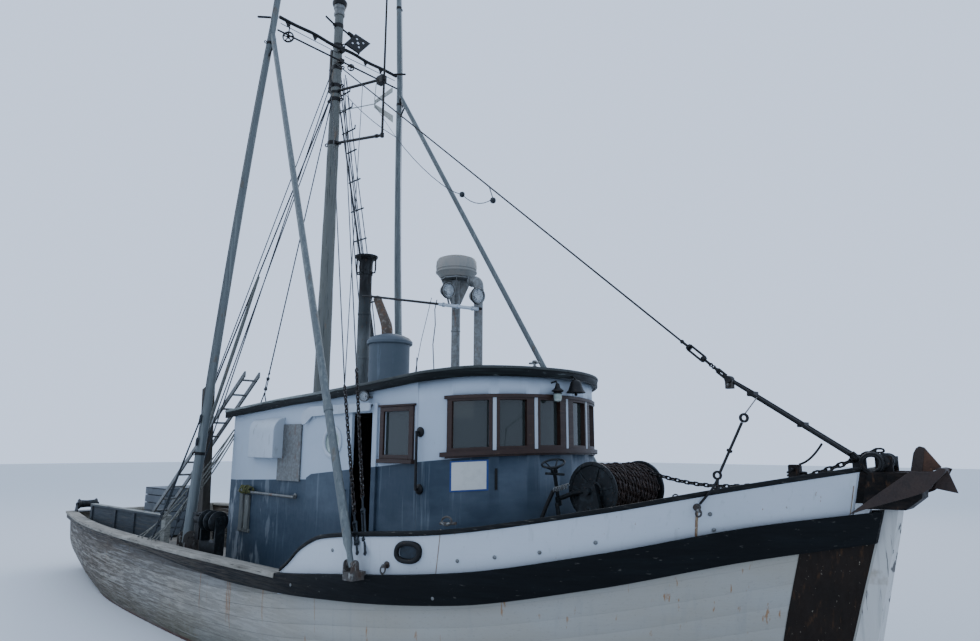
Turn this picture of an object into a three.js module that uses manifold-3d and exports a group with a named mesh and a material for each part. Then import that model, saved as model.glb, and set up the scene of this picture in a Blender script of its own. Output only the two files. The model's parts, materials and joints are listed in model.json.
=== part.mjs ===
import * as THREE from 'three';
import { mergeVertices } from 'three/addons/utils/BufferGeometryUtils.js';
import Module from 'manifold-3d';

// A wooden fishing boat with two folding poles, afloat.
// +X is the bow, +Y is port, +Z is up. The origin is on the centreline
// at the waterline amidships. All sizes are in millimetres.

const wasm = await Module();
wasm.setup();

// Gaps
const SEAT_GAP = 0.3;
const SKIN_GAP = 0.5;

// Hull
const STERN_X = -6950;
const BOW_X = 6414;
const STEM_HALF = 90;
const PLANK_WALL = 60;
const DECK_BOARD = 40;
const DECK_INSET = 61;
const HULL_LEVELS = 7;

// Profile of the stem and the raked stern: where the planking ends at each height.
const STEM_LINE = [
  { z: -1000, x: 4700 },
  { z: -600, x: 5500 },
  { z: 0, x: 5900 },
  { z: 800, x: 6135 },
  { z: 1730, x: 6410 },
  { z: 2100, x: 6500 },
];
const STERN_LINE = [
  { z: -1000, x: -4700 },
  { z: -600, x: -5500 },
  { z: -200, x: -6300 },
  { z: 300, x: -6750 },
  { z: 1000, x: -6950 },
];

// Half breadth at the guard, bottom of the body, and the section's shape.
const BODY = [
  { x: STERN_X, half: 1400, bottom: -60, fullness: 3.0, round: 2.4, flare: 0.02 },
  { x: -6000, half: 1600, bottom: -260, fullness: 3.0, round: 2.2, flare: 0.02 },
  { x: -5000, half: 1800, bottom: -470, fullness: 3.0, round: 2.0, flare: 0.02 },
  { x: -3500, half: 2000, bottom: -760, fullness: 3.0, round: 1.9, flare: 0.0 },
  { x: -2000, half: 2100, bottom: -880, fullness: 3.0, round: 1.8, flare: 0.0 },
  { x: 0, half: 2170, bottom: -920, fullness: 3.0, round: 1.8, flare: 0.0 },
  { x: 1500, half: 2170, bottom: -920, fullness: 3.0, round: 1.8, flare: 0.0 },
  { x: 2700, half: 2100, bottom: -900, fullness: 2.8, round: 1.6, flare: 0.03 },
  { x: 3800, half: 1860, bottom: -870, fullness: 2.5, round: 1.4, flare: 0.12 },
  { x: 4800, half: 1420, bottom: -810, fullness: 2.2, round: 1.3, flare: 0.25 },
  { x: 5600, half: 880, bottom: -730, fullness: 1.8, round: 1.1, flare: 0.35 },
  { x: 6100, half: 420, bottom: -660, fullness: 1.4, round: 1.0, flare: 0.25 },
  { x: BOW_X, half: STEM_HALF, bottom: -600, fullness: 1.2, round: 1.0, flare: 0.0 },
];

// Heights of the deck and of the dark guard along the boat.
const SHEER = [
  { x: STERN_X, deck: 700, guardLow: 885, guardTop: 950 },
  { x: -3500, deck: 690, guardLow: 890, guardTop: 950 },
  { x: -1650, deck: 695, guardLow: 890, guardTop: 950 },
  { x: -300, deck: 720, guardLow: 845, guardTop: 950 },
  { x: 700, deck: 760, guardLow: 810, guardTop: 965 },
  { x: 1600, deck: 840, guardLow: 825, guardTop: 1004 },
  { x: 2400, deck: 950, guardLow: 860, guardTop: 1080 },
  { x: 3750, deck: 1120, guardLow: 960, guardTop: 1216 },
  { x: 4800, deck: 1320, guardLow: 1155, guardTop: 1420 },
  { x: 5740, deck: 1540, guardLow: 1385, guardTop: 1640 },
  { x: BOW_X, deck: 1700, guardLow: 1510, guardTop: 1745 },
];

// The raised bulwark's curved aft end and its run forward.
const RAISED_START = 1600;
const RAISED_CAP = [
  { x: RAISED_START, z: 1050 },
  { x: 1700, z: 1120 },
  { x: 1890, z: 1285 },
  { x: 2150, z: 1400 },
  { x: 2540, z: 1452 },
  { x: 3460, z: 1530 },
  { x: 4790, z: 1757 },
  { x: 5410, z: 1892 },
  { x: 5870, z: 1990 },
  { x: BOW_X, z: 2105 },
];

const STATION_X = [
  STERN_X, -6600, -6000, -5200, -4400, -3500, -2500, -1500, -500, 600, RAISED_START,
  1700, 1790, 1890, 2010, 2150, 2330, 2540, 3000, 3460, 3900, 4350, 4790, 5150, 5470, 5740,
  5960, 6140, 6290, BOW_X,
];

// Rails
const AFT_CAP_TOP = 1000;
const AFT_CAP_THICK = 45;
const AFT_GUARD_OUT = 60;
const AFT_CAP_OUT = 75;
const CAP_IN = 110;
const GUARD_OUT = 65;
const CAP_THICK = 40;
const CAP_OUT = 15;
const CAP_INBOARD = 90;

// Bow head: black timber on top of the stem, where the anchor lies
const BULWARK_END = 6290;
const HEAD_LOW = 1760;
const HEAD_TOP = 2030;
const HEAD_TIP_X = 6690;

// Keel, rudder and propeller
const KEEL_HALF = 90;
const DEADWOOD_END_X = -4700;
const SHOE_END_X = -6080;
const SHOE_TOP = -1390;
const KEEL_BOTTOM_AFT = -1480;
const KEEL_BOTTOM_FORE = -1120;
const RUDDER_X = -5450;
const RUDDER_TOP = -480;
const RUDDER_TAIL_X = -6120;
const RUDDER_THICK = 50;
const RUDDER_STOCK = 38;
const SHAFT_Z = -950;
const PROPELLER_X = -4930;
const PROPELLER_RADIUS = 330;

// House
const HOUSE_AFT_X = -1150;
const HOUSE_CURVE_X = 2560;
const HOUSE_FRONT_X = 3450;
const HOUSE_HALF = 1300;
const HOUSE_WALL = 50;
const HOUSE_SQUARE = 1.9;
const WALL_LOW = 400;
const WALL_HIGH = 3400;
const ROOF_THICK = 96;
const ROOF_OVERHANG = 70;
const ROOF_AFT_X = -1290;
const ROOF_CAMBER = 110;
const ROOF_EDGE = [
  { x: ROOF_AFT_X, z: 2672 },
  { x: 100, z: 2776 },
  { x: 1000, z: 2822 },
  { x: 1850, z: 2876 },
  { x: 2820, z: 2952 },
  { x: 3170, z: 2988 },
  { x: 3600, z: 3004 },
];

// Front windows: middle angle and width of each pane, both sides of the middle post.
// The band rises a little toward the front.
const PANES = [
  { middle: 11.5, width: 13 },
  { middle: 32.8, width: 14 },
  { middle: 53.6, width: 17.4 },
];
const PANE_LOW = 2150;
const PANE_HIGH = 2622;
const GLASS_ANGLE = 63;
const BAND_ANGLE = 67.5;
const FRONT_STEP = 4.5;
const BAND_LOW = 2085;
const BAND_HIGH = 2695;
const BAND_THICK = 22;
const SILL_HIGH = 2125;
const SILL_THICK = 48;
const BAND_RAKE = 0.07;
const BAND_RAKE_X = 2850;

// Sliding door
const DOOR_OPEN_X0 = 1170;
const DOOR_OPEN_X1 = 1870;
const DOOR_SILL = 980;
const DOOR_HEAD = 2560;
const DOOR_X0 = 700;
const DOOR_X1 = 1540;
const DOOR_LOW = 990;
const DOOR_HIGH = 2572;
const DOOR_THICK = 36;
const DOOR_CLEAR = 7;
const PORTHOLE_X = 1190;
const PORTHOLE_Z = 2250;
const PORTHOLE_RADIUS = 145;
const TRACK_X0 = 560;
const TRACK_X1 = 1880;
const TRACK_LOW = 2580;
const TRACK_HIGH = 2625;
const TRACK_DEEP = 34;

// Trolling poles: pole and brace turn together about the line through both heels.
const POLE_HEEL = new THREE.Vector3(-1200, 1800, 1043);
const BRACE_HEEL = new THREE.Vector3(2790, 2220, 1215);
const POLE_MEET = new THREE.Vector3(-950, 1240, 8360);
const POLE_TOP_Z = 13300;
const POLE_RADIUS = 88;
const POLE_TIP_RADIUS = 42;
const BRACE_RADIUS = 40;
const BRACE_NECK = 26;
const BRACE_DROP = 60;
const PIN_RADIUS = 20;
const PIN_BORE = 20.8;

// Mast
const MAST_X = -1070;
const MAST_FOOT = 2600;
const MAST_TOP = 9300;
const MAST_CAP = { overlap: 40, high: 60, radius: 85 };
const MAST_RADIUS = 120;
const MAST_TIP_RADIUS = 70;
// The crosstree is a bar above the poles' meeting point, with a thin level rod below it.
const CROSSTREE = { x: -945, z: 8610, radius: 28, rodZ: 8385, rodRadius: 14, blockHalf: 45 };

const group = new THREE.Group();

function finish(color, roughness, metalness) {
  return new THREE.MeshStandardMaterial({ color, roughness, metalness });
}

const WHITE_PAINT = finish('#d9dad6', 0.6, 0);
const BLACK_PAINT = finish('#1b1e1f', 0.55, 0);
const BLUE_PAINT = finish('#5f7186', 0.6, 0);
const OLD_WOOD = finish('#6f665b', 0.85, 0);
const WARM_WOOD = finish('#7a4526', 0.5, 0);
const GALVANISED = finish('#9a9d9c', 0.5, 0.7);
const RUSTY_STEEL = finish('#5b3a2a', 0.85, 0.4);
const DARK_STEEL = finish('#2c2d2f', 0.6, 0.6);
const BRONZE = finish('#8a6a3a', 0.4, 0.9);
const GLASS = finish('#25313a', 0.1, 0);

function place(name, geometry, material) {
  const mesh = new THREE.Mesh(geometry, material);
  mesh.name = name;
  group.add(mesh);
  return mesh;
}

/** Smooth height or breadth at any place along a table, without overshoot. */
function curveOf(rows, key, along = 'x') {
  const ordered = [...rows].sort((a, b) => a[along] - b[along]);
  const slope = (i) => {
    const [here, next] = [ordered[i], ordered[i + 1]];
    return (next[key] - here[key]) / (next[along] - here[along]);
  };
  const tangent = (i) => {
    if (i === 0) return slope(0);
    if (i === ordered.length - 1) return slope(i - 1);
    const before = slope(i - 1);
    const after = slope(i);
    return before * after <= 0 ? 0 : (2 * before * after) / (before + after);
  };
  return (at) => {
    const spot = THREE.MathUtils.clamp(at, ordered[0][along], ordered.at(-1)[along]);
    let i = 0;
    while (i < ordered.length - 2 && spot > ordered[i + 1][along]) i += 1;
    const span = ordered[i + 1][along] - ordered[i][along];
    const t = (spot - ordered[i][along]) / span;
    const rise = ordered[i + 1][key] - ordered[i][key];
    const start = tangent(i) * span;
    const end = tangent(i + 1) * span;
    return ordered[i][key] + start * t + (3 * rise - 2 * start - end) * t * t
      + (start + end - 2 * rise) * t * t * t;
  };
}

function geometryOf(points, faces) {
  const geometry = new THREE.BufferGeometry();
  geometry.setAttribute('position', new THREE.Float32BufferAttribute(points.flat(), 3));
  geometry.setIndex(faces.flat());
  const volume = faces.reduce((sum, face) => {
    const [a, b, c] = face.map((i) => new THREE.Vector3(...points[i]));
    return sum + a.dot(b.cross(c));
  }, 0);
  if (volume < 0) geometry.setIndex(faces.flatMap(([a, b, c]) => [a, c, b]));
  geometry.computeVertexNormals();
  return geometry;
}

/** Triangles that close a ring, turned the same way round as the ring. */
function capOf(ring) {
  const normal = new THREE.Vector3();
  ring.forEach((p, i) => {
    const q = ring[(i + 1) % ring.length];
    normal.x += (p[1] - q[1]) * (p[2] + q[2]);
    normal.y += (p[2] - q[2]) * (p[0] + q[0]);
    normal.z += (p[0] - q[0]) * (p[1] + q[1]);
  });
  const sizes = normal.toArray().map(Math.abs);
  const drop = sizes.indexOf(Math.max(...sizes));
  const flat = ring.map((p) => new THREE.Vector2(p[(drop + 1) % 3], p[(drop + 2) % 3]));
  const turn = Math.sign(THREE.ShapeUtils.area(flat));
  return THREE.ShapeUtils.triangulateShape(flat, []).map((face) => {
    const own = Math.sign(THREE.ShapeUtils.area(face.map((i) => flat[i])));
    return own === turn ? face : [face[0], face[2], face[1]];
  });
}

/** Triangles that close a ring whose first half lies opposite its second half. */
function ladderOf(ring) {
  const last = ring.length - 1;
  const faces = [];
  for (let i = 0; i < ring.length / 2 - 1; i += 1) {
    faces.push([i, i + 1, last - i], [i + 1, last - i - 1, last - i]);
  }
  return faces;
}

/** Closed solid through rings of the same number of points, of which the last few may mirror the first. */
function loft(rings, close = capOf, plainPoints = rings[0].length) {
  const count = rings[0].length;
  const faces = [];
  for (let i = 0; i < rings.length - 1; i += 1) {
    for (let j = 0; j < count; j += 1) {
      const k = (j + 1) % count;
      const here = i * count;
      const next = here + count;
      if (j < plainPoints) faces.push([here + j, here + k, next + j], [here + k, next + k, next + j]);
      else faces.push([here + j, here + k, next + k], [here + j, next + k, next + j]);
    }
  }
  const last = (rings.length - 1) * count;
  close(rings[0]).forEach(([a, b, c]) => faces.push([a, c, b]));
  close(rings.at(-1)).forEach(([a, b, c]) => faces.push([last + a, last + b, last + c]));
  return geometryOf(rings.flat(), faces);
}

function toSolid(geometry) {
  const bare = geometry.clone();
  bare.deleteAttribute('normal');
  bare.deleteAttribute('uv');
  const merged = mergeVertices(bare, 0.001);
  const index = Array.from(merged.index.array);
  const triangles = [];
  for (let i = 0; i < index.length; i += 3) {
    const [a, b, c] = index.slice(i, i + 3);
    if (a !== b && b !== c && c !== a) triangles.push(a, b, c);
  }
  return new wasm.Manifold(new wasm.Mesh({
    numProp: 3,
    vertProperties: new Float32Array(merged.attributes.position.array),
    triVerts: new Uint32Array(triangles),
  }));
}

function fromSolid(solid) {
  const mesh = solid.getMesh();
  const geometry = new THREE.BufferGeometry();
  geometry.setAttribute('position', new THREE.BufferAttribute(mesh.vertProperties, 3));
  geometry.setIndex(new THREE.BufferAttribute(mesh.triVerts, 1));
  geometry.computeVertexNormals();
  return geometry;
}

function join(...parts) {
  return fromSolid(parts.map(toSolid).reduce((sum, part) => sum.add(part)));
}

function cut(base, ...tools) {
  return fromSolid(tools.map(toSolid).reduce((left, tool) => left.subtract(tool), toSolid(base)));
}

function block(x0, x1, y0, y1, z0, z1) {
  const box = new THREE.BoxGeometry(x1 - x0, y1 - y0, z1 - z0);
  return box.translate((x0 + x1) / 2, (y0 + y1) / 2, (z0 + z1) / 2);
}

const LATHE_AXIS = new THREE.Vector3(0, 1, 0);

/** Round bar from one point to another, tapered where the radii differ. */
function rod(from, to, radius, endRadius = radius, sides = 12) {
  const start = new THREE.Vector3(...from);
  const run = new THREE.Vector3(...to).sub(start);
  const bar = new THREE.CylinderGeometry(endRadius, radius, run.length(), sides);
  const turn = new THREE.Quaternion().setFromUnitVectors(LATHE_AXIS, run.clone().normalize());
  bar.applyQuaternion(turn);
  return bar.translate(...start.addScaledVector(run, 0.5).toArray());
}

/** Round bar along a line, with its radius at each length from the start. */
function spindle(from, direction, profile, sides = 12) {
  const closed = [[0, profile[0][1]], ...profile, [0, profile.at(-1)[1]]];
  const outline = closed.map(([radius, length]) => new THREE.Vector2(radius, length));
  const bar = new THREE.LatheGeometry(outline, sides);
  const turn = new THREE.Quaternion().setFromUnitVectors(LATHE_AXIS, direction);
  return bar.applyQuaternion(turn).translate(...from);
}

/** Flat outline in XZ given a thickness across the boat. */
function plateXZ(outline, y0, y1) {
  const shape = new THREE.Shape(outline.map(([x, z]) => new THREE.Vector2(x, z)));
  const plate = new THREE.ExtrudeGeometry(shape, { depth: y1 - y0, bevelEnabled: false });
  return plate.rotateX(Math.PI / 2).translate(0, y1, 0);
}

/** Flat outline in XY given a height. */
function plateXY(outline, z0, z1) {
  const shape = new THREE.Shape(outline.map(([x, y]) => new THREE.Vector2(x, y)));
  const plate = new THREE.ExtrudeGeometry(shape, { depth: z1 - z0, bevelEnabled: false });
  return plate.translate(0, 0, z0);
}

/** Flat outline in YZ given a length along the boat. */
function plateYZ(outline, x0, x1) {
  const shape = new THREE.Shape(outline.map(([y, z]) => new THREE.Vector2(y, z)));
  const plate = new THREE.ExtrudeGeometry(shape, { depth: x1 - x0, bevelEnabled: false });
  return plate.rotateX(Math.PI / 2).rotateZ(Math.PI / 2).translate(x0, 0, 0);
}

/** Round piece turned about an upright line. */
function turned(profile, x, y, sides = 20) {
  const points = profile.map(([radius, z]) => new THREE.Vector2(radius, z));
  return new THREE.LatheGeometry(points, sides).rotateX(Math.PI / 2).translate(x, y, 0);
}

/** The same outline on the other side of the boat. */
function mirrored(geometry) {
  const solid = toSolid(geometry).mirror([0, 1, 0]);
  return fromSolid(solid);
}

// Hull form
const stemAt = curveOf(STEM_LINE, 'x', 'z');
const sternAt = curveOf(STERN_LINE, 'x', 'z');
const form = Object.fromEntries(
  ['half', 'bottom', 'fullness', 'round', 'flare'].map((key) => [key, curveOf(BODY, key)]),
);
const sheer = Object.fromEntries(
  ['deck', 'guardLow', 'guardTop'].map((key) => [key, curveOf(SHEER, key)]),
);
const raisedCap = curveOf(RAISED_CAP, 'z');

const stations = STATION_X.map((railX) => {
  const deck = sheer.deck(railX);
  const joint = deck - DECK_BOARD;
  const guardTop = sheer.guardTop(railX);
  const flare = form.flare(railX);
  const aftEnd = sternAt(guardTop);
  const share = (railX - aftEnd) / (stemAt(guardTop) - aftEnd);
  const breadth = form.half(railX) - flare * (guardTop - joint);
  return {
    railX,
    share: THREE.MathUtils.clamp(share, 0, 1),
    deck,
    joint,
    guardTop,
    guardLow: sheer.guardLow(railX),
    cap: raisedCap(railX),
    flare,
    breadth: Math.max(breadth, STEM_HALF),
    bottom: form.bottom(railX),
    fullness: form.fullness(railX),
    round: form.round(railX),
  };
});

/** Point of the planking at one station and height, moved outward by an offset. */
function skin(station, z, offset = 0) {
  const { share, joint, bottom, breadth, flare, fullness, round } = station;
  const x = THREE.MathUtils.lerp(sternAt(z), stemAt(z), share);
  const rise = THREE.MathUtils.clamp((z - bottom) / (joint - bottom), 0, 1);
  const swell = (1 - (1 - rise) ** fullness) ** (1 / round);
  const above = Math.max(z - joint, 0) * flare;
  const y = KEEL_HALF + (breadth - KEEL_HALF) * swell + above + offset;
  return [x, -y, z];
}

function otherSide(ring) {
  return ring.map(([x, y, z]) => [x, -y, z]);
}

/** Long timber that follows the planking from one station to another. */
function strake(ringOf, side, fromX, toX, close = ladderOf) {
  const run = stations.filter((station) => station.railX >= fromX && station.railX <= toX);
  const rings = run.map((station, i) => {
    const shift = i === 0 ? SEAT_GAP : 0;
    const ring = ringOf(station).map(([offset, z]) => skin(station, z, offset));
    const moved = ring.map(([x, y, z]) => [x + (fromX > STERN_X ? shift : 0), y, z]);
    return side > 0 ? otherSide(moved) : moved;
  });
  return loft(rings, close);
}

/** Ring of a timber: one column of edges up and the opposite column down. */
function slab(offset, opposite, heights) {
  return [...heights.map((z) => [offset, z]), ...[...heights].reverse().map((z) => [opposite, z])];
}

const lowOf = (station) => Math.min(station.guardLow, station.joint - 5);
const midOf = (station) => Math.max(station.guardLow, station.joint + 5);

/** Heights of the planking's edges from the keel to the deck joint. */
function plankHeights(station) {
  const heights = [];
  for (let level = 0; level <= HULL_LEVELS; level += 1) {
    const share = (level / HULL_LEVELS) ** 1.5;
    heights.push(THREE.MathUtils.lerp(station.bottom, lowOf(station), share));
  }
  return [...heights, station.joint];
}

function hullRing(station) {
  const side = plankHeights(station).map((z) => skin(station, z));
  const [x, y] = skin(station, station.joint);
  side.push([x, y + DECK_INSET, station.joint]);
  const [deckX] = skin(station, station.deck);
  side.push([deckX, y + DECK_INSET, station.deck]);
  return [...side, ...otherSide(side).reverse()];
}

const hullRings = stations.map(hullRing);
place('hull', loft(hullRings, ladderOf, hullRings[0].length / 2), WHITE_PAINT);

// Space that the deck takes, for fitting what stands on it.
function deckSpace() {
  return loft(stations.map((station) => {
    const [x, y] = skin(station, station.deck);
    const top = station.deck + SEAT_GAP;
    return [[x, y, -500], [x, -y, -500], [x, -y, top], [x, y, top]];
  }));
}
const DECK_SPACE = deckSpace();

/** Height of the deck at a place along the boat. */
function deckHeight(x) {
  const ends = stations.map((station) => [skin(station, station.deck)[0], station.deck]);
  const i = Math.max(ends.findIndex(([at]) => at >= x), 1);
  const [[x0, z0], [x1, z1]] = [ends[i - 1], ends[i]];
  return z0 + ((z1 - z0) * (x - x0)) / (x1 - x0);
}

// Keel with its deadwood, propeller opening and shoe
const bottomLine = stations.map((station) => skin(station, station.bottom)).reverse();
function bottomHeight(x) {
  const i = Math.max(bottomLine.findIndex(([at]) => at <= x), 1);
  const [[x0, , z0], [x1, , z1]] = [bottomLine[i - 1], bottomLine[i]];
  return z0 + ((z1 - z0) * (x - x0)) / (x1 - x0);
}
const keelTop = bottomLine
  .filter(([x]) => x > DEADWOOD_END_X)
  .map(([x, , z]) => [x, z - SEAT_GAP]);
const [forefootX, forefootZ] = keelTop[0];
const STEM_FOOT_X = forefootX + 260;
// Rounded forefoot, from the keel's straight bottom up to the stem.
const FOREFOOT = [[4300, KEEL_BOTTOM_FORE], [4900, -1060], [5350, -930], [5640, -760]];
const keel = plateXZ([
  [STEM_FOOT_X, forefootZ],
  ...keelTop,
  [DEADWOOD_END_X, bottomHeight(DEADWOOD_END_X) - SEAT_GAP],
  [DEADWOOD_END_X, SHOE_TOP],
  [SHOE_END_X, SHOE_TOP],
  [SHOE_END_X, KEEL_BOTTOM_AFT],
  ...FOREFOOT,
], -KEEL_HALF + 1, KEEL_HALF - 1);
place('keel', keel, WHITE_PAINT);

// Stem post in front of the planking
const STEM_DEPTH = [
  { z: -600, depth: 260 },
  { z: 0, depth: 200 },
  { z: 800, depth: 150 },
  { z: 2060, depth: 70 },
];
const stemDepth = curveOf(STEM_DEPTH, 'depth', 'z');
const lastStation = stations.at(-1);
const stemHeights = [...plankHeights(lastStation), midOf(lastStation), HEAD_LOW - SEAT_GAP];
const stemBack = stemHeights.map((z) => [stemAt(z) + SKIN_GAP, z]);
const stemFront = [...stemHeights].reverse().map((z) => [stemAt(z) + stemDepth(z), z]);
place('stem_post', plateXZ([...stemBack, ...stemFront], -STEM_HALF, STEM_HALF), WHITE_PAINT);

// Bulwarks, guards and cap rails
const guardRing = (station, out = GUARD_OUT, raise = 0) => slab(SKIN_GAP, out, [
  station.guardLow,
  Math.max(station.joint, station.guardLow + 1),
  Math.max(midOf(station), station.guardLow + 2),
  station.guardTop + raise,
]);
for (const side of [-1, 1]) {
  const name = side < 0 ? 'starboard' : 'port';
  const aftRing = (station) => [
    [0, station.joint + SEAT_GAP],
    [0, station.guardLow],
    [AFT_GUARD_OUT, station.guardLow],
    [AFT_GUARD_OUT, AFT_CAP_TOP - AFT_CAP_THICK],
    [AFT_CAP_OUT, AFT_CAP_TOP - AFT_CAP_THICK],
    [AFT_CAP_OUT, AFT_CAP_TOP],
    [-CAP_IN, AFT_CAP_TOP],
    [-CAP_IN, AFT_CAP_TOP - AFT_CAP_THICK],
    [-PLANK_WALL, AFT_CAP_TOP - AFT_CAP_THICK],
    [-PLANK_WALL, station.joint + SEAT_GAP],
  ];
  place(`rail_aft_${name}`, strake(aftRing, side, STERN_X, RAISED_START, capOf), OLD_WOOD);
  const bulwarkRing = (station) => slab(0, -PLANK_WALL, [
    station.joint + SEAT_GAP, midOf(station), station.guardTop, station.cap - CAP_THICK - SEAT_GAP,
  ]);
  place(`bulwark_forward_${name}`, strake(bulwarkRing, side, RAISED_START, BULWARK_END), WHITE_PAINT);
  const guard = strake((station) => guardRing(station), side, RAISED_START, BOW_X);
  place(`guard_forward_${name}`, guard, BLACK_PAINT);
  const capRing = (station) => slab(CAP_OUT, -CAP_INBOARD, [station.cap - CAP_THICK, station.cap]);
  place(`cap_forward_${name}`, strake(capRing, side, RAISED_START, BULWARK_END), BLACK_PAINT);
}

// Stern bulwark with its cap between the two sides
const sternStation = stations[0];
const [, sternDeckY] = skin(sternStation, sternStation.deck);
const [, sternCapY] = skin(sternStation, AFT_CAP_TOP - AFT_CAP_THICK - 5);
const sternWallLow = sternStation.deck + SEAT_GAP;
const sternWallHigh = AFT_CAP_TOP - AFT_CAP_THICK - SEAT_GAP;
const sternWall = (side) => [
  [sternAt(sternWallLow), side, sternWallLow],
  [sternAt(sternWallHigh), side, sternWallHigh],
  [sternAt(sternWallHigh) + PLANK_WALL, side, sternWallHigh],
  [sternAt(sternWallLow) + PLANK_WALL, side, sternWallLow],
];
const sternHalf = -sternDeckY - PLANK_WALL - SKIN_GAP - 1;
const sternCapHalf = -sternCapY - CAP_IN - SKIN_GAP;
place('stern_rail', join(
  loft([sternWall(-sternHalf), sternWall(sternHalf)]),
  block(
    STERN_X - 25, STERN_X + 120, -sternCapHalf, sternCapHalf,
    AFT_CAP_TOP - AFT_CAP_THICK - 5, AFT_CAP_TOP,
  ),
), OLD_WOOD);

// House: plan of the rounded front, as far out as a given offset
const FRONT_DEPTH = HOUSE_FRONT_X - HOUSE_CURVE_X;
function frontPoint(angle, offset = 0) {
  const turn = THREE.MathUtils.degToRad(angle);
  const power = 2 / HOUSE_SQUARE;
  const along = Math.abs(Math.cos(turn)) ** power;
  const across = Math.abs(Math.sin(turn)) ** power * Math.sign(turn);
  return [HOUSE_CURVE_X + (FRONT_DEPTH + offset) * along, -(HOUSE_HALF + offset) * across];
}
function frontArc(fromAngle, toAngle, offset, steps) {
  const points = [];
  for (let i = 0; i <= steps; i += 1) {
    points.push(frontPoint(THREE.MathUtils.lerp(fromAngle, toAngle, i / steps), offset));
  }
  return points;
}
function frontBand(reach, inner, outer, z0, z1, steps = (2 * reach) / FRONT_STEP) {
  return plateXY([
    ...frontArc(-reach, reach, outer, steps),
    ...frontArc(reach, -reach, inner, steps),
  ], z0, z1);
}

// Roof: an arched plate with the rounded front and a short overhang
const roofEdge = curveOf(ROOF_EDGE, 'z');
const ROOF_ANGLES = [80, 70, 60, 50, 40, 30, 20, 10, 3];
const roofOutline = [
  { x: ROOF_AFT_X, half: HOUSE_HALF + ROOF_OVERHANG },
  { x: 400, half: HOUSE_HALF + ROOF_OVERHANG },
  { x: HOUSE_CURVE_X, half: HOUSE_HALF + ROOF_OVERHANG },
  ...ROOF_ANGLES.map((angle) => {
    const [x, y] = frontPoint(angle, ROOF_OVERHANG);
    return { x, half: -y };
  }),
];
const ROOF_SHARES = [-1, -0.75, -0.5, -0.25, 0, 0.25, 0.5, 0.75, 1];
/** Height of the arched roof: its edge follows the table, and its crest is highest where it is widest. */
function roofHeight(x, y, half) {
  const full = HOUSE_HALF + ROOF_OVERHANG;
  return roofEdge(x) + ROOF_CAMBER * ((half / full) ** 2 - (y / full) ** 2);
}
function roofLayer(lowOffset, highOffset) {
  return loft(roofOutline.map(({ x, half }) => {
    const across = (offset) => ROOF_SHARES.map((share) => {
      const y = share * half;
      return [x, y, roofHeight(x, y, half) + offset];
    });
    return [...across(highOffset), ...across(lowOffset).reverse()];
  }));
}
place('roof', roofLayer(-ROOF_THICK, 0), WHITE_PAINT);
const ROOF_SPACE = roofLayer(-ROOF_THICK - SEAT_GAP, 1500);
const ROOF_TOP_SPACE = roofLayer(-1500, SEAT_GAP);

const doorway = block(DOOR_OPEN_X0, DOOR_OPEN_X1, -1400, -1200, DOOR_SILL, DOOR_HEAD);
const SIDE_WINDOW = { x0: 2060, x1: 2460, z0: 2105, z1: 2560 };
function sideWindowHole(grow) {
  return block(
    SIDE_WINDOW.x0 - grow, SIDE_WINDOW.x1 + grow, -1400, -1200,
    SIDE_WINDOW.z0 - grow, SIDE_WINDOW.z1 + grow,
  );
}
const sideInner = -HOUSE_HALF + HOUSE_WALL;
const sideWall = block(HOUSE_AFT_X, HOUSE_CURVE_X, -HOUSE_HALF, sideInner, WALL_LOW, WALL_HIGH);
const plainSide = cut(sideWall, DECK_SPACE, ROOF_SPACE, sideWindowHole(0));
place('house_side_starboard', cut(plainSide, doorway), BLUE_PAINT);
place('house_side_port', mirrored(plainSide), BLUE_PAINT);
const backHalf = HOUSE_HALF - HOUSE_WALL - SEAT_GAP;
place('house_back', cut(
  block(HOUSE_AFT_X, HOUSE_AFT_X + HOUSE_WALL, -backHalf, backHalf, WALL_LOW, WALL_HIGH),
  DECK_SPACE, ROOF_SPACE,
), BLUE_PAINT);

/** Lifted toward the front, as the window band is. */
function raked(geometry) {
  const points = geometry.attributes.position;
  for (let i = 0; i < points.count; i += 1) {
    const rise = BAND_RAKE * (points.getX(i) - BAND_RAKE_X);
    points.setZ(i, points.getZ(i) + rise);
  }
  return geometry;
}
function paneHole(middle, width) {
  const from = middle - width / 2;
  const to = middle + width / 2;
  const outline = [...frontArc(from, to, 80, 2), ...frontArc(to, from, -120, 2)];
  return raked(plateXY(outline, PANE_LOW, PANE_HIGH));
}
const paneHoles = PANES.flatMap(({ middle, width }) => [
  paneHole(middle, width),
  paneHole(-middle, width),
]);
const frontWall = frontBand(90, -HOUSE_WALL, 0, WALL_LOW, WALL_HIGH).translate(SEAT_GAP, 0, 0);
place('house_front', cut(frontWall, DECK_SPACE, ROOF_SPACE, ...paneHoles), BLUE_PAINT);
const bandFrame = cut(
  raked(frontBand(BAND_ANGLE, SKIN_GAP, BAND_THICK, BAND_LOW, BAND_HIGH)),
  ...paneHoles,
);
place('front_windows', join(
  bandFrame,
  raked(frontBand(BAND_ANGLE, SKIN_GAP, SILL_THICK, BAND_LOW, SILL_HIGH)),
  raked(frontBand(GLASS_ANGLE, 6, 13, PANE_LOW - 20, PANE_HIGH + 20)),
).translate(SEAT_GAP, 0, 0), WARM_WOOD);

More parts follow.
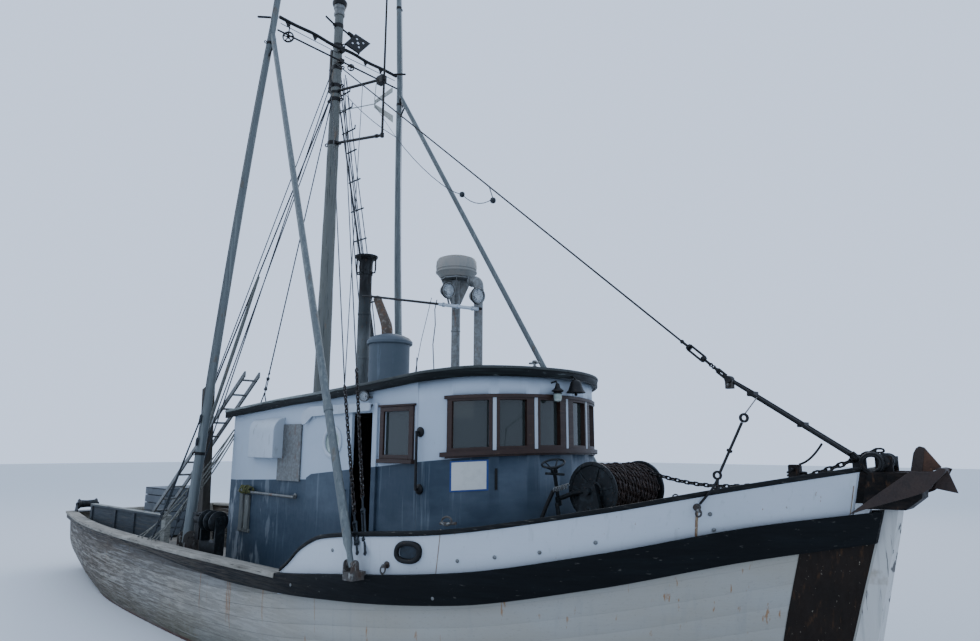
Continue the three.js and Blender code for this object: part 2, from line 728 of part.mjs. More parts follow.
// Side windows: a wooden frame and sill around the opening with its pane inside
const FRAME = { wide: 62, head: 50, thick: 26 };
const SIDE_SILL = { beyond: 75, low: 72, top: 32, thick: 48 };
const SIDE_GLASS = { beyond: 10, outer: 12, inner: 4 };
const wallFace = -HOUSE_HALF - SEAT_GAP;
const windowFrame = join(
  cut(block(
    SIDE_WINDOW.x0 - FRAME.wide, SIDE_WINDOW.x1 + FRAME.wide, wallFace - FRAME.thick, wallFace,
    SIDE_WINDOW.z0 - FRAME.wide, SIDE_WINDOW.z1 + FRAME.head,
  ), sideWindowHole(0)),
  block(
    SIDE_WINDOW.x0 - SIDE_SILL.beyond, SIDE_WINDOW.x1 + SIDE_SILL.beyond,
    wallFace - SIDE_SILL.thick, wallFace,
    SIDE_WINDOW.z0 - SIDE_SILL.low, SIDE_WINDOW.z0 - SIDE_SILL.top,
  ),
  block(
    SIDE_WINDOW.x0 - SIDE_GLASS.beyond, SIDE_WINDOW.x1 + SIDE_GLASS.beyond,
    wallFace - SIDE_GLASS.outer, wallFace - SIDE_GLASS.inner,
    SIDE_WINDOW.z0 - SIDE_GLASS.beyond, SIDE_WINDOW.z1 + SIDE_GLASS.beyond,
  ),
);
place('side_window_starboard', windowFrame, WARM_WOOD);
place('side_window_port', mirrored(windowFrame), WARM_WOOD);

// Sliding door that hangs outside the wall on its track
const doorInner = -HOUSE_HALF - DOOR_CLEAR;
const doorOuter = doorInner - DOOR_THICK;
const trackFace = -HOUSE_HALF - TRACK_DEEP;
place(
  'door_track',
  block(TRACK_X0, TRACK_X1, trackFace, wallFace, TRACK_LOW, TRACK_HIGH),
  WHITE_PAINT,
);
// Each hanger is a strap up the door's face that hooks over the track.
const HANGER = { half: 40, inset: 90, out: 5, clear: 6, overlap: 60, over: 12 };
const hanger = (x) => join(
  block(
    x - HANGER.half, x + HANGER.half, doorOuter - HANGER.out, trackFace - HANGER.clear,
    DOOR_HIGH - HANGER.overlap, TRACK_HIGH + HANGER.over,
  ),
  block(
    x - HANGER.half, x + HANGER.half, doorOuter - HANGER.out, doorInner,
    TRACK_HIGH + SKIN_GAP, TRACK_HIGH + HANGER.over,
  ),
);
const PORTHOLE_GLASS = { grow: 5, inner: 14, outer: 22 };
const portholeDisc = (radius, fromY, toY) => rod(
  [PORTHOLE_X, fromY, PORTHOLE_Z], [PORTHOLE_X, toY, PORTHOLE_Z], radius, radius, 24,
);
place('door', join(
  cut(
    block(DOOR_X0, DOOR_X1, doorOuter, doorInner, DOOR_LOW, DOOR_HIGH),
    portholeDisc(PORTHOLE_RADIUS, -1500, -1200),
  ),
  portholeDisc(
    PORTHOLE_RADIUS + PORTHOLE_GLASS.grow,
    doorInner - PORTHOLE_GLASS.inner, doorInner - PORTHOLE_GLASS.outer,
  ),
  hanger(DOOR_X0 + HANGER.inset),
  hanger(DOOR_X1 - HANGER.inset),
), WHITE_PAINT);

// Vent box of two rounded cowls, and a grey hatch panel on the starboard wall
const VENT_COWLS = [
  { x0: -600, x1: -264, deep: 85, z0: 2057, z1: 2540 },
  { x0: -265, x1: 125, deep: 160, z0: 2057, z1: 2556 },
];
// The rounded top edge of a cowl, as shares of its depth and of its height.
const COWL_ROUND = [[0.72, 0], [0.9, 0.012], [0.97, 0.06], [1, 0.144]];
const cowl = ({ x0, x1, deep, z0, z1 }) => plateYZ([
  [wallFace, z0],
  [wallFace, z1],
  ...COWL_ROUND.map(([out, down]) => [wallFace - deep * out, z1 - down * (z1 - z0)]),
  [wallFace - deep, z0],
], x0, x1);
const HATCH_PANEL = { x0: 20, x1: 515, z0: 1790, z1: 2465, thick: 22 };
const hatchPanel = (grow) => block(
  HATCH_PANEL.x0 - grow, HATCH_PANEL.x1 + grow, wallFace - HATCH_PANEL.thick - grow, wallFace + grow,
  HATCH_PANEL.z0 - grow, HATCH_PANEL.z1 + grow,
);
place('vent_box', cut(join(...VENT_COWLS.map(cowl)), hatchPanel(SEAT_GAP)), WHITE_PAINT);
place('wall_hatch', hatchPanel(0), GALVANISED);

// Gear on the roof
function standOnRoof(geometry) {
  return cut(geometry, ROOF_TOP_SPACE);
}
const STACK_X = -50;
const STACK_RADIUS = 90;
// Outlines of turned pieces give a radius and a height for each corner, from the foot up.
const UNDER_ROOF = 2700;
const STACK_PIPE = [
  [0, UNDER_ROOF], [150, UNDER_ROOF], [150, 2930], [STACK_RADIUS, 2960], [STACK_RADIUS, 4700], [0, 4700],
];
const STACK_CAP = [
  [0, 4640], [STACK_RADIUS + 2, 4640], [STACK_RADIUS + 2, 4690], [150, 4696], [150, 4714], [95, 4720],
  [95, 4840], [120, 4880], [165, 4905], [165, 4930], [0, 4930],
];
place('exhaust_stack', join(
  standOnRoof(turned(STACK_PIPE, STACK_X, 0)),
  turned(STACK_CAP, STACK_X, 0),
), DARK_STEEL);
const TANK_X = 530;
const TANK_DRUM = [
  [0, UNDER_ROOF], [295, UNDER_ROOF], [295, 3560],
  [332, 3570], [332, 3615], [290, 3660], [120, 3715], [0, 3720],
];
// The bent vent pipe on the tank's lid: a short upright and a longer leaning length.
const TANK_PIPES = [
  { from: [440, 0, 3660], to: [415, 0, 3850], radius: 78, end: 72 },
  { from: [427, 0, 3810], to: [190, 0, 4265], radius: 60, end: 56 },
];
place('water_tank', join(
  standOnRoof(turned(TANK_DRUM, TANK_X, 0, 24)),
  ...TANK_PIPES.map(({ from, to, radius, end }) => rod(from, to, radius, end)),
), GALVANISED);
const RADAR_X = 1720;
const RADAR_Y = 60;
const ROOF_POST = { radius: 55, low: 2850, top: 4200 };
const roofPost = (x) => standOnRoof(rod(
  [x, RADAR_Y, ROOF_POST.low], [x, RADAR_Y, ROOF_POST.top], ROOF_POST.radius, ROOF_POST.radius, 16,
));
const RADAR_SEAT = [[0, 4150], [60, 4150], [190, 4290], [190, 4310], [0, 4310]];
// The long bar from the stack past the posts, and the short link that holds it to the radar post.
const LAMP_BAR = { y: -120, aft: [120, 4290], fore: [2250, 3830], radius: 16 };
const BAR_LINK = { from: [RADAR_X, RADAR_Y, 3960], to: [RADAR_X, LAMP_BAR.y - 10, 3945], radius: 22 };
place('radar_post', join(
  roofPost(RADAR_X),
  turned(RADAR_SEAT, RADAR_X, RADAR_Y, 16),
  rod(
    [LAMP_BAR.aft[0], LAMP_BAR.y, LAMP_BAR.aft[1]], [LAMP_BAR.fore[0], LAMP_BAR.y, LAMP_BAR.fore[1]],
    LAMP_BAR.radius, LAMP_BAR.radius, 8,
  ),
  rod(BAR_LINK.from, BAR_LINK.to, BAR_LINK.radius, BAR_LINK.radius, 8),
), GALVANISED);
const RADOME_BASE = 4310 + SEAT_GAP;
const RADOME = [
  [0, RADOME_BASE], [215, RADOME_BASE], [255, 4345], [262, 4440],
  [250, 4520], [190, 4575], [80, 4592], [0, 4595],
];
place('radome', turned(RADOME, RADAR_X, RADAR_Y, 24), WHITE_PAINT);
const VENT_POST_X = 2110;
const VENT_HEAD = { low: 4180, top: 4290, radius: 66 };
place('vent_post', join(
  roofPost(VENT_POST_X),
  rod(
    [VENT_POST_X, RADAR_Y, VENT_HEAD.low], [VENT_POST_X, RADAR_Y, VENT_HEAD.top],
    VENT_HEAD.radius, VENT_HEAD.radius, 16,
  ),
), GALVANISED);

// Mast with its crosstree and pipe frame
const mastBase = [MAST_X, 0, MAST_FOOT];
const mastHead = [MAST_X, 0, MAST_TOP];
place('mast', join(
  standOnRoof(rod(mastBase, mastHead, MAST_RADIUS, MAST_TIP_RADIUS, 16)),
  rod(
    [MAST_X, 0, MAST_TOP - MAST_CAP.overlap], [MAST_X, 0, MAST_TOP + MAST_CAP.high],
    MAST_CAP.radius, MAST_CAP.radius, 16,
  ),
), OLD_WOOD);
const MAST_SPACE = rod(mastBase, mastHead, MAST_RADIUS + SEAT_GAP, MAST_TIP_RADIUS + SEAT_GAP, 16);
const poleAxis = BRACE_HEEL.clone().sub(POLE_HEEL).normalize();
const poleRun = POLE_MEET.clone().sub(POLE_HEEL);
const poleShare = (z) => (z - POLE_HEEL.z) / poleRun.z;
const poleRadiusAt = (z) => THREE.MathUtils.mapLinear(
  z, POLE_HEEL.z, POLE_TOP_Z, POLE_RADIUS, POLE_TIP_RADIUS,
);
const POLE_CLEAR = 12;
/** A level bar between the poles at a height, clear of both. */
function betweenPoles(z, radius, sides) {
  const half = POLE_HEEL.y + poleRun.y * poleShare(z) - poleRadiusAt(z) - POLE_CLEAR;
  return rod([CROSSTREE.x, -half, z], [CROSSTREE.x, half, z], radius, radius, sides);
}
place('crosstree', join(
  betweenPoles(CROSSTREE.z, CROSSTREE.radius, 10),
  betweenPoles(CROSSTREE.rodZ, CROSSTREE.rodRadius, 8),
  cut(
    block(
      MAST_X - 20, CROSSTREE.x + 20, -CROSSTREE.blockHalf, CROSSTREE.blockHalf,
      CROSSTREE.rodZ - 25, CROSSTREE.z + 45,
    ),
    MAST_SPACE,
  ),
), GALVANISED);
const PIPE = { x: 195, top: 10600, radius: 19, tip: 12, below: 20 };
const PIPE_ARM = { radius: 22, mastX: MAST_X + 40 };
const PIPE_ARMS = [{ mast: 6980, pipe: 6740 }, { mast: 7890, pipe: 7650 }];
place('mast_pipe', join(
  ...PIPE_ARMS.map(({ mast, pipe }) => cut(
    rod([PIPE_ARM.mastX, 0, mast], [PIPE.x, 0, pipe], PIPE_ARM.radius, PIPE_ARM.radius, 8),
    MAST_SPACE,
  )),
  rod([PIPE.x, 0, PIPE_ARMS[0].pipe - PIPE.below], [PIPE.x, 0, PIPE.top], PIPE.radius, PIPE.tip, 8),
), GALVANISED);

// Trolling poles with their braces and heel brackets, which lie on the turning line
const heelTurn = new THREE.Matrix4().makeBasis(
  poleAxis,
  new THREE.Vector3(-poleAxis.y, poleAxis.x, 0).normalize(),
  poleAxis.clone().cross(new THREE.Vector3(-poleAxis.y, poleAxis.x, 0).normalize()),
);
const onHeel = (geometry, heel) => geometry.applyMatrix4(heelTurn).translate(...heel.toArray());
const CHEEK = 14;
const CHEEK_STEPS = 6;
/** Two round-topped cheeks on a base, with the pin between them, about the pin's middle. */
function heelBracket({ inner, top, drop, half, inboard, foot }) {
  const arc = Array.from({ length: CHEEK_STEPS + 1 }, (unused, i) => {
    const angle = (Math.PI * i) / CHEEK_STEPS;
    return [top * Math.cos(angle), top * Math.sin(angle)];
  });
  const cheek = (x) => plateYZ([[-half, -drop - 2], [half, -drop - 2], ...arc], x, x + CHEEK);
  return join(
    block(-inner - CHEEK, inner + CHEEK, -inboard, half, -drop - foot, -drop),
    cheek(-inner - CHEEK),
    cheek(inner),
    rod([-inner - 5, 0, 0], [inner + 5, 0, 0], PIN_RADIUS, PIN_RADIUS, 16),
  );
}
const bore = (heel) => rod(
  heel.clone().addScaledVector(poleAxis, -200).toArray(),
  heel.clone().addScaledVector(poleAxis, 200).toArray(), PIN_BORE, PIN_BORE, 16,
);
const HEEL_LENGTH = 60;
const poleTop = POLE_HEEL.clone().addScaledVector(poleRun, poleShare(POLE_TOP_Z));
const poleFoot = POLE_HEEL.clone().addScaledVector(poleRun.clone().normalize(), -HEEL_LENGTH);
const poleBar = rod(poleFoot.toArray(), poleTop.toArray(), POLE_RADIUS, POLE_TIP_RADIUS, 16);
const poleSpace = rod(poleFoot.toArray(), poleTop.toArray(), POLE_RADIUS + 1, POLE_TIP_RADIUS + 1, 16);
const braceEnd = new THREE.Vector3(POLE_MEET.x, POLE_MEET.y, POLE_MEET.z - BRACE_DROP);
const braceDir = braceEnd.clone().sub(BRACE_HEEL).normalize();
// Radius of the brace at each length from its pin: a slim neck between the cheeks, then the bar.
const braceBar = spindle(BRACE_HEEL.toArray(), braceDir, [
  [BRACE_NECK, -32],
  [BRACE_NECK, 115],
  [BRACE_RADIUS, 185],
  [BRACE_RADIUS * 0.9, BRACE_HEEL.distanceTo(braceEnd)],
]);
const poleTube = cut(poleBar, bore(POLE_HEEL));
const braceTube = cut(braceBar, bore(BRACE_HEEL), poleSpace);
const POLE_BRACKET = { inner: POLE_RADIUS + 14, top: 95, drop: 116, half: 95, inboard: 95, foot: 320 };
const BRACE_BRACKET = { inner: 58, top: 36, drop: 62, half: 40, inboard: 100, foot: 70 };
const poleStep = cut(onHeel(heelBracket(POLE_BRACKET), POLE_HEEL), DECK_SPACE);
const braceStep = cut(
  onHeel(heelBracket(BRACE_BRACKET), BRACE_HEEL),
  strake((station) => guardRing(station, GUARD_OUT + SKIN_GAP, SEAT_GAP), 1, RAISED_START, BOW_X),
);
for (const [name, geometry, material] of [
  ['trolling_pole', poleTube, GALVANISED],
  ['pole_brace', braceTube, GALVANISED],
  ['pole_step', poleStep, RUSTY_STEEL],
  ['brace_step', braceStep, RUSTY_STEEL],
]) {
  place(`${name}_port`, geometry, material);
  place(`${name}_starboard`, mirrored(geometry), material);
}

// Main stays: two shrouds to the after rails here, the forestay to the bow head below
const SHROUD = {
  mastY: 20, mastZ: 7980, footX: -1700, footY: 2050, sunk: 30, wire: 9, screw: 22, eye: 14,
};
const shroudTop = new THREE.Vector3(MAST_X, SHROUD.mastY, SHROUD.mastZ);
const shroudFoot = new THREE.Vector3(SHROUD.footX, SHROUD.footY, AFT_CAP_TOP - SHROUD.sunk);
const shroudDir = shroudTop.clone().sub(shroudFoot).normalize();
// Radius at each length from the rail: an eye, the turnbuckle and the wire.
const shroudProfile = [
  [SHROUD.eye, 0],
  [SHROUD.eye, 130],
  [SHROUD.screw, 150],
  [SHROUD.screw, 420],
  [SHROUD.wire, 450],
  [SHROUD.wire, shroudFoot.distanceTo(shroudTop)],
];
const REACH = 200;
const railSpace = block(
  SHROUD.footX - REACH, SHROUD.footX + REACH, SHROUD.footY - REACH, SHROUD.footY + REACH,
  AFT_CAP_TOP - REACH, AFT_CAP_TOP + SEAT_GAP,
);
const shroud = cut(
  spindle(shroudFoot.toArray(), shroudDir, shroudProfile, 8), MAST_SPACE, railSpace,
);
place('shroud_port', shroud, DARK_STEEL);
place('shroud_starboard', mirrored(shroud), DARK_STEEL);

// Rudder on its stock, over the keel's shoe
const rudderTopZ = bottomHeight(RUDDER_X + RUDDER_STOCK) - 1;
place('rudder', join(
  rod([RUDDER_X, 0, SHOE_TOP + SEAT_GAP], [RUDDER_X, 0, rudderTopZ], RUDDER_STOCK, RUDDER_STOCK, 16),
  plateXZ([
    [RUDDER_X + 70, SHOE_TOP + 12],
    [RUDDER_X + 70, RUDDER_TOP - 120],
    [RUDDER_X, RUDDER_TOP],
    [RUDDER_TAIL_X + 60, RUDDER_TOP + 20],
    [RUDDER_TAIL_X, RUDDER_TOP - 60],
    [RUDDER_TAIL_X + 30, SHOE_TOP + 12],
  ], -RUDDER_THICK / 2, RUDDER_THICK / 2),
), OLD_WOOD);

// Propeller with four blades on its shaft
const BLADES = 4;
const BLADE_HALF_THICK = 10;
const BLADE_RAKE = 0.6;
const BLADE_ROWS = [
  { radius: 50, chord: 120, pitch: 62 },
  { radius: 150, chord: 210, pitch: 45 },
  { radius: 250, chord: 220, pitch: 33 },
  { radius: PROPELLER_RADIUS - 10, chord: 120, pitch: 27 },
];
function blade(turn) {
  const rings = BLADE_ROWS.map(({ radius, chord, pitch }) => {
    const angle = THREE.MathUtils.degToRad(pitch);
    const section = [
      [-chord / 2, 0], [0, BLADE_HALF_THICK], [chord / 2, 0], [0, -BLADE_HALF_THICK],
    ];
    return section.map(([along, across]) => [
      along * Math.sin(angle) * BLADE_RAKE + across * Math.cos(angle),
      along * Math.cos(angle) - across * Math.sin(angle),
      radius,
    ]);
  });
  return loft(rings).rotateX(turn).translate(PROPELLER_X, 0, SHAFT_Z);
}
const blades = Array.from({ length: BLADES }, (unused, i) => blade((i * 2 * Math.PI) / BLADES));
// Shaft, hub and cone, each from one place on the shaft line to another.
const SHAFT_PARTS = [
  { from: DEADWOOD_END_X - SKIN_GAP, to: PROPELLER_X - 60, radius: 32, end: 32 },
  { from: PROPELLER_X + 70, to: PROPELLER_X - 70, radius: 70, end: 60 },
  { from: PROPELLER_X - 69, to: PROPELLER_X - 150, radius: 55, end: 20 },
];
place('propeller', join(
  ...SHAFT_PARTS.map(({ from, to, radius, end }) => rod(
    [from, 0, SHAFT_Z], [to, 0, SHAFT_Z], radius, end, 16,
  )),
  ...blades,
), BRONZE);

// Anchor winch on the foredeck: two frames carry the drum's shaft
const WINCH = {
  x: 4060, z: 1800, half: 430, flange: 270, rim: 25, drum: 185, shaft: 32, bore: 33, shaftEnd: 550,
};
// Each frame is an A of plate: half widths at its foot, inside its foot and at its head.
const A_FRAME = { y: 485, half: 25, foot: 300, inside: 210, head: 70, crotch: 150 };
const SILL = { near: 200, far: 290, half: 510, high: 60 };
const UNDER_DECK = 900;
const winchLeg = (side) => cut(
  plateXZ([
    [WINCH.x - A_FRAME.foot, UNDER_DECK],
    [WINCH.x - A_FRAME.head, WINCH.z + A_FRAME.head],
    [WINCH.x + A_FRAME.head, WINCH.z + A_FRAME.head],
    [WINCH.x + A_FRAME.foot, UNDER_DECK],
    [WINCH.x + A_FRAME.inside, UNDER_DECK],
    [WINCH.x, WINCH.z - A_FRAME.crotch],
    [WINCH.x - A_FRAME.inside, UNDER_DECK],
  ], side * A_FRAME.y - A_FRAME.half, side * A_FRAME.y + A_FRAME.half),
  DECK_SPACE,
);
const winchSill = (x0, x1) => cut(
  block(x0, x1, -SILL.half, SILL.half, UNDER_DECK, deckHeight(x1) + SILL.high),
  DECK_SPACE,
);
const winchRod = (fromY, toY, radius, sides) => rod(
  [WINCH.x, fromY, WINCH.z], [WINCH.x, toY, WINCH.z], radius, radius, sides,
);
place('winch_frame', cut(
  join(
    winchLeg(-1),
    winchLeg(1),
    winchSill(WINCH.x - SILL.far, WINCH.x - SILL.near),
    winchSill(WINCH.x + SILL.near, WINCH.x + SILL.far),
  ),
  winchRod(-900, 900, WINCH.bore, 16),
), DARK_STEEL);
place('winch_drum', join(
  winchRod(-WINCH.shaftEnd, WINCH.shaftEnd, WINCH.shaft, 16),
  winchRod(-WINCH.half, -WINCH.half + WINCH.rim, WINCH.flange, 24),
  winchRod(WINCH.half - WINCH.rim, WINCH.half, WINCH.flange, 24),
  winchRod(-WINCH.half, WINCH.half, WINCH.drum, 20),
), DARK_STEEL);

// Bow head on top of the stem, with the anchor roller between its cheeks
const endStation = stations.find(({ railX }) => railX === BULWARK_END);
const headAft = (z) => skin(endStation, z)[0] + SEAT_GAP;
const HEAD_PLAN = [
  { low: headAft(HEAD_LOW), top: headAft(HEAD_TOP), half: 235, drop: 0 },
  { low: BOW_X, top: BOW_X + 60, half: 150, drop: 0 },
  { low: 6560, top: 6590, half: 125, drop: 0 },
  { low: HEAD_TIP_X - 20, top: HEAD_TIP_X, half: 105, drop: 90 },
];
const APRON = { x0: 6150, half: 78, low: 1790 };
const ROLLER = { x: 6440, radius: 66, half: 62, pin: 12.5, pinHalf: 96, bore: 13.1, clear: 8 };
const ROLLER_Z = HEAD_TOP + ROLLER.radius + ROLLER.clear;
const ROLLER_CHEEK = { along: 60, inner: 68, outer: 92, below: 30, above: 42 };
const rollerRod = (half, radius) => rod(
  [ROLLER.x, -half, ROLLER_Z], [ROLLER.x, half, ROLLER_Z], radius, radius, 16,
);
const rollerCheek = block(
  ROLLER.x - ROLLER_CHEEK.along, ROLLER.x + ROLLER_CHEEK.along,
  ROLLER_CHEEK.inner, ROLLER_CHEEK.outer,
  HEAD_TOP - ROLLER_CHEEK.below, ROLLER_Z + ROLLER_CHEEK.above,
);
place('bow_head', cut(
  join(
    loft(HEAD_PLAN.map(({ low, top, half, drop }) => [
      [low, -half, HEAD_LOW + drop],
      [low, half, HEAD_LOW + drop],
      [top, half, HEAD_TOP],
      [top, -half, HEAD_TOP],
    ])),
    block(APRON.x0, BOW_X, -APRON.half, APRON.half, APRON.low, HEAD_TOP),
    rollerCheek,
    mirrored(rollerCheek),
  ),
  rollerRod(200, ROLLER.bore),
), BLACK_PAINT);
place('bow_roller', join(
  rollerRod(ROLLER.half, ROLLER.radius),
  rollerRod(ROLLER.pinHalf, ROLLER.pin),
), DARK_STEEL);

// Forestay: wire, turnbuckle and lower bars from the mast to the bow head
const STAY_TOP = new THREE.Vector3(MAST_X + 20, -70, 8385);
const STAY_KNUCKLE = new THREE.Vector3(5250, 0, 2800);
const STAY_FOOT = new THREE.Vector3(6270, 0, 2000);
const stayDir = STAY_TOP.clone().sub(STAY_KNUCKLE).normalize();
const STAY_BAR = 24;
// Radius at each length up from the knuckle: its eye, the turnbuckle and the wire.
const stayProfile = [
  [STAY_BAR, -30],
  [STAY_BAR, 60],
  [12, 90],
  [12, 180],
  [30, 220],
  [30, 560],
  [12, 600],
  [11, STAY_KNUCKLE.distanceTo(STAY_TOP)],
];
place('forestay', cut(
  join(
    spindle(STAY_KNUCKLE.toArray(), stayDir, stayProfile, 8),
    rod(STAY_KNUCKLE.toArray(), STAY_FOOT.toArray(), STAY_BAR, STAY_BAR, 8),
  ),
  MAST_SPACE,
  block(APRON.x0 - 50, BOW_X, -200, 200, 1500, HEAD_TOP + SEAT_GAP),
), DARK_STEEL);

// Anchor: the shank lies over the roller and two broad flukes hang beside the stem
const SHANK = { x0: 6310, bendX: 6640, half: 18, deep: 45 };
const SHANK_LOW = ROLLER_Z + ROLLER.radius + SKIN_GAP;
const CROWN = { x: 6765, z: 2035, radius: 38, half: 175 };
// Outline of a fluke from its tip along the upper edge to the crown and back.
const FLUKE = [
  [6252, 1737], [6367, 1836], [6483, 1930], [6617, 2041], [6719, 2049], [6805, 2082],
  [6847, 2054], [6770, 1936], [6698, 1872], [6588, 1828], [6397, 1785],
];
const FLUKE_THICK = 22;
const FLUKE_ROOT = { x: 6770, y: 150, spread: 0.54 };
function fluke(side) {
  const plate = plateXZ(FLUKE, -FLUKE_THICK / 2, FLUKE_THICK / 2);
  const points = plate.attributes.position;
  for (let i = 0; i < points.count; i += 1) {
    const out = FLUKE_ROOT.y + FLUKE_ROOT.spread * (FLUKE_ROOT.x - points.getX(i));
    points.setY(i, points.getY(i) + side * out);
  }
  return plate;
}
const PALM_HIGH = [[6612, 2046], [6695, 2222], [6800, 2070], [6768, 2020], [6700, 2042]];
const PALM_LOW = [[6755, 1940], [6895, 1903], [6848, 2056], [6765, 2060]];
const PALM_THICK = 20;
const palms = [
  plateXZ(PALM_HIGH, 95, 95 + PALM_THICK),
  plateXZ(PALM_LOW, 138, 138 + PALM_THICK),
];
place('anchor', join(
  plateXZ([
    [SHANK.x0, SHANK_LOW],
    [SHANK.bendX, SHANK_LOW],
    [CROWN.x - 20, CROWN.z - 20],
    [CROWN.x + 25, CROWN.z + 10],
    [SHANK.bendX + 50, SHANK_LOW + SHANK.deep],
    [SHANK.x0, SHANK_LOW + SHANK.deep],
  ], -SHANK.half, SHANK.half),
  rod([CROWN.x, -CROWN.half, CROWN.z], [CROWN.x, CROWN.half, CROWN.z], CROWN.radius, CROWN.radius),
  fluke(-1),
  fluke(1),
  ...palms,
  ...palms.map(mirrored),
), RUSTY_STEEL);

// Fish hatch on the after deck
const HATCH = { x0: -3700, x1: -2500, half: 620, top: 980, wall: 45, lid: 50, overhang: 30 };
const hatchBlock = (grow, low, high) => block(
  HATCH.x0 - grow, HATCH.x1 + grow, -HATCH.half - grow, HATCH.half + grow, low, high,
);
place('hatch_coaming', cut(
  hatchBlock(0, WALL_LOW, HATCH.top),
  hatchBlock(-HATCH.wall, 0, HATCH.top + 100),
  DECK_SPACE,
), OLD_WOOD);
place(
  'hatch_cover',
  hatchBlock(HATCH.overhang, HATCH.top + SEAT_GAP, HATCH.top + HATCH.lid),
  OLD_WOOD,
);

// Low plank walls of the fish bins, one each side of the after deck
const BIN = { x0: -5500, x1: -2500, y: 1500, top: 1215, wall: 32, cap: 95, capThick: 34, post: 40 };
const BIN_POSTS = [
  { x: -5500, wide: 80 },
  { x: -4460, wide: 80 },
  { x: -3700, wide: 80 },
  { x: -2800, wide: 300 },
];
const binBlock = (x0, x1, half, low, high) => block(x0, x1, BIN.y - half, BIN.y + half, low, high);
const binCapLow = BIN.top - BIN.capThick;
const binWall = cut(join(
  binBlock(BIN.x0, BIN.x1, BIN.wall / 2, WALL_LOW, binCapLow + 1),
  binBlock(BIN.x0, BIN.x1, BIN.cap / 2, binCapLow, BIN.top),
  ...BIN_POSTS.map(({ x, wide }) => binBlock(x, x + wide, BIN.post, WALL_LOW, binCapLow + 1)),
), DECK_SPACE);
place('deck_bin_port', binWall, OLD_WOOD);
place('deck_bin_starboard', mirrored(binWall), OLD_WOOD);

// Timber post that stands on the after deck and leans a little aft
const DECK_POST = { y: -1300, foot: [-1815, 600], top: [-1993, 3070], half: 82.5, thick: 55, slope: 60 };
place('deck_post', cut(plateXZ([
  [DECK_POST.foot[0] - DECK_POST.half, DECK_POST.foot[1]],
  [DECK_POST.foot[0] + DECK_POST.half, DECK_POST.foot[1]],
  [DECK_POST.top[0] + DECK_POST.half, DECK_POST.top[1]],
  [DECK_POST.top[0] - DECK_POST.half, DECK_POST.top[1] - DECK_POST.slope],
], DECK_POST.y - DECK_POST.thick, DECK_POST.y + DECK_POST.thick), DECK_SPACE), OLD_WOOD);

// Line gurdies inside the rail, one each side: three flanges on a shaft
const GURDY = {
  x: -640, y: 1760, z: 1290, flange: 125, flangeHalf: 10, apart: 140, core: 60, shaft: 22.5, bore: 23.3,
  shaftEnd: 215,
};
const GURDY_FRAME = { end: 200, leg: 30, half: 60, sill: 190, sillTop: 1050, above: 60 };
const gurdyRod = (from, to, radius, sides = 16) => rod(
  [GURDY.x + from, GURDY.y, GURDY.z], [GURDY.x + to, GURDY.y, GURDY.z], radius, radius, sides,
);
const gurdyBlock = (from, to, low, high) => block(
  GURDY.x + from, GURDY.x + to, GURDY.y - GURDY_FRAME.half, GURDY.y + GURDY_FRAME.half, low, high,
);
const gurdyTop = GURDY.z + GURDY_FRAME.above;
const gurdyFrame = cut(
  join(
    gurdyBlock(-GURDY_FRAME.sill, GURDY_FRAME.sill, WALL_LOW, GURDY_FRAME.sillTop),
    gurdyBlock(-GURDY_FRAME.end, GURDY_FRAME.leg - GURDY_FRAME.end, UNDER_DECK, gurdyTop),
    gurdyBlock(GURDY_FRAME.end - GURDY_FRAME.leg, GURDY_FRAME.end, UNDER_DECK, gurdyTop),
  ),
  DECK_SPACE,
  gurdyRod(-400, 400, GURDY.bore),
);
const gurdySpool = join(
  gurdyRod(-GURDY.shaftEnd, GURDY.shaftEnd, GURDY.shaft),
  ...[-GURDY.apart, 0, GURDY.apart].map((x) => gurdyRod(
    x - GURDY.flangeHalf, x + GURDY.flangeHalf, GURDY.flange, 20,
  )),
  gurdyRod(-GURDY.apart, GURDY.apart, GURDY.core),
);
place('gurdy_frame_port', gurdyFrame, DARK_STEEL);
place('gurdy_frame_starboard', mirrored(gurdyFrame), DARK_STEEL);
place('gurdy_spool_port', gurdySpool, GALVANISED);
place('gurdy_spool_starboard', mirrored(gurdySpool), GALVANISED);

export default group;
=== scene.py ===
import json
import math

import bpy
import numpy as np
from mathutils import Matrix, Vector

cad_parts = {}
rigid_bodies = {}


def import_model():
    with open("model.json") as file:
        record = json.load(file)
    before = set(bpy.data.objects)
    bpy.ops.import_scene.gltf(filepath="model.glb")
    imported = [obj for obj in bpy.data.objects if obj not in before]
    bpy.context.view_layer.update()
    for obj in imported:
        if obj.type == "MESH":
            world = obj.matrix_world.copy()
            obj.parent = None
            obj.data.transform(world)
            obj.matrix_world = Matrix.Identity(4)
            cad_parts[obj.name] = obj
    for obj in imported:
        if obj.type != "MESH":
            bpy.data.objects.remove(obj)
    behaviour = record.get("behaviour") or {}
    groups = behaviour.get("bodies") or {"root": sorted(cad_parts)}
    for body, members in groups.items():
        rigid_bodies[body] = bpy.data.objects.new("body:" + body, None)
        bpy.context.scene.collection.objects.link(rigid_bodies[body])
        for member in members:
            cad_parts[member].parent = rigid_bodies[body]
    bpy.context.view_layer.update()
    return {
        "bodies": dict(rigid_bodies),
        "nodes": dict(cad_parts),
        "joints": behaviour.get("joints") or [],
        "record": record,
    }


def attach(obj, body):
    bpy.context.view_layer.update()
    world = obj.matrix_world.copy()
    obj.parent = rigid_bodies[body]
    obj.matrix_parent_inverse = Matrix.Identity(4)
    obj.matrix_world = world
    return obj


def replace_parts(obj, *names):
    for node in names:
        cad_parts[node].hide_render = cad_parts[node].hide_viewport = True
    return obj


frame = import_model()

cad = frame["nodes"]

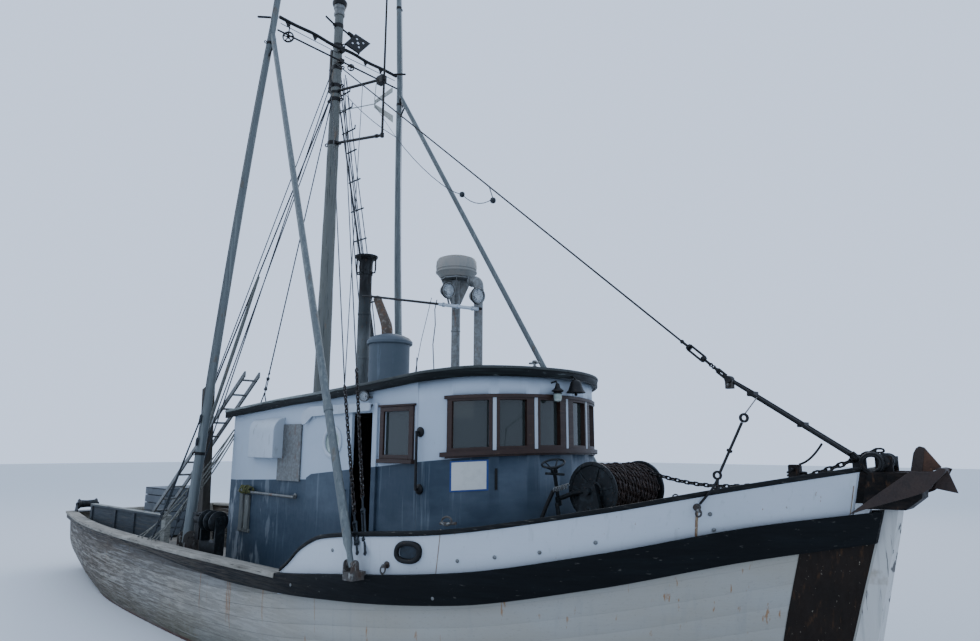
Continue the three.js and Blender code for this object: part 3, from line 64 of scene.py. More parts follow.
# ---- Camera, light and floor ----
# The eye stands on a low float ahead of the starboard bow, tipped up a little. Its place,
# turn and field of view were worked out from the boat's straight edges and known sizes.
EYE = (7.805, -5.984, 2.199)
EYE_TURN = math.radians(42.309)
EYE_PITCH = math.radians(10.41)
EYE_ROLL = math.radians(0.256)
LENS = 25.333

look = Vector((
    -math.sin(EYE_TURN) * math.cos(EYE_PITCH),
    math.cos(EYE_TURN) * math.cos(EYE_PITCH),
    math.sin(EYE_PITCH),
))
level = Vector((math.cos(EYE_TURN), math.sin(EYE_TURN), 0))
over = level.cross(look)
across = level * math.cos(EYE_ROLL) + over * math.sin(EYE_ROLL)
upward = over * math.cos(EYE_ROLL) - level * math.sin(EYE_ROLL)
camera = bpy.data.objects.new("camera", bpy.data.cameras.new("camera"))
camera.data.lens = LENS
camera.data.sensor_width = 36
camera.data.clip_end = 400
camera.matrix_world = Matrix([
    (across.x, upward.x, -look.x, EYE[0]),
    (across.y, upward.y, -look.y, EYE[1]),
    (across.z, upward.z, -look.z, EYE[2]),
    (0, 0, 0, 1),
])
bpy.context.scene.collection.objects.link(camera)
bpy.context.scene.camera = camera


def linear(code):
    """Linear colour of an sRGB hex code: v/12.92 in the darkest part, ((v+0.055)/1.055)^2.4 above."""
    part = [int(code[i:i + 2], 16) / 255 for i in (1, 3, 5)]
    return tuple(v / 12.92 if v <= 0.04045 else ((v + 0.055) / 1.055) ** 2.4 for v in part) + (1.0,)


def node(tree, kind, inputs, **settings):
    """Adds one shader node: its settings by name, its inputs as values or as other nodes' outputs."""
    made = tree.nodes.new("ShaderNode" + kind)
    for key, value in settings.items():
        setattr(made, key, value)
    for key, value in inputs.items():
        if isinstance(value, bpy.types.NodeSocket):
            tree.links.new(value, made.inputs[key])
        else:
            made.inputs[key].default_value = value
    return made.outputs


def plain(name, colour, values):
    """A finish of one colour without wear, with some of the shader's other values."""
    made = bpy.data.materials.new(name)
    made.use_nodes = True
    for socket, value in {"Base Color": linear(colour), **values}.items():
        made.node_tree.nodes["Principled BSDF"].inputs[socket].default_value = value
    return made


world = bpy.data.worlds.new("overcast")
world.use_nodes = True
sky = world.node_tree.nodes["Background"]
sky.inputs["Color"].default_value = linear("#cbddfa")
sky.inputs["Strength"].default_value = 1.5
bpy.context.scene.world = world
SOFT_LIGHTS = [
    # place, aimed at, size in metres, watts, colour
    ((-14, -12, 17), (0, 0, 3), 12, 700, "#ffffff"),
    ((14, -16, 9), (2, 0, 2), 12, 150, "#ffffff"),
    ((-6, 16, 14), (0, 0, 3), 12, 900, "#fff8ee"),
]
for place, aim, size, watts, colour in SOFT_LIGHTS:
    lamp = bpy.data.objects.new("soft_light", bpy.data.lights.new("soft_light", "AREA"))
    lamp.data.size = size
    lamp.data.energy = watts
    lamp.data.color = linear(colour)[:3]
    lamp.location = place
    lamp.rotation_euler = (Vector(aim) - Vector(place)).to_track_quat("-Z", "Y").to_euler()
    bpy.context.scene.collection.objects.link(lamp)

floor_mesh = bpy.data.meshes.new("floor")
floor_mesh.from_pydata([(-90, -90, 0), (90, -90, 0), (90, 90, 0), (-90, 90, 0)], [], [(0, 1, 2, 3)])
floor = bpy.data.objects.new("floor", floor_mesh)
bpy.context.scene.collection.objects.link(floor)
floor_mesh.materials.append(plain("pale_floor", "#c9cdd0", {"Roughness": 0.8}))

# ---- Hull planking ----
# Carvel planks of about 12 cm, nailed to the frames, caulked and painted white. The lower
# boards are under the water and carry red bottom paint; aft the paint has worn to the wood.
STEM = [(-1.0, 4.7), (-0.6, 5.5), (0.0, 5.9), (0.8, 6.135), (1.73, 6.41), (2.1, 6.5)]
STERN = [(-1.0, -4.7), (-0.6, -5.5), (-0.2, -6.3), (0.3, -6.75), (1.0, -6.95)]
BODY = [
    # rail x, half breadth, bottom, fullness, roundness, flare
    (-6.95, 1.4, -0.06, 3.0, 2.4, 0.02),
    (-6.0, 1.6, -0.26, 3.0, 2.2, 0.02),
    (-5.0, 1.8, -0.47, 3.0, 2.0, 0.02),
    (-3.5, 2.0, -0.76, 3.0, 1.9, 0.0),
    (-2.0, 2.1, -0.88, 3.0, 1.8, 0.0),
    (0.0, 2.17, -0.92, 3.0, 1.8, 0.0),
    (1.5, 2.17, -0.92, 3.0, 1.8, 0.0),
    (2.7, 2.1, -0.9, 2.8, 1.6, 0.03),
    (3.8, 1.86, -0.87, 2.5, 1.4, 0.12),
    (4.8, 1.42, -0.81, 2.2, 1.3, 0.25),
    (5.6, 0.88, -0.73, 1.8, 1.1, 0.35),
    (6.1, 0.42, -0.66, 1.4, 1.0, 0.25),
    (6.414, 0.09, -0.6, 1.2, 1.0, 0.0),
]
SHEER = [
    # rail x, deck, guard's lower edge, guard's top
    (-6.95, 0.7, 0.885, 0.95),
    (-3.5, 0.69, 0.89, 0.95),
    (-1.65, 0.695, 0.89, 0.95),
    (-0.3, 0.72, 0.845, 0.95),
    (0.7, 0.76, 0.81, 0.965),
    (1.6, 0.84, 0.825, 1.004),
    (2.4, 0.95, 0.86, 1.08),
    (3.75, 1.12, 0.96, 1.216),
    (4.8, 1.32, 1.155, 1.42),
    (5.74, 1.54, 1.385, 1.64),
    (6.414, 1.7, 1.51, 1.745),
]
RAISED = [
    # rail x, top of the raised cap rail
    (1.6, 1.05), (1.7, 1.12), (1.89, 1.285), (2.15, 1.4), (2.54, 1.452),
    (3.46, 1.53), (4.79, 1.757), (5.41, 1.892), (5.87, 1.99), (6.414, 2.105),
]
STERN_X, RAISED_X, BULWARK_X, BOW_X = -6.95, 1.6, 6.29, 6.414
KEEL_HALF = 0.09
DECK_BOARD = 0.04


def eased(table, column, at):
    """A table's column as a smooth curve: cubic pieces, each knot's slope the harmonic mean of its two sides."""
    rows = np.array(table, float)
    knots, values = rows[:, 0], rows[:, column]
    slopes = np.diff(values) / np.diff(knots)
    both = slopes[:-1] * slopes[1:]
    inner = np.where(both > 0, 2 * both / (slopes[:-1] + slopes[1:] + (both <= 0)), 0)
    tangents = np.concatenate(([slopes[0]], inner, [slopes[-1]]))
    at = np.clip(at, knots[0], knots[-1])
    i = np.clip(np.searchsorted(knots, at) - 1, 0, len(knots) - 2)
    span = knots[i + 1] - knots[i]
    t = (at - knots[i]) / span
    rise = values[i + 1] - values[i]
    start, end = tangents[i] * span, tangents[i + 1] * span
    return values[i] + start * t + (3 * rise - 2 * start - end) * t ** 2 + (start + end - 2 * rise) * t ** 3


def deck_at(rail_x):
    """Height of the deck at a frame."""
    return eased(SHEER, 1, rail_x)


def skin(rail_x, height, out=0.0):
    """Planking at a frame and height, starboard: half breadth grows from the keel as
    (1-(1-rise)^fullness)^(1/roundness), the flare adds above the deck joint, out moves it outward."""
    guard = eased(SHEER, 3, rail_x)
    stern, stem = eased(STERN, 1, guard), eased(STEM, 1, guard)
    share = np.clip((rail_x - stern) / (stem - stern), 0, 1)
    joint = deck_at(rail_x) - DECK_BOARD
    flare = eased(BODY, 5, rail_x)
    bottom = eased(BODY, 2, rail_x)
    breadth = np.maximum(eased(BODY, 1, rail_x) - flare * (guard - joint), KEEL_HALF)
    rise = np.clip((height - bottom) / (joint - bottom), 0, 1)
    swell = (1 - (1 - rise) ** eased(BODY, 3, rail_x)) ** (1 / eased(BODY, 4, rail_x))
    half = KEEL_HALF + (breadth - KEEL_HALF) * swell + np.maximum(height - joint, 0) * flare + out
    x = eased(STERN, 1, height) * (1 - share) + eased(STEM, 1, height) * share
    return np.stack(np.broadcast_arrays(x, -half, height), axis=-1)


def port(points):
    """The same points on the other side of the boat."""
    return points * (1, -1, 1)


def sheet_faces(rows, columns, round_rows=False, round_columns=False):
    """Four-sided faces of a grid, joined across its first and last row or column where that goes round."""
    i, j = np.meshgrid(
        np.arange(rows if round_rows else rows - 1),
        np.arange(columns if round_columns else columns - 1), indexing="ij",
    )
    k, l = (i + 1) % rows, (j + 1) % columns
    faces = np.stack([i * columns + j, i * columns + l, k * columns + l, k * columns + j], -1)
    return faces.reshape(-1, 4).tolist()


def piece(name, points, faces, finish, body="boat", slot=None, sharp=35, plank=None):
    """One named object of the boat from points and faces, smooth but for edges sharper than an angle. Its
    finish may read plank, three values for each point."""
    mesh = bpy.data.meshes.new(name)
    mesh.from_pydata(np.asarray(points, float).reshape(-1, 3).tolist(), [], faces)
    if plank is not None:
        mesh.attributes.new("plank", "FLOAT_VECTOR", "POINT").data.foreach_set("vector", plank.ravel())
    mesh.polygons.foreach_set("use_smooth", [True] * len(mesh.polygons))
    mesh.set_sharp_from_angle(angle=math.radians(sharp))
    mesh.update()
    mesh.materials.append(finish)
    made = bpy.data.objects.new(name, mesh)
    bpy.context.scene.collection.objects.link(made)
    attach(made, body)
    return made


def facing_out(points, faces, tested=None):
    """The faces, all turned round if the first of them enclose a negative volume about the shape's middle."""
    quads = np.array(faces[:tested])
    a, b, c = (points[quads[:, k]] - points.mean(0) for k in (0, 1, 2))
    inward = np.einsum("ij,ij->i", np.cross(a, b), c).sum() < 0
    return [face[::-1] for face in faces] if inward else faces


def loft(rings, paired=False):
    """Closed skin through rings of points, each going round, with flat ends: one face, or where the
    ring's halves mirror each other a ladder of faces between them. Returns points and faces."""
    rings = np.asarray(rings, float)
    rows, columns = rings.shape[:2]
    faces = sheet_faces(rows, columns, round_columns=True)
    end = [list(range(columns))]
    if paired:
        i = np.arange(columns // 2 - 1)
        end = np.stack([i, i + 1, columns - 2 - i, columns - 1 - i], -1).tolist()
    last = (rows - 1) * columns
    faces += [face[::-1] for face in end] + [[last + i for i in face] for face in end]
    points = rings.reshape(-1, 3)
    return points, facing_out(points, faces, last)


def weathered(name, base, layers, rough, metal=0.0, grain=0.02, relief=0.001, gloss=0.4):
    """A finish in layers: over its base colour each layer is a cloud pattern with cells of its own size, cut
    between two levels and laid on at its strength. The grain sets roughness and is raised by relief. Sizes are
    in metres, one for all three directions or one for each."""
    made = bpy.data.materials.new(name)
    made.use_nodes = True
    tree = made.node_tree
    shader = tree.nodes["Principled BSDF"]
    where = node(tree, "TexCoord", {})["Object"]
    colour = base(tree, where) if callable(base) else linear(base)
    for size, low, high, strength, code in layers:
        spread = node(tree, "Mapping", {"Vector": where, "Scale": tuple(1 / np.broadcast_to(size, 3))})[0]
        cloud = node(tree, "TexNoise", {"Vector": spread, "Scale": 1, "Detail": 5, "Roughness": 0.6})[0]
        amount = strength(tree, where) if callable(strength) else strength
        cover = node(tree, "MapRange", {
            "Value": cloud, "From Min": low, "From Max": high, "To Min": 0, "To Max": amount,
        })[0]
        colour = node(tree, "Mix", {0: cover, 6: colour, 7: linear(code)}, data_type="RGBA")[2]
    spread = node(tree, "Mapping", {"Vector": where, "Scale": tuple(1 / np.broadcast_to(grain, 3))})[0]
    fine = node(tree, "TexNoise", {"Vector": spread, "Scale": 1, "Detail": 4, "Roughness": 0.65})[0]
    dull = node(tree, "MapRange", {
        "Value": fine, "From Min": 0.3, "From Max": 0.7, "To Min": rough[0], "To Max": rough[1],
    })[0]
    raised = node(tree, "Bump", {"Height": fine, "Distance": relief, "Strength": 1.0})[0]
    tree.links.new(colour, shader.inputs["Base Color"])
    tree.links.new(dull, shader.inputs["Roughness"])
    tree.links.new(raised, shader.inputs["Normal"])
    shader.inputs["Metallic"].default_value = metal
    shader.inputs["Specular IOR Level"].default_value = gloss
    return made


def run_of(tree, where, axis, start, end, low=0.0, high=1.0):
    """A value that runs from low to high as one coordinate goes from start to end, and stays there beyond."""
    part = node(tree, "SeparateXYZ", {"Vector": where})[axis]
    return node(tree, "MapRange", {
        "Value": part, "From Min": start, "From Max": end, "To Min": low, "To Max": high,
    })[0]


def hull_colours(tree, where):
    """White above the water, a green and brown stain just over it, and red bottom paint below.
    Seams show as darker lines, faint forward and strong aft, at whole numbers of the plank count.
    The top strake aft is black, in line with the guard."""
    above = run_of(tree, where, "Z", 0.03, 0.05)
    stain = run_of(tree, where, "Z", 0.05, 0.42)
    colour = node(tree, "Mix", {
        0: stain, 6: linear("#565747"), 7: linear("#99968c"),
    }, data_type="RGBA")[2]
    colour = node(tree, "Mix", {0: above, 6: linear("#4a231d"), 7: colour}, data_type="RGBA")[2]
    count = node(tree, "SeparateXYZ", {
        "Vector": node(tree, "Attribute", {}, attribute_name="plank")["Vector"],
    })["Y"]
    apart = node(tree, "Math", {0: count, 1: 0.5, 2: 1}, operation="PINGPONG")[0]
    seam = node(tree, "MapRange", {
        "Value": apart, "From Min": 0.0, "From Max": 0.035,
        "To Min": run_of(tree, where, "X", 3.0, -3.0, 0.12, 0.75), "To Max": 0,
    })[0]
    colour = node(tree, "Mix", {0: seam, 6: colour, 7: linear("#3d3a34")}, data_type="RGBA")[2]
    high = node(tree, "SeparateXYZ", {"Vector": where})["Z"]
    for start, end, low, top in ((0.7, -2.5, 0.81, 0.755), (0.7, 0.9, 0, 2)):
        high = node(tree, "Math", {0: high, 1: run_of(tree, where, "X", start, end, low, top)}, operation="SUBTRACT")[0]
    band = node(tree, "MapRange", {"Value": high, "From Min": -0.005, "From Max": 0.005})[0]
    return node(tree, "Mix", {0: band, 6: colour, 7: linear("#231f1b")}, data_type="RGBA")[2]


def worn_aft(most, least=0.0):
    """Strength of a layer that grows from the forward quarter to the stern, where the wood is bare."""
    return lambda tree, where: run_of(tree, where, "X", 2.4, -4.5, least, most)


# Linseed paint on fir planks: chalky, dull, streaked by rain and rust, flaking along the grain.
hull_paint = weathered("white_paint_on_planks", hull_colours, [
    # cell size in metres, lower and upper level, strength, colour
    ((1.3, 1.3, 0.5), 0.42, 0.7, 0.35, "#9fa5a8"),
    ((0.09, 0.09, 1.6), 0.56, 0.72, 0.38, "#8a8c88"),
    ((0.05, 0.05, 2.2), 0.655, 0.69, 0.75, "#8c6335"),
    ((2.2, 2.2, 0.08), 0.26, 0.62, worn_aft(0.95), "#5e554a"),
    ((0.3, 0.3, 0.025), 0.44, 0.52, worn_aft(0.9), "#3d342a"),
    ((0.9, 0.9, 0.025), 0.58, 0.63, worn_aft(0.55, 0.0), "#a3a29b"),
    ((0.03, 0.03, 0.012), 0.6, 0.64, worn_aft(0.8, 0.1), "#241f1a"),
], (0.5, 0.8), grain=(0.25, 0.25, 0.02), relief=0.002, gloss=0.25)

PLANKS = 19
PLANK_GROWTH = 1.5    # above 1 the planks are narrower toward the keel
FINE_X = 5.0          # forward of this the frames are set closer
PLANK_MARKS = np.array([0, 0.03, 0.5, 0.97])    # seam, edge, crown and edge, as a share of the plank
hull_x = np.concatenate((np.linspace(STERN_X, FINE_X, 100), np.linspace(FINE_X, BOW_X, 40)[1:]))
marks = np.append((np.arange(PLANKS)[:, None] + PLANK_MARKS).ravel(), PLANKS)
seam_depth = np.interp(hull_x, [STERN_X, 0.0, 3.0], [0.006, 0.005, 0.0015])
face_height = np.select([marks % 1 == 0, marks % 1 == 0.5], [-1, 0.25], 0)
hull_low = eased(BODY, 2, hull_x)
hull_joint = deck_at(hull_x) - DECK_BOARD
side_z = hull_low[:, None] + (hull_joint - hull_low)[:, None] * (marks / PLANKS) ** PLANK_GROWTH
side = skin(hull_x[:, None], side_z, seam_depth[:, None] * face_height)
DECK_INSET, DECK_PLANK = 0.061, 0.02
shelf = skin(hull_x[:, None], np.stack([hull_joint, deck_at(hull_x) - DECK_PLANK], -1), -DECK_INSET)
shelf[:, :, 1] = side[:, -1:, 1] + DECK_INSET
half_ring = np.concatenate((side, shelf), axis=1)
hull_rings = np.concatenate((half_ring, port(half_ring)[:, ::-1]), axis=1)
plank_count = np.concatenate((marks, [PLANKS] * 4, marks[::-1]))
plank = np.zeros(hull_rings.shape, np.float32)
plank[..., 0], plank[..., 1] = hull_x[:, None], plank_count
hull = piece("hull_planking", *loft(hull_rings, paired=True), hull_paint, slot="white_paint", plank=plank)
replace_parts(hull, "hull")

# ---- Deck ----
# Fir deck boards about 9 cm wide, sprung along the sides and caulked, once painted grey and
# now mostly bare. They lie in the hull's top, so their upper faces are at the deck's height.
DECK_COLUMNS = 22
bare_deck = weathered("grey_fir_deck", "#77736b", [
    (0.8, 0.4, 0.65, 0.5, "#5d5a54"),
    ((0.6, 0.02, 0.2), 0.5, 0.7, 0.55, "#8d887d"),
    (0.25, 0.62, 0.7, 0.5, "#3f3d39"),
], (0.7, 0.95), grain=(0.3, 0.012, 0.3), relief=0.002)
deck_marks = np.append((np.arange(DECK_COLUMNS)[:, None] + PLANK_MARKS).ravel(), DECK_COLUMNS)
deck_share = deck_marks / DECK_COLUMNS * 2 - 1
deck_groove = np.where(deck_marks % 1 == 0, -0.006, 0.0)
deck_edge = half_ring[:, -1]
deck_top = np.stack([
    np.broadcast_to(deck_edge[:, :1], (len(hull_x), len(deck_share))),
    deck_edge[:, 1:2] * -deck_share,
    deck_at(hull_x)[:, None] + deck_groove,
], -1)
deck_under = deck_top[:, [-1, 0]].copy()
deck_under[..., 2] = deck_edge[:, 2:3] + 0.001
deck = piece(
    "deck_planks", *loft(np.concatenate((deck_top, deck_under), axis=1)), bare_deck, slot="old_wood", sharp=20,
)
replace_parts(deck, "hull")

# ---- Stem, keel and the chafe plate ----
# The stem is one white timber in front of the plank ends, checked along its grain by the sun.
# A rusty steel plate is screwed over the planking behind it, where the anchor knocks.
stem_paint = weathered("white_paint_on_checked_timber", "#c0c0bc", [
    ((0.06, 0.06, 0.9), 0.5, 0.62, 0.45, "#9a9c98"),
    ((0.03, 0.2, 0.5), 0.6, 0.63, 0.9, "#2f2a25"),
    (0.3, 0.6, 0.68, 0.5, "#8a7a62"),
], (0.5, 0.8), grain=(0.03, 0.03, 0.4), relief=0.004)
bottom_paint = weathered("red_bottom_paint", "#4a231d", [
    ((0.4, 0.4, 0.2), 0.45, 0.7, 0.6, "#35302a"),
], (0.7, 0.9), grain=0.05)
rusty_plate = weathered("rusty_sheet_steel", "#211a15", [
    ((0.25, 0.25, 0.5), 0.4, 0.65, 0.7, "#15120f"),
    ((0.05, 0.05, 0.3), 0.58, 0.7, 0.5, "#4d3520"),
    ((0.02, 0.02, 0.03), 0.68, 0.7, 0.8, "#8d8576"),
], (0.55, 0.8), metal=0.1, grain=(0.04, 0.04, 0.08), gloss=0.15)


def dress(finish, *names):
    """Gives CAD nodes their finish."""
    for name in names:
        cad[name].data.materials.clear()
        cad[name].data.materials.append(finish)


dress(stem_paint, "stem_post")
dress(bottom_paint, "keel", "rudder")


def panel(rail_from, rail_to, low, high, out, thick, columns=24, rows=8):
    """A plate bent over the planking between two frames and two heights, which may each vary with the frame."""
    rail = np.linspace(rail_from, rail_to, columns)[:, None]
    share = np.linspace(0, 1, rows)
    low, high = (h(rail) if callable(h) else h for h in (low, high))
    height = low + (high - low) * share
    return loft(np.concatenate((skin(rail, height, out), skin(rail, height, out - thick)[:, ::-1]), axis=1))


def guard_low(rail_x):
    """Lower edge of the dark guard at a frame."""
    return eased(SHEER, 2, rail_x)


def flipped(shape):
    """The same shape on the other side of the boat."""
    return port(np.asarray(shape[0]).reshape(-1, 3)), [face[::-1] for face in shape[1]]


both_sides = (("starboard", lambda shape: shape), ("port", flipped))
chafe_plate = panel(5.985, 6.4, -0.2, lambda rail: guard_low(rail) + 0.01, 0.006, 0.012)
for side, turned_over in both_sides:
    piece(f"chafe_plate_{side}", *turned_over(chafe_plate), rusty_plate, slot="rusty_steel")

# ---- Rails, guards and bulwarks ----
# Sawn timbers bent round the hull: a black painted guard, a raised white bulwark forward and
# a low one aft, each under a cap rail. Forward the paint holds; aft it has worn to grey wood.
guard_paint = weathered("black_paint_on_guard", "#080b0d", [
    ((0.5, 0.5, 0.06), 0.45, 0.7, 0.5, "#12171a"),
    ((0.08, 0.08, 0.02), 0.66, 0.69, 0.6, "#4b4a46"),
    ((0.35, 0.35, 0.012), 0.47, 0.55, worn_aft(0.85), "#5f564a"),
    ((0.2, 0.2, 0.02), 0.5, 0.6, worn_aft(0.8), "#3f372e"),
], (0.45, 0.7), grain=(0.2, 0.2, 0.015), relief=0.0015, gloss=0.12)
bulwark_paint = weathered("white_paint_on_bulwark", "#b7bec4", [
    ((1.1, 1.1, 0.5), 0.42, 0.7, 0.35, "#a3abb2"),
    ((0.05, 0.05, 0.9), 0.58, 0.74, 0.4, "#8f9392"),
    ((0.03, 0.03, 1.2), 0.69, 0.71, 0.8, "#8c6335"),
    (0.025, 0.7, 0.73, 0.7, "#5c564c"),
], (0.45, 0.7), grain=(0.2, 0.2, 0.03), relief=0.0012)
cap_paint = weathered("black_cap_rail", "#0c0e0f", [
    ((0.25, 0.25, 0.02), 0.56, 0.64, 0.4, "#3a3833"),
    ((0.1, 0.1, 0.01), 0.65, 0.68, 0.6, "#77736a"),
], (0.4, 0.7), grain=(0.2, 0.05, 0.02), relief=0.0015, gloss=0.2)
grey_cap = weathered("bare_grey_cap_rail", "#8b877d", [
    ((0.4, 0.03, 0.03), 0.45, 0.65, 0.7, "#5f594f"),
    ((0.2, 0.01, 0.02), 0.6, 0.66, 0.9, "#322e29"),
    (0.5, 0.55, 0.7, 0.5, "#b5b1a6"),
], (0.75, 0.95), grain=(0.3, 0.01, 0.01), relief=0.003)
CORNER_PULL = 0.29    # how far a rounded corner's middle point lies toward its two ends


def timber(outline, rail_x, rounding):
    """A long timber along the hull: its section is a ring of (out, height) corners that may vary along the
    frames, each corner cut back by rounding and eased with a middle point. Returns points and faces."""
    corners = np.stack([np.stack(np.broadcast_arrays(out, height, rail_x)[:2], -1) for out, height in outline], 1)
    before, after = np.roll(corners, 1, 1) - corners, np.roll(corners, -1, 1) - corners
    back = rounding * before / np.linalg.norm(before, axis=-1, keepdims=True)
    ahead = rounding * after / np.linalg.norm(after, axis=-1, keepdims=True)
    ring = np.stack((corners + back, corners + CORNER_PULL * (back + ahead), corners + ahead), 2)
    ring = ring.reshape(len(rail_x), -1, 2)
    return loft(skin(rail_x[:, None], ring[..., 1], ring[..., 0]))


aft_x = np.linspace(STERN_X, RAISED_X, 80)
fore_x = np.concatenate((np.linspace(RAISED_X, 2.4, 26), np.linspace(2.4, BOW_X, 70)[1:]))
wall_x = fore_x[fore_x <= BULWARK_X]
AFT_CAP_LOW, AFT_CAP_TOP = 0.955, 1.0
GUARD_OUT, GUARD_OUT_AFT, CAP_OUT_AFT, CAP_IN_AFT, WALL = 0.065, 0.06, 0.075, 0.11, 0.06
CAP_THICK, CAP_OUT, CAP_IN = 0.04, 0.015, 0.09


def joint_at(rail_x):
    """Height where the bulwark stands on the hull's edge."""
    return deck_at(rail_x) - DECK_BOARD


cap_z = eased(RAISED, 1, wall_x)
cap_low, guard_foot, guard_top = cap_z - CAP_THICK, guard_low(aft_x), eased(SHEER, 3, fore_x)
TIMBERS = [
    # name, section, frames, rounding, finish, slot, CAD node
    ("aft_bulwark_planks", [
        (0, joint_at(aft_x)), (0, guard_foot + 0.02), (-WALL, guard_foot + 0.02), (-WALL, joint_at(aft_x)),
    ], aft_x, 0.003, hull_paint, "old_wood", "rail_aft"),
    ("aft_guard", [
        (GUARD_OUT_AFT, guard_foot), (GUARD_OUT_AFT, AFT_CAP_LOW), (-WALL, AFT_CAP_LOW),
        (-WALL, guard_foot + 0.02), (0, guard_foot + 0.018), (0.002, guard_foot),
    ], aft_x, 0.004, guard_paint, "old_wood", "rail_aft"),
    ("aft_cap", [
        (CAP_OUT_AFT, AFT_CAP_LOW), (CAP_OUT_AFT, AFT_CAP_TOP), (-CAP_IN_AFT, AFT_CAP_TOP), (-CAP_IN_AFT, AFT_CAP_LOW),
    ], aft_x, 0.009, grey_cap, "old_wood", "rail_aft"),
    ("guard", [
        (GUARD_OUT, guard_low(fore_x)), (GUARD_OUT, guard_top), (0.0005, guard_top), (0.0005, guard_low(fore_x)),
    ], fore_x, 0.01, guard_paint, "black_paint", "guard_forward"),
    ("bulwark", [
        (0, joint_at(wall_x)), (0, cap_low), (-WALL, cap_low), (-WALL, joint_at(wall_x)),
    ], wall_x, 0.002, bulwark_paint, "white_paint", "bulwark_forward"),
    ("cap_rail", [
        (CAP_OUT, cap_low), (CAP_OUT, cap_z), (-CAP_IN, cap_z), (-CAP_IN, cap_low),
    ], wall_x, 0.009, cap_paint, "black_paint", "cap_forward"),
]
for side, turned_over in both_sides:
    for name, section, frames, rounding, finish, slot, stood_for in TIMBERS:
        made = piece(f"{name}_{side}", *turned_over(timber(section, frames, rounding)), finish, slot=slot)
        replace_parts(made, f"{stood_for}_{side}")
dress(grey_cap, "stern_rail")

# ---- Wheelhouse walls ----
# Tongue and groove boards under thick house paint, white above and slate blue below a line
# that climbs to the window sills. The front is one smooth curve, cut for six windows.
HOUSE_HALF, HOUSE_CURVE_X, HOUSE_FRONT_X, HOUSE_SQUARE, HOUSE_WALL = 1.3, 2.56, 3.45, 1.9, 0.05
INSIDE_Y, INSIDE_X = 1.254, -1.148


def front_point(angle, out=0.0):
    """Plan of the rounded front, moved outward: along is |cos|^(2/square), across is |sin|^(2/square)."""
    turn = np.radians(np.asarray(angle, float))
    power = 2 / HOUSE_SQUARE
    along = (HOUSE_FRONT_X - HOUSE_CURVE_X + out) * np.abs(np.cos(turn)) ** power
    across = (HOUSE_HALF + out) * np.abs(np.sin(turn)) ** power * np.sign(turn)
    return HOUSE_CURVE_X + along, -across


def house_colours(tree, where):
    """White over slate blue with a climbing line between, and brown boards on the inner faces of the side
    and after walls."""
    x, y, z = node(tree, "SeparateXYZ", {"Vector": where})
    line = run_of(tree, where, "X", -1.0, 0.65, 1.762, 1.82)
    for start, end, low, high in ((0.65, 0.8, 0, 0.067), (0.8, 2.85, 0, 0.19), (2.85, 3.45, 0, 0.065)):
        step = run_of(tree, where, "X", start, end, low, high)
        line = node(tree, "Math", {0: line, 1: step}, operation="ADD")[0]
    above = node(tree, "Math", {0: z, 1: line}, operation="SUBTRACT")[0]
    upper = node(tree, "MapRange", {"Value": above, "From Min": -0.003, "From Max": 0.003})[0]
    colour = node(tree, "Mix", {
        0: upper, 6: linear("#2a3947"), 7: linear("#aab5c0"),
    }, data_type="RGBA")[2]
    aside = node(tree, "Math", {0: y}, operation="ABSOLUTE")[0]
    within = node(tree, "Math", {0: aside, 1: INSIDE_Y}, operation="LESS_THAN")[0]
    for edge, way in ((INSIDE_X, "GREATER_THAN"), (HOUSE_CURVE_X - 0.002, "LESS_THAN")):
        beyond = node(tree, "Math", {0: x, 1: edge}, operation=way)[0]
        within = node(tree, "Math", {0: within, 1: beyond}, operation="MULTIPLY")[0]
    return node(tree, "Mix", {0: within, 6: colour, 7: linear("#4a2c1c")}, data_type="RGBA")[2]


house_paint = weathered("house_paint", house_colours, [
    ((1.6, 1.6, 0.7), 0.42, 0.7, 0.22, "#8a97a3"),
    ((0.07, 0.07, 1.3), 0.6, 0.75, 0.3, "#98a2a9"),
    ((0.12, 0.12, 0.5), 0.55, 0.62, lambda tree, where: run_of(tree, where, "X", 0.4, -1.2, 0.0, 0.55), "#a9b0b4"),
    (0.02, 0.72, 0.74, 0.6, "#3c3f40"),
], (0.42, 0.62), grain=(0.05, 0.05, 0.12), relief=0.0008, gloss=0.3)
cabin_panelling = weathered("varnished_cabin_boards", "#4a2c1c", [
    ((0.05, 0.05, 0.8), 0.45, 0.65, 0.6, "#2e1a10"),
], (0.35, 0.6), grain=(0.02, 0.02, 0.5), relief=0.0006)
dress(house_paint, "house_side_starboard", "house_side_port", "house_back")

ROOF_EDGE = [
    # x, height of the roof's edge
    (-1.29, 2.672), (0.1, 2.776), (1.0, 2.822), (1.85, 2.876), (2.82, 2.952), (3.17, 2.988), (3.6, 3.004),
]
ROOF_AFT_X, ROOF_OUT, ROOF_THICK, ROOF_CAMBER = -1.29, 0.07, 0.096, 0.11


def roof_height(x, y, half):
    """Top of the arched roof where its half breadth is half: the edge's height and a parabola over it."""
    full = HOUSE_HALF + ROOF_OUT
    return eased(ROOF_EDGE, 1, x) + ROOF_CAMBER * ((half / full) ** 2 - (y / full) ** 2)


def on_roof(x, y=0.0):
    """Top of the roof aft of where its front begins to round."""
    return roof_height(x, y, HOUSE_HALF + ROOF_OUT)


def wall_top(x, y):
    """Underside of the roof over a wall."""
    edge_x, edge_y = front_point(np.linspace(90, 0, 181), ROOF_OUT)
    half = np.interp(x, edge_x, -edge_y)
    return roof_height(x, y, np.maximum(half, np.abs(y))) - ROOF_THICK - 0.001


PANES = [(12.1, 13.4), (32.9, 14.4), (54.9, 19.8)]    # middle angle and width of each pane, in degrees
PANE_LOW, PANE_HIGH, BAND_RAKE, BAND_RAKE_X = 2.176, 2.643, 0.07, 2.85
BAND_LOW, BAND_HIGH, BAND_ANGLE = 2.105, 2.695, 68.3


def raked(x, height):
    """A height of the window band, which rises a little toward the front."""
    return height + BAND_RAKE * (x - BAND_RAKE_X)


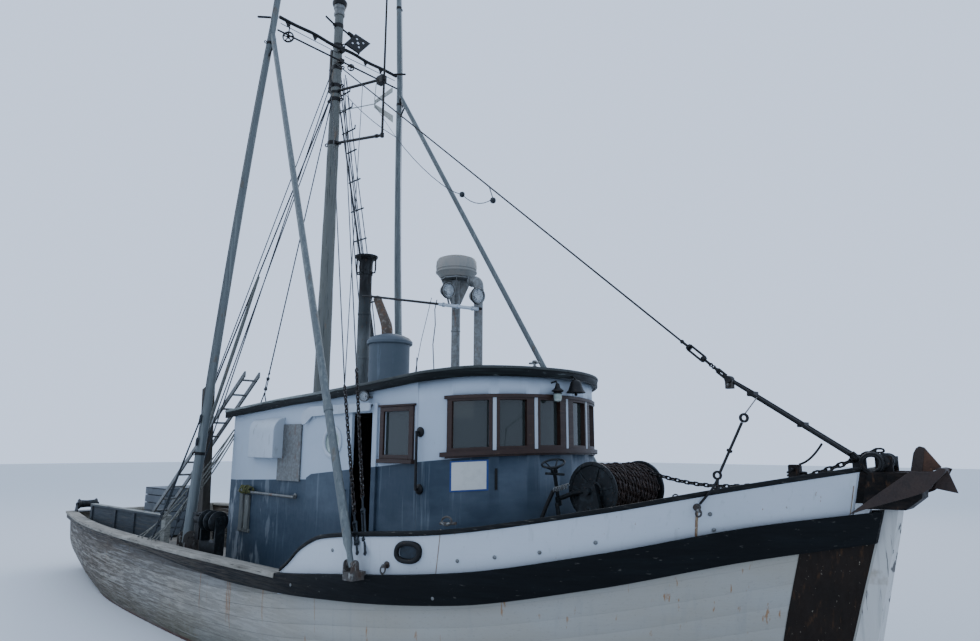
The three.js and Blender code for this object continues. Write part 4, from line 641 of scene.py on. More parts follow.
pane_edges = sorted(side * (m + half * w / 2) for m, w in PANES for half in (-1, 1) for side in (-1, 1))
wall_angles = np.unique(np.round(np.concatenate((np.linspace(-90, 90, 91), pane_edges)), 3))
wall_x0, wall_y0 = front_point(wall_angles)
wall_rows = [np.interp(wall_x0, [2.5, 3.5], deck_at([2.5, 3.5])) + 0.003]
wall_rows += [wall_rows[0] + 0.5, raked(wall_x0, PANE_LOW), raked(wall_x0, PANE_HIGH), wall_top(wall_x0, wall_y0)]
front_grid = np.stack([np.stack((wall_x0, wall_y0, row), -1) for row in wall_rows])
front_faces = np.array(sheet_faces(len(wall_rows), len(wall_angles)))
middle = (wall_angles[:-1] + wall_angles[1:]) / 2
glazed = np.any([np.abs(np.abs(middle) - m) < w / 2 for m, w in PANES], axis=0)
row_of, column_of = np.divmod(np.arange(len(front_faces)), len(wall_angles) - 1)
front_faces = front_faces[~((row_of == 2) & glazed[column_of])]
house_front = piece(
    "house_front_wall", front_grid, front_faces[:, ::-1].tolist(), house_paint, slot="blue_paint",
)
house_front.data.materials.append(cabin_panelling)
thick = house_front.modifiers.new("boards", "SOLIDIFY")
thick.thickness, thick.offset, thick.material_offset = HOUSE_WALL, -1, 1
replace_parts(house_front, "house_front")

# ---- Wheelhouse roof ----
# A canvas covered plywood roof painted grey, arched and rising forward, with a deep dark green
# edge board bent round it and a half round bead along the top.
roof_paint = weathered("grey_roof_canvas", "#7f868a", [
    (0.7, 0.42, 0.68, 0.5, "#5f6668"),
    (0.15, 0.6, 0.7, 0.5, "#9ba1a3"),
    (0.06, 0.66, 0.7, 0.6, "#43423d"),
], (0.7, 0.9), grain=0.012, relief=0.0012)
edge_paint = weathered("dark_green_edge_board", "#070c0d", [
    ((0.5, 0.5, 0.03), 0.52, 0.66, 0.5, "#232d2c"),
    ((0.12, 0.12, 0.03), 0.64, 0.68, 0.5, "#59615f"),
], (0.45, 0.65), grain=(0.15, 0.15, 0.02), gloss=0.15)
bead_paint = weathered("worn_bead_paint", "#1b2120", [
    ((0.4, 0.4, 0.02), 0.35, 0.5, lambda tree, where: run_of(tree, where, "X", 1.9, 0.2, 0.1, 0.85), "#868c89"),
    ((0.2, 0.2, 0.02), 0.6, 0.65, 0.8, "#1c2220"),
], (0.6, 0.8), grain=(0.1, 0.1, 0.01), relief=0.0015)
CANVAS_INSET = 0.004
rim_x, rim_y = front_point(np.linspace(90, 0, 61), ROOF_OUT)
rim_x = np.concatenate((np.linspace(ROOF_AFT_X, HOUSE_CURVE_X, 30)[:-1], rim_x))
rim_y = np.concatenate((np.full(len(rim_x) - len(rim_y), -(HOUSE_HALF + ROOF_OUT)), rim_y))
rim_half = np.maximum(-rim_y, CANVAS_INSET)
roof_share = np.linspace(-1, 1, 25)
roof_x = np.broadcast_to(rim_x[:, None], (len(rim_x), len(roof_share)))
roof_y = (rim_half[:, None] - CANVAS_INSET) * roof_share
roof_z = roof_height(roof_x, roof_y, rim_half[:, None])
roof_top = np.stack((roof_x, roof_y, roof_z - CANVAS_INSET), -1)
roof_low = np.stack((roof_x, roof_y, roof_z - ROOF_THICK + CANVAS_INSET), -1)
roof_rings = np.concatenate((roof_top, roof_low[:, ::-1]), axis=1)
roof = piece("roof_canvas", *loft(roof_rings), roof_paint, slot="white_paint", sharp=50)
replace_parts(roof, "roof")


def edging(section):
    """A moulding carried round the roof: its section is a ring of (out, up) corners, set square to the
    edge's plan."""
    x = np.concatenate((rim_x, rim_x[-2::-1]))
    y = np.concatenate((rim_y, -rim_y[-2::-1]))
    run = np.stack((np.gradient(x), np.gradient(y)), -1)
    run /= np.linalg.norm(run, axis=1, keepdims=True)
    out, up = np.array(section).T
    height = eased(ROOF_EDGE, 1, x)
    return loft(np.stack((
        x[:, None] + run[:, 1:] * out, y[:, None] - run[:, :1] * out,
        height[:, None] + np.broadcast_to(up, (len(x), len(up))),
    ), -1))


board = piece("roof_edge_board", *edging([
    (-0.03, 0.0), (-0.004, 0.0), (0.0, -0.006), (0.0, -0.09), (-0.004, -0.096), (-0.03, -0.096),
]), edge_paint, slot="black_paint")
bead = piece("roof_edge_bead", *edging([
    (-0.05, 0.004), (-0.02, 0.012), (0.002, 0.01), (0.008, 0.0), (0.008, -0.016), (0.002, -0.022), (-0.02, -0.02),
]), bead_paint, slot="black_paint")
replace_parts(board, "roof")
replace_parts(bead, "roof")

# ---- Windows ----
# Fixed sashes of varnished brown wood round the front, white posts between them, a head board
# above and a thick sloping sill below; one more sash in each side wall. Plain glass.
brown_wood = weathered("varnished_brown_wood", "#2e1a11", [
    ((0.2, 0.2, 0.02), 0.45, 0.65, 0.6, "#22130c"),
    ((0.06, 0.06, 0.02), 0.6, 0.68, 0.5, "#55402f"),
], (0.4, 0.65), grain=(0.2, 0.2, 0.008))
glass = plain("window_glass", "#3c4543", {"Roughness": 0.04, "Transmission Weight": 0.5, "IOR": 1.45})
white_trim = weathered("white_trim_paint", "#adb6be", [
    (0.3, 0.45, 0.7, 0.4, "#9aa2a8"),
    ((0.05, 0.05, 0.2), 0.62, 0.7, 0.5, "#6f6c62"),
], (0.45, 0.65), grain=0.05)


def several(*shapes):
    """Some shapes' points and faces as one."""
    points, faces, start = [], [], 0
    for more, own in shapes:
        points.append(np.asarray(more, float).reshape(-1, 3))
        faces += [[start + i for i in face] for face in own]
        start += len(points[-1])
    return np.concatenate(points), faces


def curved_bar(angle_from, angle_to, low, high, inner, outer, steps=14):
    """A bar of the window band between two angles, two raked heights and two offsets from the wall."""
    angle = np.linspace(angle_from, angle_to, steps)
    corners = [(outer, low), (outer, high), (inner, high), (inner, low)]
    rings = []
    for out, height in corners:
        x, y = front_point(angle, out)
        rings.append(np.stack((x, y, raked(x, height)), -1))
    return loft(np.stack(rings, 1))


SASH, POST_DEGREES, FRAME_OUT = 0.018, 2.0, 0.017
gap_middles = [0, 20.9, 42.4, BAND_ANGLE]
sashes, panes, posts = [], [], []
for k, (middle, width) in enumerate(PANES):
    near, far = middle - width / 2, middle + width / 2
    first = gap_middles[k] + POST_DEGREES / 2
    last = gap_middles[k + 1] - POST_DEGREES / 2
    sash = several(*[curved_bar(start, end, low, high, -0.04, FRAME_OUT, steps) for start, end, low, high, steps in (
        (first, near + 0.25, BAND_LOW + 0.02, PANE_HIGH + SASH, 4),
        (far - 0.25, last, BAND_LOW + 0.02, PANE_HIGH + SASH, 4),
        (near, far, PANE_HIGH - 0.004, PANE_HIGH + SASH, 14),
        (near, far, BAND_LOW + 0.02, PANE_LOW + 0.004, 14),
    )])
    pane = curved_bar(near - 0.2, far + 0.2, PANE_LOW - 0.005, PANE_HIGH + 0.005, -0.036, -0.031)
    sashes += [sash, flipped(sash)]
    panes += [pane, flipped(pane)]
for middle in gap_middles[:3]:
    post = curved_bar(middle - 0.9, middle + 0.9, BAND_LOW + 0.03, PANE_HIGH + SASH, 0.001, FRAME_OUT + 0.001, 4)
    posts += [post] if middle == 0 else [post, flipped(post)]
band = [
    ("front_sashes", several(*sashes), brown_wood, "warm_wood"),
    ("front_head_and_sill", several(
        curved_bar(-BAND_ANGLE - 0.5, BAND_ANGLE + 0.5, PANE_HIGH + SASH, BAND_HIGH, 0.001, 0.03, 60),
        curved_bar(-BAND_ANGLE - 2.2, BAND_ANGLE + 2.2, BAND_LOW - 0.004, BAND_LOW + 0.04, 0.001, 0.052, 60),
        curved_bar(-BAND_ANGLE, BAND_ANGLE, BAND_LOW - 0.02, BAND_LOW - 0.004, 0.001, 0.02, 60),
    ), brown_wood, "warm_wood"),
    ("front_panes", several(*panes), glass, "glass"),
    ("front_window_posts", several(*posts), white_trim, "white_paint"),
]
for name, shape, finish, slot in band:
    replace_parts(piece(name, *shape, finish, slot=slot), "front_windows")


def box(x0, x1, y0, y1, z0, z1):
    """A squared board between three pairs of sides."""
    plan = np.array([(x0, y0), (x1, y0), (x1, y1), (x0, y1)], float)
    return loft([np.column_stack((plan, np.full(4, z))) for z in (z0, z1)])


def eased_edges(made, width=0.004):
    """Takes the sharp edge off sawn or cast corners."""
    worn = made.modifiers.new("eased", "BEVEL")
    worn.width, worn.segments, worn.limit_method = width, 2, "ANGLE"
    return made


WINDOW_X0, WINDOW_X1, WINDOW_Z0, WINDOW_Z1, WALL_Y = 2.06, 2.46, 2.105, 2.56, -1.3003
SASH_LOW, SASH_HIGH = WINDOW_Z0 - 0.032, WINDOW_Z1 + 0.05
side_sash = several(*[box(x0, x1, WALL_Y - out, WALL_Y, z0, z1) for x0, x1, out, z0, z1 in (
    (WINDOW_X0 - 0.062, WINDOW_X0, 0.026, SASH_LOW, SASH_HIGH),
    (WINDOW_X1, WINDOW_X1 + 0.062, 0.026, SASH_LOW, SASH_HIGH),
    (WINDOW_X0, WINDOW_X1, 0.026, WINDOW_Z1, SASH_HIGH),
    (WINDOW_X0, WINDOW_X1, 0.026, SASH_LOW, WINDOW_Z0 + 0.012),
    (WINDOW_X0 - 0.085, WINDOW_X1 + 0.085, 0.036, SASH_HIGH, SASH_HIGH + 0.022),
    (WINDOW_X0 - 0.075, WINDOW_X1 + 0.075, 0.05, SASH_LOW - 0.04, SASH_LOW),
)])
side_pane = box(
    WINDOW_X0 - 0.008, WINDOW_X1 + 0.008, WALL_Y + 0.012, WALL_Y + 0.018, WINDOW_Z0 - 0.008, WINDOW_Z1 + 0.008,
)
for side, turned_over in both_sides:
    for name, shape, finish, slot in (
        ("side_sash", side_sash, brown_wood, "warm_wood"), ("side_pane", side_pane, glass, "glass"),
    ):
        made = piece(f"{name}_{side}", *turned_over(shape), finish, slot=slot)
        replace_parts(eased_edges(made, 0.003) if finish is brown_wood else made, f"side_window_{side}")

# ---- Sliding door ----
# A flush painted door hung on a top track under a white cover board, with a round port in a
# white ring, a black pull handle, and a trim board on the wall at its closing side.
PORT_X, PORT_Z, PORT_GLASS, PORT_RING = 1.19, 2.25, 0.145, 0.182
DOOR_FACE = -1.343


def around(count, start=0.0):
    """Angles evenly round a circle."""
    return np.linspace(start, start + 2 * np.pi, count, endpoint=False)


def turned(profile, start, way, sides=32):
    """A turned shape: circles of (radius, distance) along a line that leaves start in one direction."""
    way = np.array(way, float) / np.linalg.norm(way)
    aside = np.cross(way, np.eye(3)[np.argmin(np.abs(way))])
    aside /= np.linalg.norm(aside)
    third = np.cross(way, aside)
    angle = around(sides)
    circle = np.cos(angle)[:, None] * aside + np.sin(angle)[:, None] * third
    radius, along = np.array(profile, float).T
    return loft(np.array(start) + along[:, None, None] * way + radius[:, None, None] * circle)


def ring_of(profile, start, way, sides=40):
    """A turned ring, open in the middle: its section of (radius, distance) goes round and meets itself."""
    points = turned(profile, start, way, sides)[0]
    return points, facing_out(points, sheet_faces(len(profile), sides, round_rows=True, round_columns=True))


def flat_ring(inner, outer, half, at, way, sides):
    """A ring between two radii whose section is a rectangle, twice half deep."""
    return ring_of([(inner, -half), (inner, half), (outer, half), (outer, -half)], at, way, sides)


dress(house_paint, "door")
dress(white_trim, "door_track")
port_glass = weathered("hazy_port_glass", "#8b9890", [
    ((0.3, 0.3, 0.12), 0.45, 0.55, 0.6, "#b9c4bd"),
], (0.05, 0.15), grain=0.1, relief=0.0)
piece("port_ring", *ring_of([
    (PORT_GLASS - 0.012, 0), (PORT_GLASS - 0.008, 0.012), (PORT_GLASS + 0.004, 0.018), (PORT_RING - 0.012, 0.018),
    (PORT_RING, 0.01), (PORT_RING, 0),
], (PORT_X, DOOR_FACE, PORT_Z), (0, -1, 0)), white_trim, "door", "white_paint")
piece("port_glass", *turned([
    (PORT_GLASS - 0.002, 0), (PORT_GLASS - 0.002, 0.006),
], (PORT_X, DOOR_FACE + 0.012, PORT_Z), (0, -1, 0)), port_glass, "door", "glass")
TRIM_X = 1.875
trim_board = box(TRIM_X, TRIM_X + 0.075, -1.328, WALL_Y, 0.99, 2.66)
eased_edges(piece("door_trim_board", *trim_board, house_paint, slot="blue_paint"))
COVER = [
    # x, lower edge, upper edge
    (0.585, 2.49, 2.53), (0.6, 2.462, 2.57), (0.63, 2.45, 2.6), (0.68, 2.46, 2.625), (0.74, 2.5, 2.652),
    (0.8, 2.542, 2.656), (1.86, 2.575, 2.662), (1.885, 2.58, 2.655),
]
COVER_FACE, COVER_THICK = -1.379, 0.02
# the curved end is thin and leaves room for the door's hanger; the rest reaches back to the wall
COVER_LEG = [COVER_FACE + COVER_THICK + 0.002] * 5 + [WALL_Y] * 3
cover_rings = [[
    (x, COVER_FACE, low), (x, COVER_FACE, high), (x, leg, high), (x, leg, high - 0.012),
    (x, COVER_FACE + COVER_THICK, high - 0.012), (x, COVER_FACE + COVER_THICK, low),
] for (x, low, high), leg in zip(COVER, COVER_LEG)]
eased_edges(piece("door_track_cover", *loft(cover_rings), white_trim, slot="white_paint"), 0.005)

# ---- Wall hatch, handrails and door pull ----
# A grey galvanised hatch panel, a steel handrail low on the wall, a black grab rail with round
# ends near the front windows and the black handle of the sliding door.
galvanised = weathered("dull_galvanised_steel", "#686865", [
    (0.04, 0.42, 0.6, 0.5, "#858c8f"),
    ((0.06, 0.06, 0.5), 0.55, 0.7, 0.6, "#565b5d"),
    ((0.09, 0.09, 0.25), 0.62, 0.68, 0.6, "#6b4a33"),
], (0.42, 0.62), metal=0.55, grain=(0.03, 0.03, 0.06), relief=0.0005)
black_iron = weathered("black_painted_iron", "#0a0b0c", [
    (0.06, 0.55, 0.68, 0.6, "#2b2622"),
    (0.03, 0.66, 0.7, 0.6, "#5a3a25"),
], (0.4, 0.65), metal=0.3, grain=0.01)
dress(galvanised, "wall_hatch")


def tube(path, radius, sides=12):
    """A round bar, rope or pipe along a path of points, its circles square to the path. Its radius is one
    number or one for each point."""
    path = np.asarray(path, float)
    run = np.gradient(path, axis=0)
    run /= np.linalg.norm(run, axis=1, keepdims=True)
    aside = np.cross(run, np.eye(3)[np.argmin(np.abs(run).mean(0))])
    aside /= np.linalg.norm(aside, axis=1, keepdims=True)
    third = np.cross(run, aside)
    angle = around(sides)
    circle = aside[:, None] * np.cos(angle)[:, None] + third[:, None] * np.sin(angle)[:, None]
    return loft(path[:, None] + np.broadcast_to(radius, len(path))[:, None, None] * circle)


RAIL_Z, RAIL_Y = 1.62, -1.362
piece("wall_handrail", *several(
    tube([(-0.8, RAIL_Y, RAIL_Z + 0.01), (0.5, RAIL_Y, RAIL_Z - 0.01)], 0.017),
    *[turned([(0.032, 0), (0.032, 0.008), (0.012, 0.014), (0.012, 0.062)], (x, WALL_Y, RAIL_Z), (0, -1, 0), 16)
      for x in (-0.7, 0.43)],
), galvanised)
piece("grab_rail", *several(
    tube([(2.612, -1.352, 1.78), (2.612, -1.352, 2.355)], 0.014),
    *[turned([(0.05, 0), (0.05, 0.012), (0.034, 0.022), (0.014, 0.028), (0.014, 0.05)], (2.612, y, z), (0, -1, 0), 24)
      for z, y in ((1.79, -1.299), (2.345, -1.299))],
), black_iron)
piece("door_pull", *several(
    tube([(1.46, -1.38, 1.55), (1.46, -1.38, 1.74)], 0.011),
    *[tube([(1.46, -1.342, z), (1.46, -1.384, z)], 0.01) for z in (1.56, 1.73)],
), black_iron, "door", "dark_steel")

# ---- Lamps, bell and plates on the house front ----
# A lantern and a small black bell hang under the roof's edge, a floodlight sits over the door,
# and a blank white board with a blue edge is fixed under the windows, with an iron strap by it.
cream_plastic = weathered("yellowed_white_plastic", "#9fa19a", [
    ((0.1, 0.1, 0.2), 0.45, 0.68, 0.5, "#7c7e78"),
    ((0.03, 0.03, 0.1), 0.62, 0.7, 0.5, "#5f5a50"),
], (0.4, 0.6), relief=0.0004)
blank_board = weathered("blank_white_board", "#c3c4bf", [
    (0.1, 0.5, 0.7, 0.3, "#9c9c96"),
], (0.4, 0.55), relief=0.0)
blue_tape = weathered("blue_edge_tape", "#24407a", [
    (0.05, 0.5, 0.7, 0.4, "#3b5385"),
], (0.5, 0.7), grain=0.01, relief=0.0)
mirror = plain("lamp_reflector", "#cdd3d8", {"Metallic": 0.35, "Roughness": 0.3})
lamp_glass = plain("clear_lamp_glass", "#f2f5f6", {"Roughness": 0.05, "Transmission Weight": 0.9, "IOR": 1.45})


def floodlight(name, at, way, foot, r=0.094):
    """A round lamp of radius r facing one way on a short foot: bowl and rim, reflector, lens."""
    bowl = turned([
        (0.3 * r, -1.15 * r), (0.62 * r, -0.95 * r), (0.9 * r, -0.4 * r), (r, 0), (1.05 * r, 0.02), (1.0 * r, 0.03),
        (0.88 * r, 0.026), (0.85 * r, 0.0), (0.6 * r, -0.5 * r), (0.2 * r, -0.75 * r),
    ], at, way, 28)
    stem = tube([foot, np.array(at) - 0.45 * r * np.array(way)], 0.012, 8)
    piece(f"{name}_bowl", *several(bowl, stem), galvanised)
    piece(f"{name}_rim", *ring_of([
        (0.9 * r, -0.1 * r), (0.9 * r, 0.06 * r), (1.09 * r, 0.06 * r), (1.09 * r, -0.1 * r),
    ], at, way, 28), black_iron)
    piece(f"{name}_reflector", *ring_of([
        (0.84 * r, 0.01), (0.62 * r, -0.4 * r), (0.3 * r, -0.62 * r), (0.05 * r, -0.66 * r), (0.05 * r, -0.6 * r),
        (0.28 * r, -0.56 * r), (0.58 * r, -0.34 * r), (0.78 * r, 0.01),
    ], at, way, 28), mirror, slot="glass")
    piece(f"{name}_lens", *turned([
        (0.86 * r, 0.01), (0.86 * r, 0.014), (0.5 * r, 0.024), (0.05 * r, 0.027),
    ], at, way, 28), lamp_glass, slot="glass")


floodlight("door_light", (1.78, -1.375, 2.735), (0.55, -0.83, -0.1), (1.83, -1.3, 2.72), 0.055)
LANTERN_AT = np.array([*front_point(10.5, 0.085), 2.66])
piece("lantern_metal", *several(
    turned([(0.018, 0.19), (0.024, 0.17), (0.03, 0.145), (0.062, 0.12), (0.062, 0.108), (0.04, 0.1), (0.036, 0.09)],
           LANTERN_AT, (0, 0, 1), 20),
    tube([LANTERN_AT + (0, 0, 0.18), LANTERN_AT + (-0.02, 0, 0.215), LANTERN_AT + (-0.1, 0.01, 0.2)], 0.01, 8),
    ring_of([(0.046, 0.085), (0.046, 0.095), (0.036, 0.095), (0.036, 0.085)], LANTERN_AT, (0, 0, 1), 20),
), black_iron)
piece("lantern_globe", *turned([
    (0.012, 0.0), (0.034, 0.012), (0.042, 0.04), (0.042, 0.07), (0.034, 0.094),
], LANTERN_AT, (0, 0, 1), 20), port_glass, slot="glass")
BELL_AT = np.array([*front_point(-1.4, 0.115), 2.765])
piece("bell", *several(
    turned([
        (0.098, 0.0), (0.102, 0.006), (0.08, 0.035), (0.064, 0.08), (0.056, 0.11), (0.034, 0.135), (0.012, 0.142),
        (0.012, 0.15), (0.006, 0.15),
    ], BELL_AT, (0, 0, 1), 28),
    turned([(0.012, -0.03), (0.018, -0.015), (0.006, 0.0), (0.006, 0.02)], BELL_AT, (0, 0, 1), 12),
    tube([BELL_AT + (0, 0, 0.145), BELL_AT + (-0.03, 0, 0.175), BELL_AT + (-0.11, 0, 0.16)], 0.01, 8),
), black_iron)


def wall_plate(name, angles, low, high, out, thick, finish, slot):
    """A thin plate lying on the rounded front between two angles and two heights."""
    piece(name, *curved_bar(*angles, low, high, out, out + thick, 10), finish, slot=slot)


SIGN_ANGLES, SIGN_LOW, SIGN_HIGH, SIGN_EDGE = (65.5, 45.4), 1.765, 2.058, 1.0
wall_plate("blank_board_edge", SIGN_ANGLES, SIGN_LOW, SIGN_HIGH, 0.0005, 0.004, blue_tape, "blue_paint")
wall_plate("blank_board", (SIGN_ANGLES[0] - SIGN_EDGE, SIGN_ANGLES[1] + SIGN_EDGE), SIGN_LOW + 0.014, SIGN_HIGH - 0.014,
           0.004, 0.003, blank_board, "white_plastic")
wall_plate("wall_strap", (42.2, 40.9), 1.767, 1.97, 0.0005, 0.008, black_iron, "dark_steel")

# ---- Stack, tank and radar on the roof ----
# A galvanised stove pipe with a flared rain cap, burnt black above; a round painted water tank
# with a bent rusty vent; a galvanised post with a plastic radar dome, two lamps and a vent pipe.
def stack_colours(tree, where):
    """Grey zinc at the foot, brown where the heat has taken it, soot black at the top."""
    brown = run_of(tree, where, "Z", 3.7, 3.9)
    black = run_of(tree, where, "Z", 4.2, 4.4)
    colour = node(tree, "Mix", {0: brown, 6: linear("#5a5f5f"), 7: linear("#34393a")}, data_type="RGBA")[2]
    return node(tree, "Mix", {0: black, 6: colour, 7: linear("#0f1011")}, data_type="RGBA")[2]


stack_steel = weathered("sooty_stove_pipe", stack_colours, [
    ((0.05, 0.05, 0.3), 0.5, 0.65, 0.5, "#3a3f3f"),
    ((0.04, 0.04, 0.1), 0.6, 0.68, 0.5, "#4d3a2a"),
], (0.5, 0.75), metal=0.35, grain=(0.03, 0.03, 0.1), relief=0.0008)
tank_paint = weathered("blue_grey_tank_paint", "#4a545c", [
    ((0.4, 0.4, 0.2), 0.45, 0.7, 0.4, "#414b54"),
    ((0.04, 0.04, 0.5), 0.62, 0.7, 0.4, "#6d7a86"),
], (0.45, 0.65), grain=(0.03, 0.03, 0.06), relief=0.0005)
rusty_pipe = weathered("rusty_vent_pipe", "#4f463d", [
    (0.06, 0.5, 0.64, 0.7, "#6a4a34"),
    (0.04, 0.55, 0.66, 0.8, "#7d7b74"),
], (0.65, 0.85), metal=0.2, grain=0.01)
dome_plastic = weathered("weathered_dome_plastic", "#85817a", [
    ((0.12, 0.12, 0.3), 0.45, 0.65, 0.5, "#6f7775"),
    ((0.02, 0.02, 0.2), 0.58, 0.68, 0.5, "#5b6160"),
], (0.4, 0.6), relief=0.0004)

STACK_X, STACK_R, STACK_CAP_Z, STACK_RIM_Z = -0.085, 0.09, 4.64, 4.93
stack_foot = on_roof(STACK_X) - 0.03
stack = piece("stove_pipe", *several(
    turned([
        (0.15, stack_foot), (0.15, 2.93), (0.1, 2.965), (STACK_R, 2.97), (STACK_R, 3.42), (STACK_R + 0.004, 3.42),
        (STACK_R + 0.004, 3.445), (STACK_R, 3.45), (STACK_R, 4.05), (STACK_R + 0.004, 4.055), (STACK_R + 0.004, 4.08),
        (STACK_R, 4.085), (STACK_R, STACK_CAP_Z), (0.1, STACK_CAP_Z + 0.01), (0.1, STACK_CAP_Z + 0.06),
        (0.085, STACK_CAP_Z + 0.07), (0.088, 4.78), (0.105, 4.86), (0.16, STACK_RIM_Z - 0.03),
        (0.168, STACK_RIM_Z - 0.012), (0.168, STACK_RIM_Z), (0.15, STACK_RIM_Z - 0.004), (0.06, STACK_RIM_Z - 0.03),
    ], (STACK_X, 0, 0), (0, 0, 1), 40),
    *[tube([(STACK_X + r * np.cos(a), r * np.sin(a), z) for r, z in (
        (0.1, STACK_CAP_Z + 0.03), (0.15, STACK_CAP_Z + 0.035), (0.158, STACK_CAP_Z + 0.08),
        (0.158, STACK_RIM_Z - 0.02),
    )], 0.012, 8) for a in np.radians([20, 110, 200, 290])],
), stack_steel, slot="galvanised", sharp=28)
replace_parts(stack, "exhaust_stack")

TANK_X, TANK_R = 0.505, 0.275
tank_foot = on_roof(TANK_X) - 0.05
tank = piece("water_drum", *turned([
    (TANK_R, tank_foot), (TANK_R, 3.53), (TANK_R + 0.004, 3.545), (TANK_R + 0.004, 3.56), (0.3, 3.562), (0.312, 3.572),
    (0.312, 3.606), (0.302, 3.622), (0.272, 3.655), (0.2, 3.688), (0.12, 3.709), (0.02, 3.72),
], (TANK_X, 0, 0), (0, 0, 1), 56), tank_paint, slot="blue_paint", sharp=28)
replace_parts(tank, "water_tank")
vent = piece("tank_vent_pipe", *tube([
    (0.445, 0, 3.66), (0.44, 0, 3.78), (0.42, 0, 3.86), (0.37, 0, 3.955), (0.2, 0, 4.262), (0.185, 0, 4.29),
], [0.078, 0.078, 0.076, 0.07, 0.057, 0.03], 24), rusty_pipe, slot="rusty_steel")
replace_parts(vent, "water_tank")

POST_X, POST_Y, POST_R, DOME_Z = 1.72, 0.06, 0.055, 4.3103
post_foot = on_roof(POST_X, POST_Y) - 0.03
wings = []
for turn in np.radians([45, 135, 225, 315]):
    c, s = np.cos(turn), np.sin(turn)
    wings.append(loft([[(POST_X + r * c - aside * s, POST_Y + r * s + aside * c, z) for r, z in (
        (0.045, 3.98), (0.06, 3.98), (0.185, 4.27), (0.185, 4.296), (0.045, 4.296),
    )] for aside in (-0.004, 0.004)]))
radar_post = piece("radar_post_steel", *several(
    turned([
        (0.09, post_foot), (0.09, post_foot + 0.045), (POST_R, post_foot + 0.05), (POST_R, 3.62),
        (POST_R + 0.005, 3.625), (POST_R + 0.005, 3.64), (POST_R, 3.645), (POST_R, 4.2), (POST_R + 0.01, 4.28),
    ], (POST_X, POST_Y, 0), (0, 0, 1), 28),
    turned([(0.2, 4.292), (0.2, 4.31)], (POST_X, POST_Y, 0), (0, 0, 1), 8),
    *wings,
), galvanised, sharp=28)
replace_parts(radar_post, "radar_post")
lamp_bar = piece("lamp_bar", *several(
    tube([(0.02, -0.12, 4.302), (0.12, -0.12, 4.29), (2.25, -0.12, 3.83), (2.33, -0.12, 3.813)], 0.016, 12),
    tube([(1.72, -0.13, 3.944), (1.72, 0.06, 3.96)], 0.014, 8),
    tube([(2.11, -0.13, 3.86), (2.11, 0.06, 3.87)], 0.014, 8),
), black_iron)
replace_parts(lamp_bar, "radar_post")
piece("bar_conduit", *several(
    tube([(1.64, -0.15, 3.958), (2.3, -0.15, 3.81)], 0.021, 12),
    *[ring_of([(0.02, 0), (0.02, 0.02), (0.029, 0.02), (0.029, 0)], (x, -0.15, 3.958 - (x - 1.64) * 0.224),
              (1, 0, -0.224), 16) for x in (1.7, 1.95, 2.2)],
), white_trim, slot="galvanised")
dome = piece("radar_dome", *turned([
    (0.1, 0), (0.2, 0.004), (0.215, 0.018), (0.247, 0.06), (0.262, 0.07), (0.264, 0.086), (0.25, 0.094), (0.25, 0.102),
    (0.258, 0.108), (0.262, 0.16), (0.256, 0.215), (0.236, 0.25), (0.18, 0.272), (0.09, 0.282), (0.01, 0.2845),
], (POST_X, POST_Y, DOME_Z), (0, 0, 1), 64), dome_plastic, slot="white_plastic", sharp=32)
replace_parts(dome, "radome")
VENT_X = 2.11
vent_foot = on_roof(VENT_X, POST_Y) - 0.03
bend = np.linspace(0, np.pi / 2, 7)
elbow = np.stack((VENT_X - 0.075 * (1 - np.cos(bend)), np.full(7, POST_Y), 4.15 + 0.08 * np.sin(bend)), -1)
vent_pipe = piece("vent_pipe", *several(
    tube([(VENT_X, POST_Y, vent_foot), (VENT_X, POST_Y, 3.5), (VENT_X, POST_Y, 4.1)], POST_R, 24),
    tube([(VENT_X, POST_Y, 4.09), *elbow, (1.985, POST_Y, 4.232)], [0.062] * 9, 24),
    turned([(0.066, 0), (0.066, 0.03)], (VENT_X, POST_Y, 4.085), (0, 0, 1), 24),
    turned([(0.07, 0), (0.07, 0.022)], (2.007, POST_Y, 4.2315), (-1, 0, 0), 24),
), galvanised)
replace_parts(vent_pipe, "vent_post")
floodlight("roof_lamp_aft", (1.84, -0.2, 4.097), (0.99, -0.1, -0.12), (1.79, -0.13, 3.93))
floodlight("roof_lamp_forward", (2.34, -0.2, 3.955), (0.99, -0.1, -0.12), (2.29, -0.13, 3.82))
piece("lamp_wires", *several(
    tube([
        (1.6, -0.16, 4.02), (1.575, -0.17, 3.9), (1.6, -0.18, 3.7), (1.585, -0.2, 3.45), (1.62, -0.2, 3.02),
    ], 0.006, 6),
    tube([(1.5, -0.16, 4.06), (1.48, -0.3, 3.5), (1.47, -0.4, 3.0)], 0.004, 6),
    tube([(1.35, -0.25, 2.97), (1.35, -0.25, 3.3)], 0.007, 6),
), black_iron)

# A small cleat stands near the roof's front.
CLEAT_AT = np.array([3.4, -0.46, float(roof_height(3.4, -0.46, 0.62)) - 0.004])
piece("roof_cleat", *several(
    turned([
        (0.035, 0), (0.03, 0.012), (0.014, 0.02), (0.014, 0.05), (0.03, 0.06), (0.02, 0.075),
    ], CLEAT_AT, (0, 0, 1), 14),
    tube([CLEAT_AT + (-0.07, 0, 0.05), CLEAT_AT + (0, 0, 0.045), CLEAT_AT + (0.07, 0, 0.05)], 0.011, 8),
), galvanised)

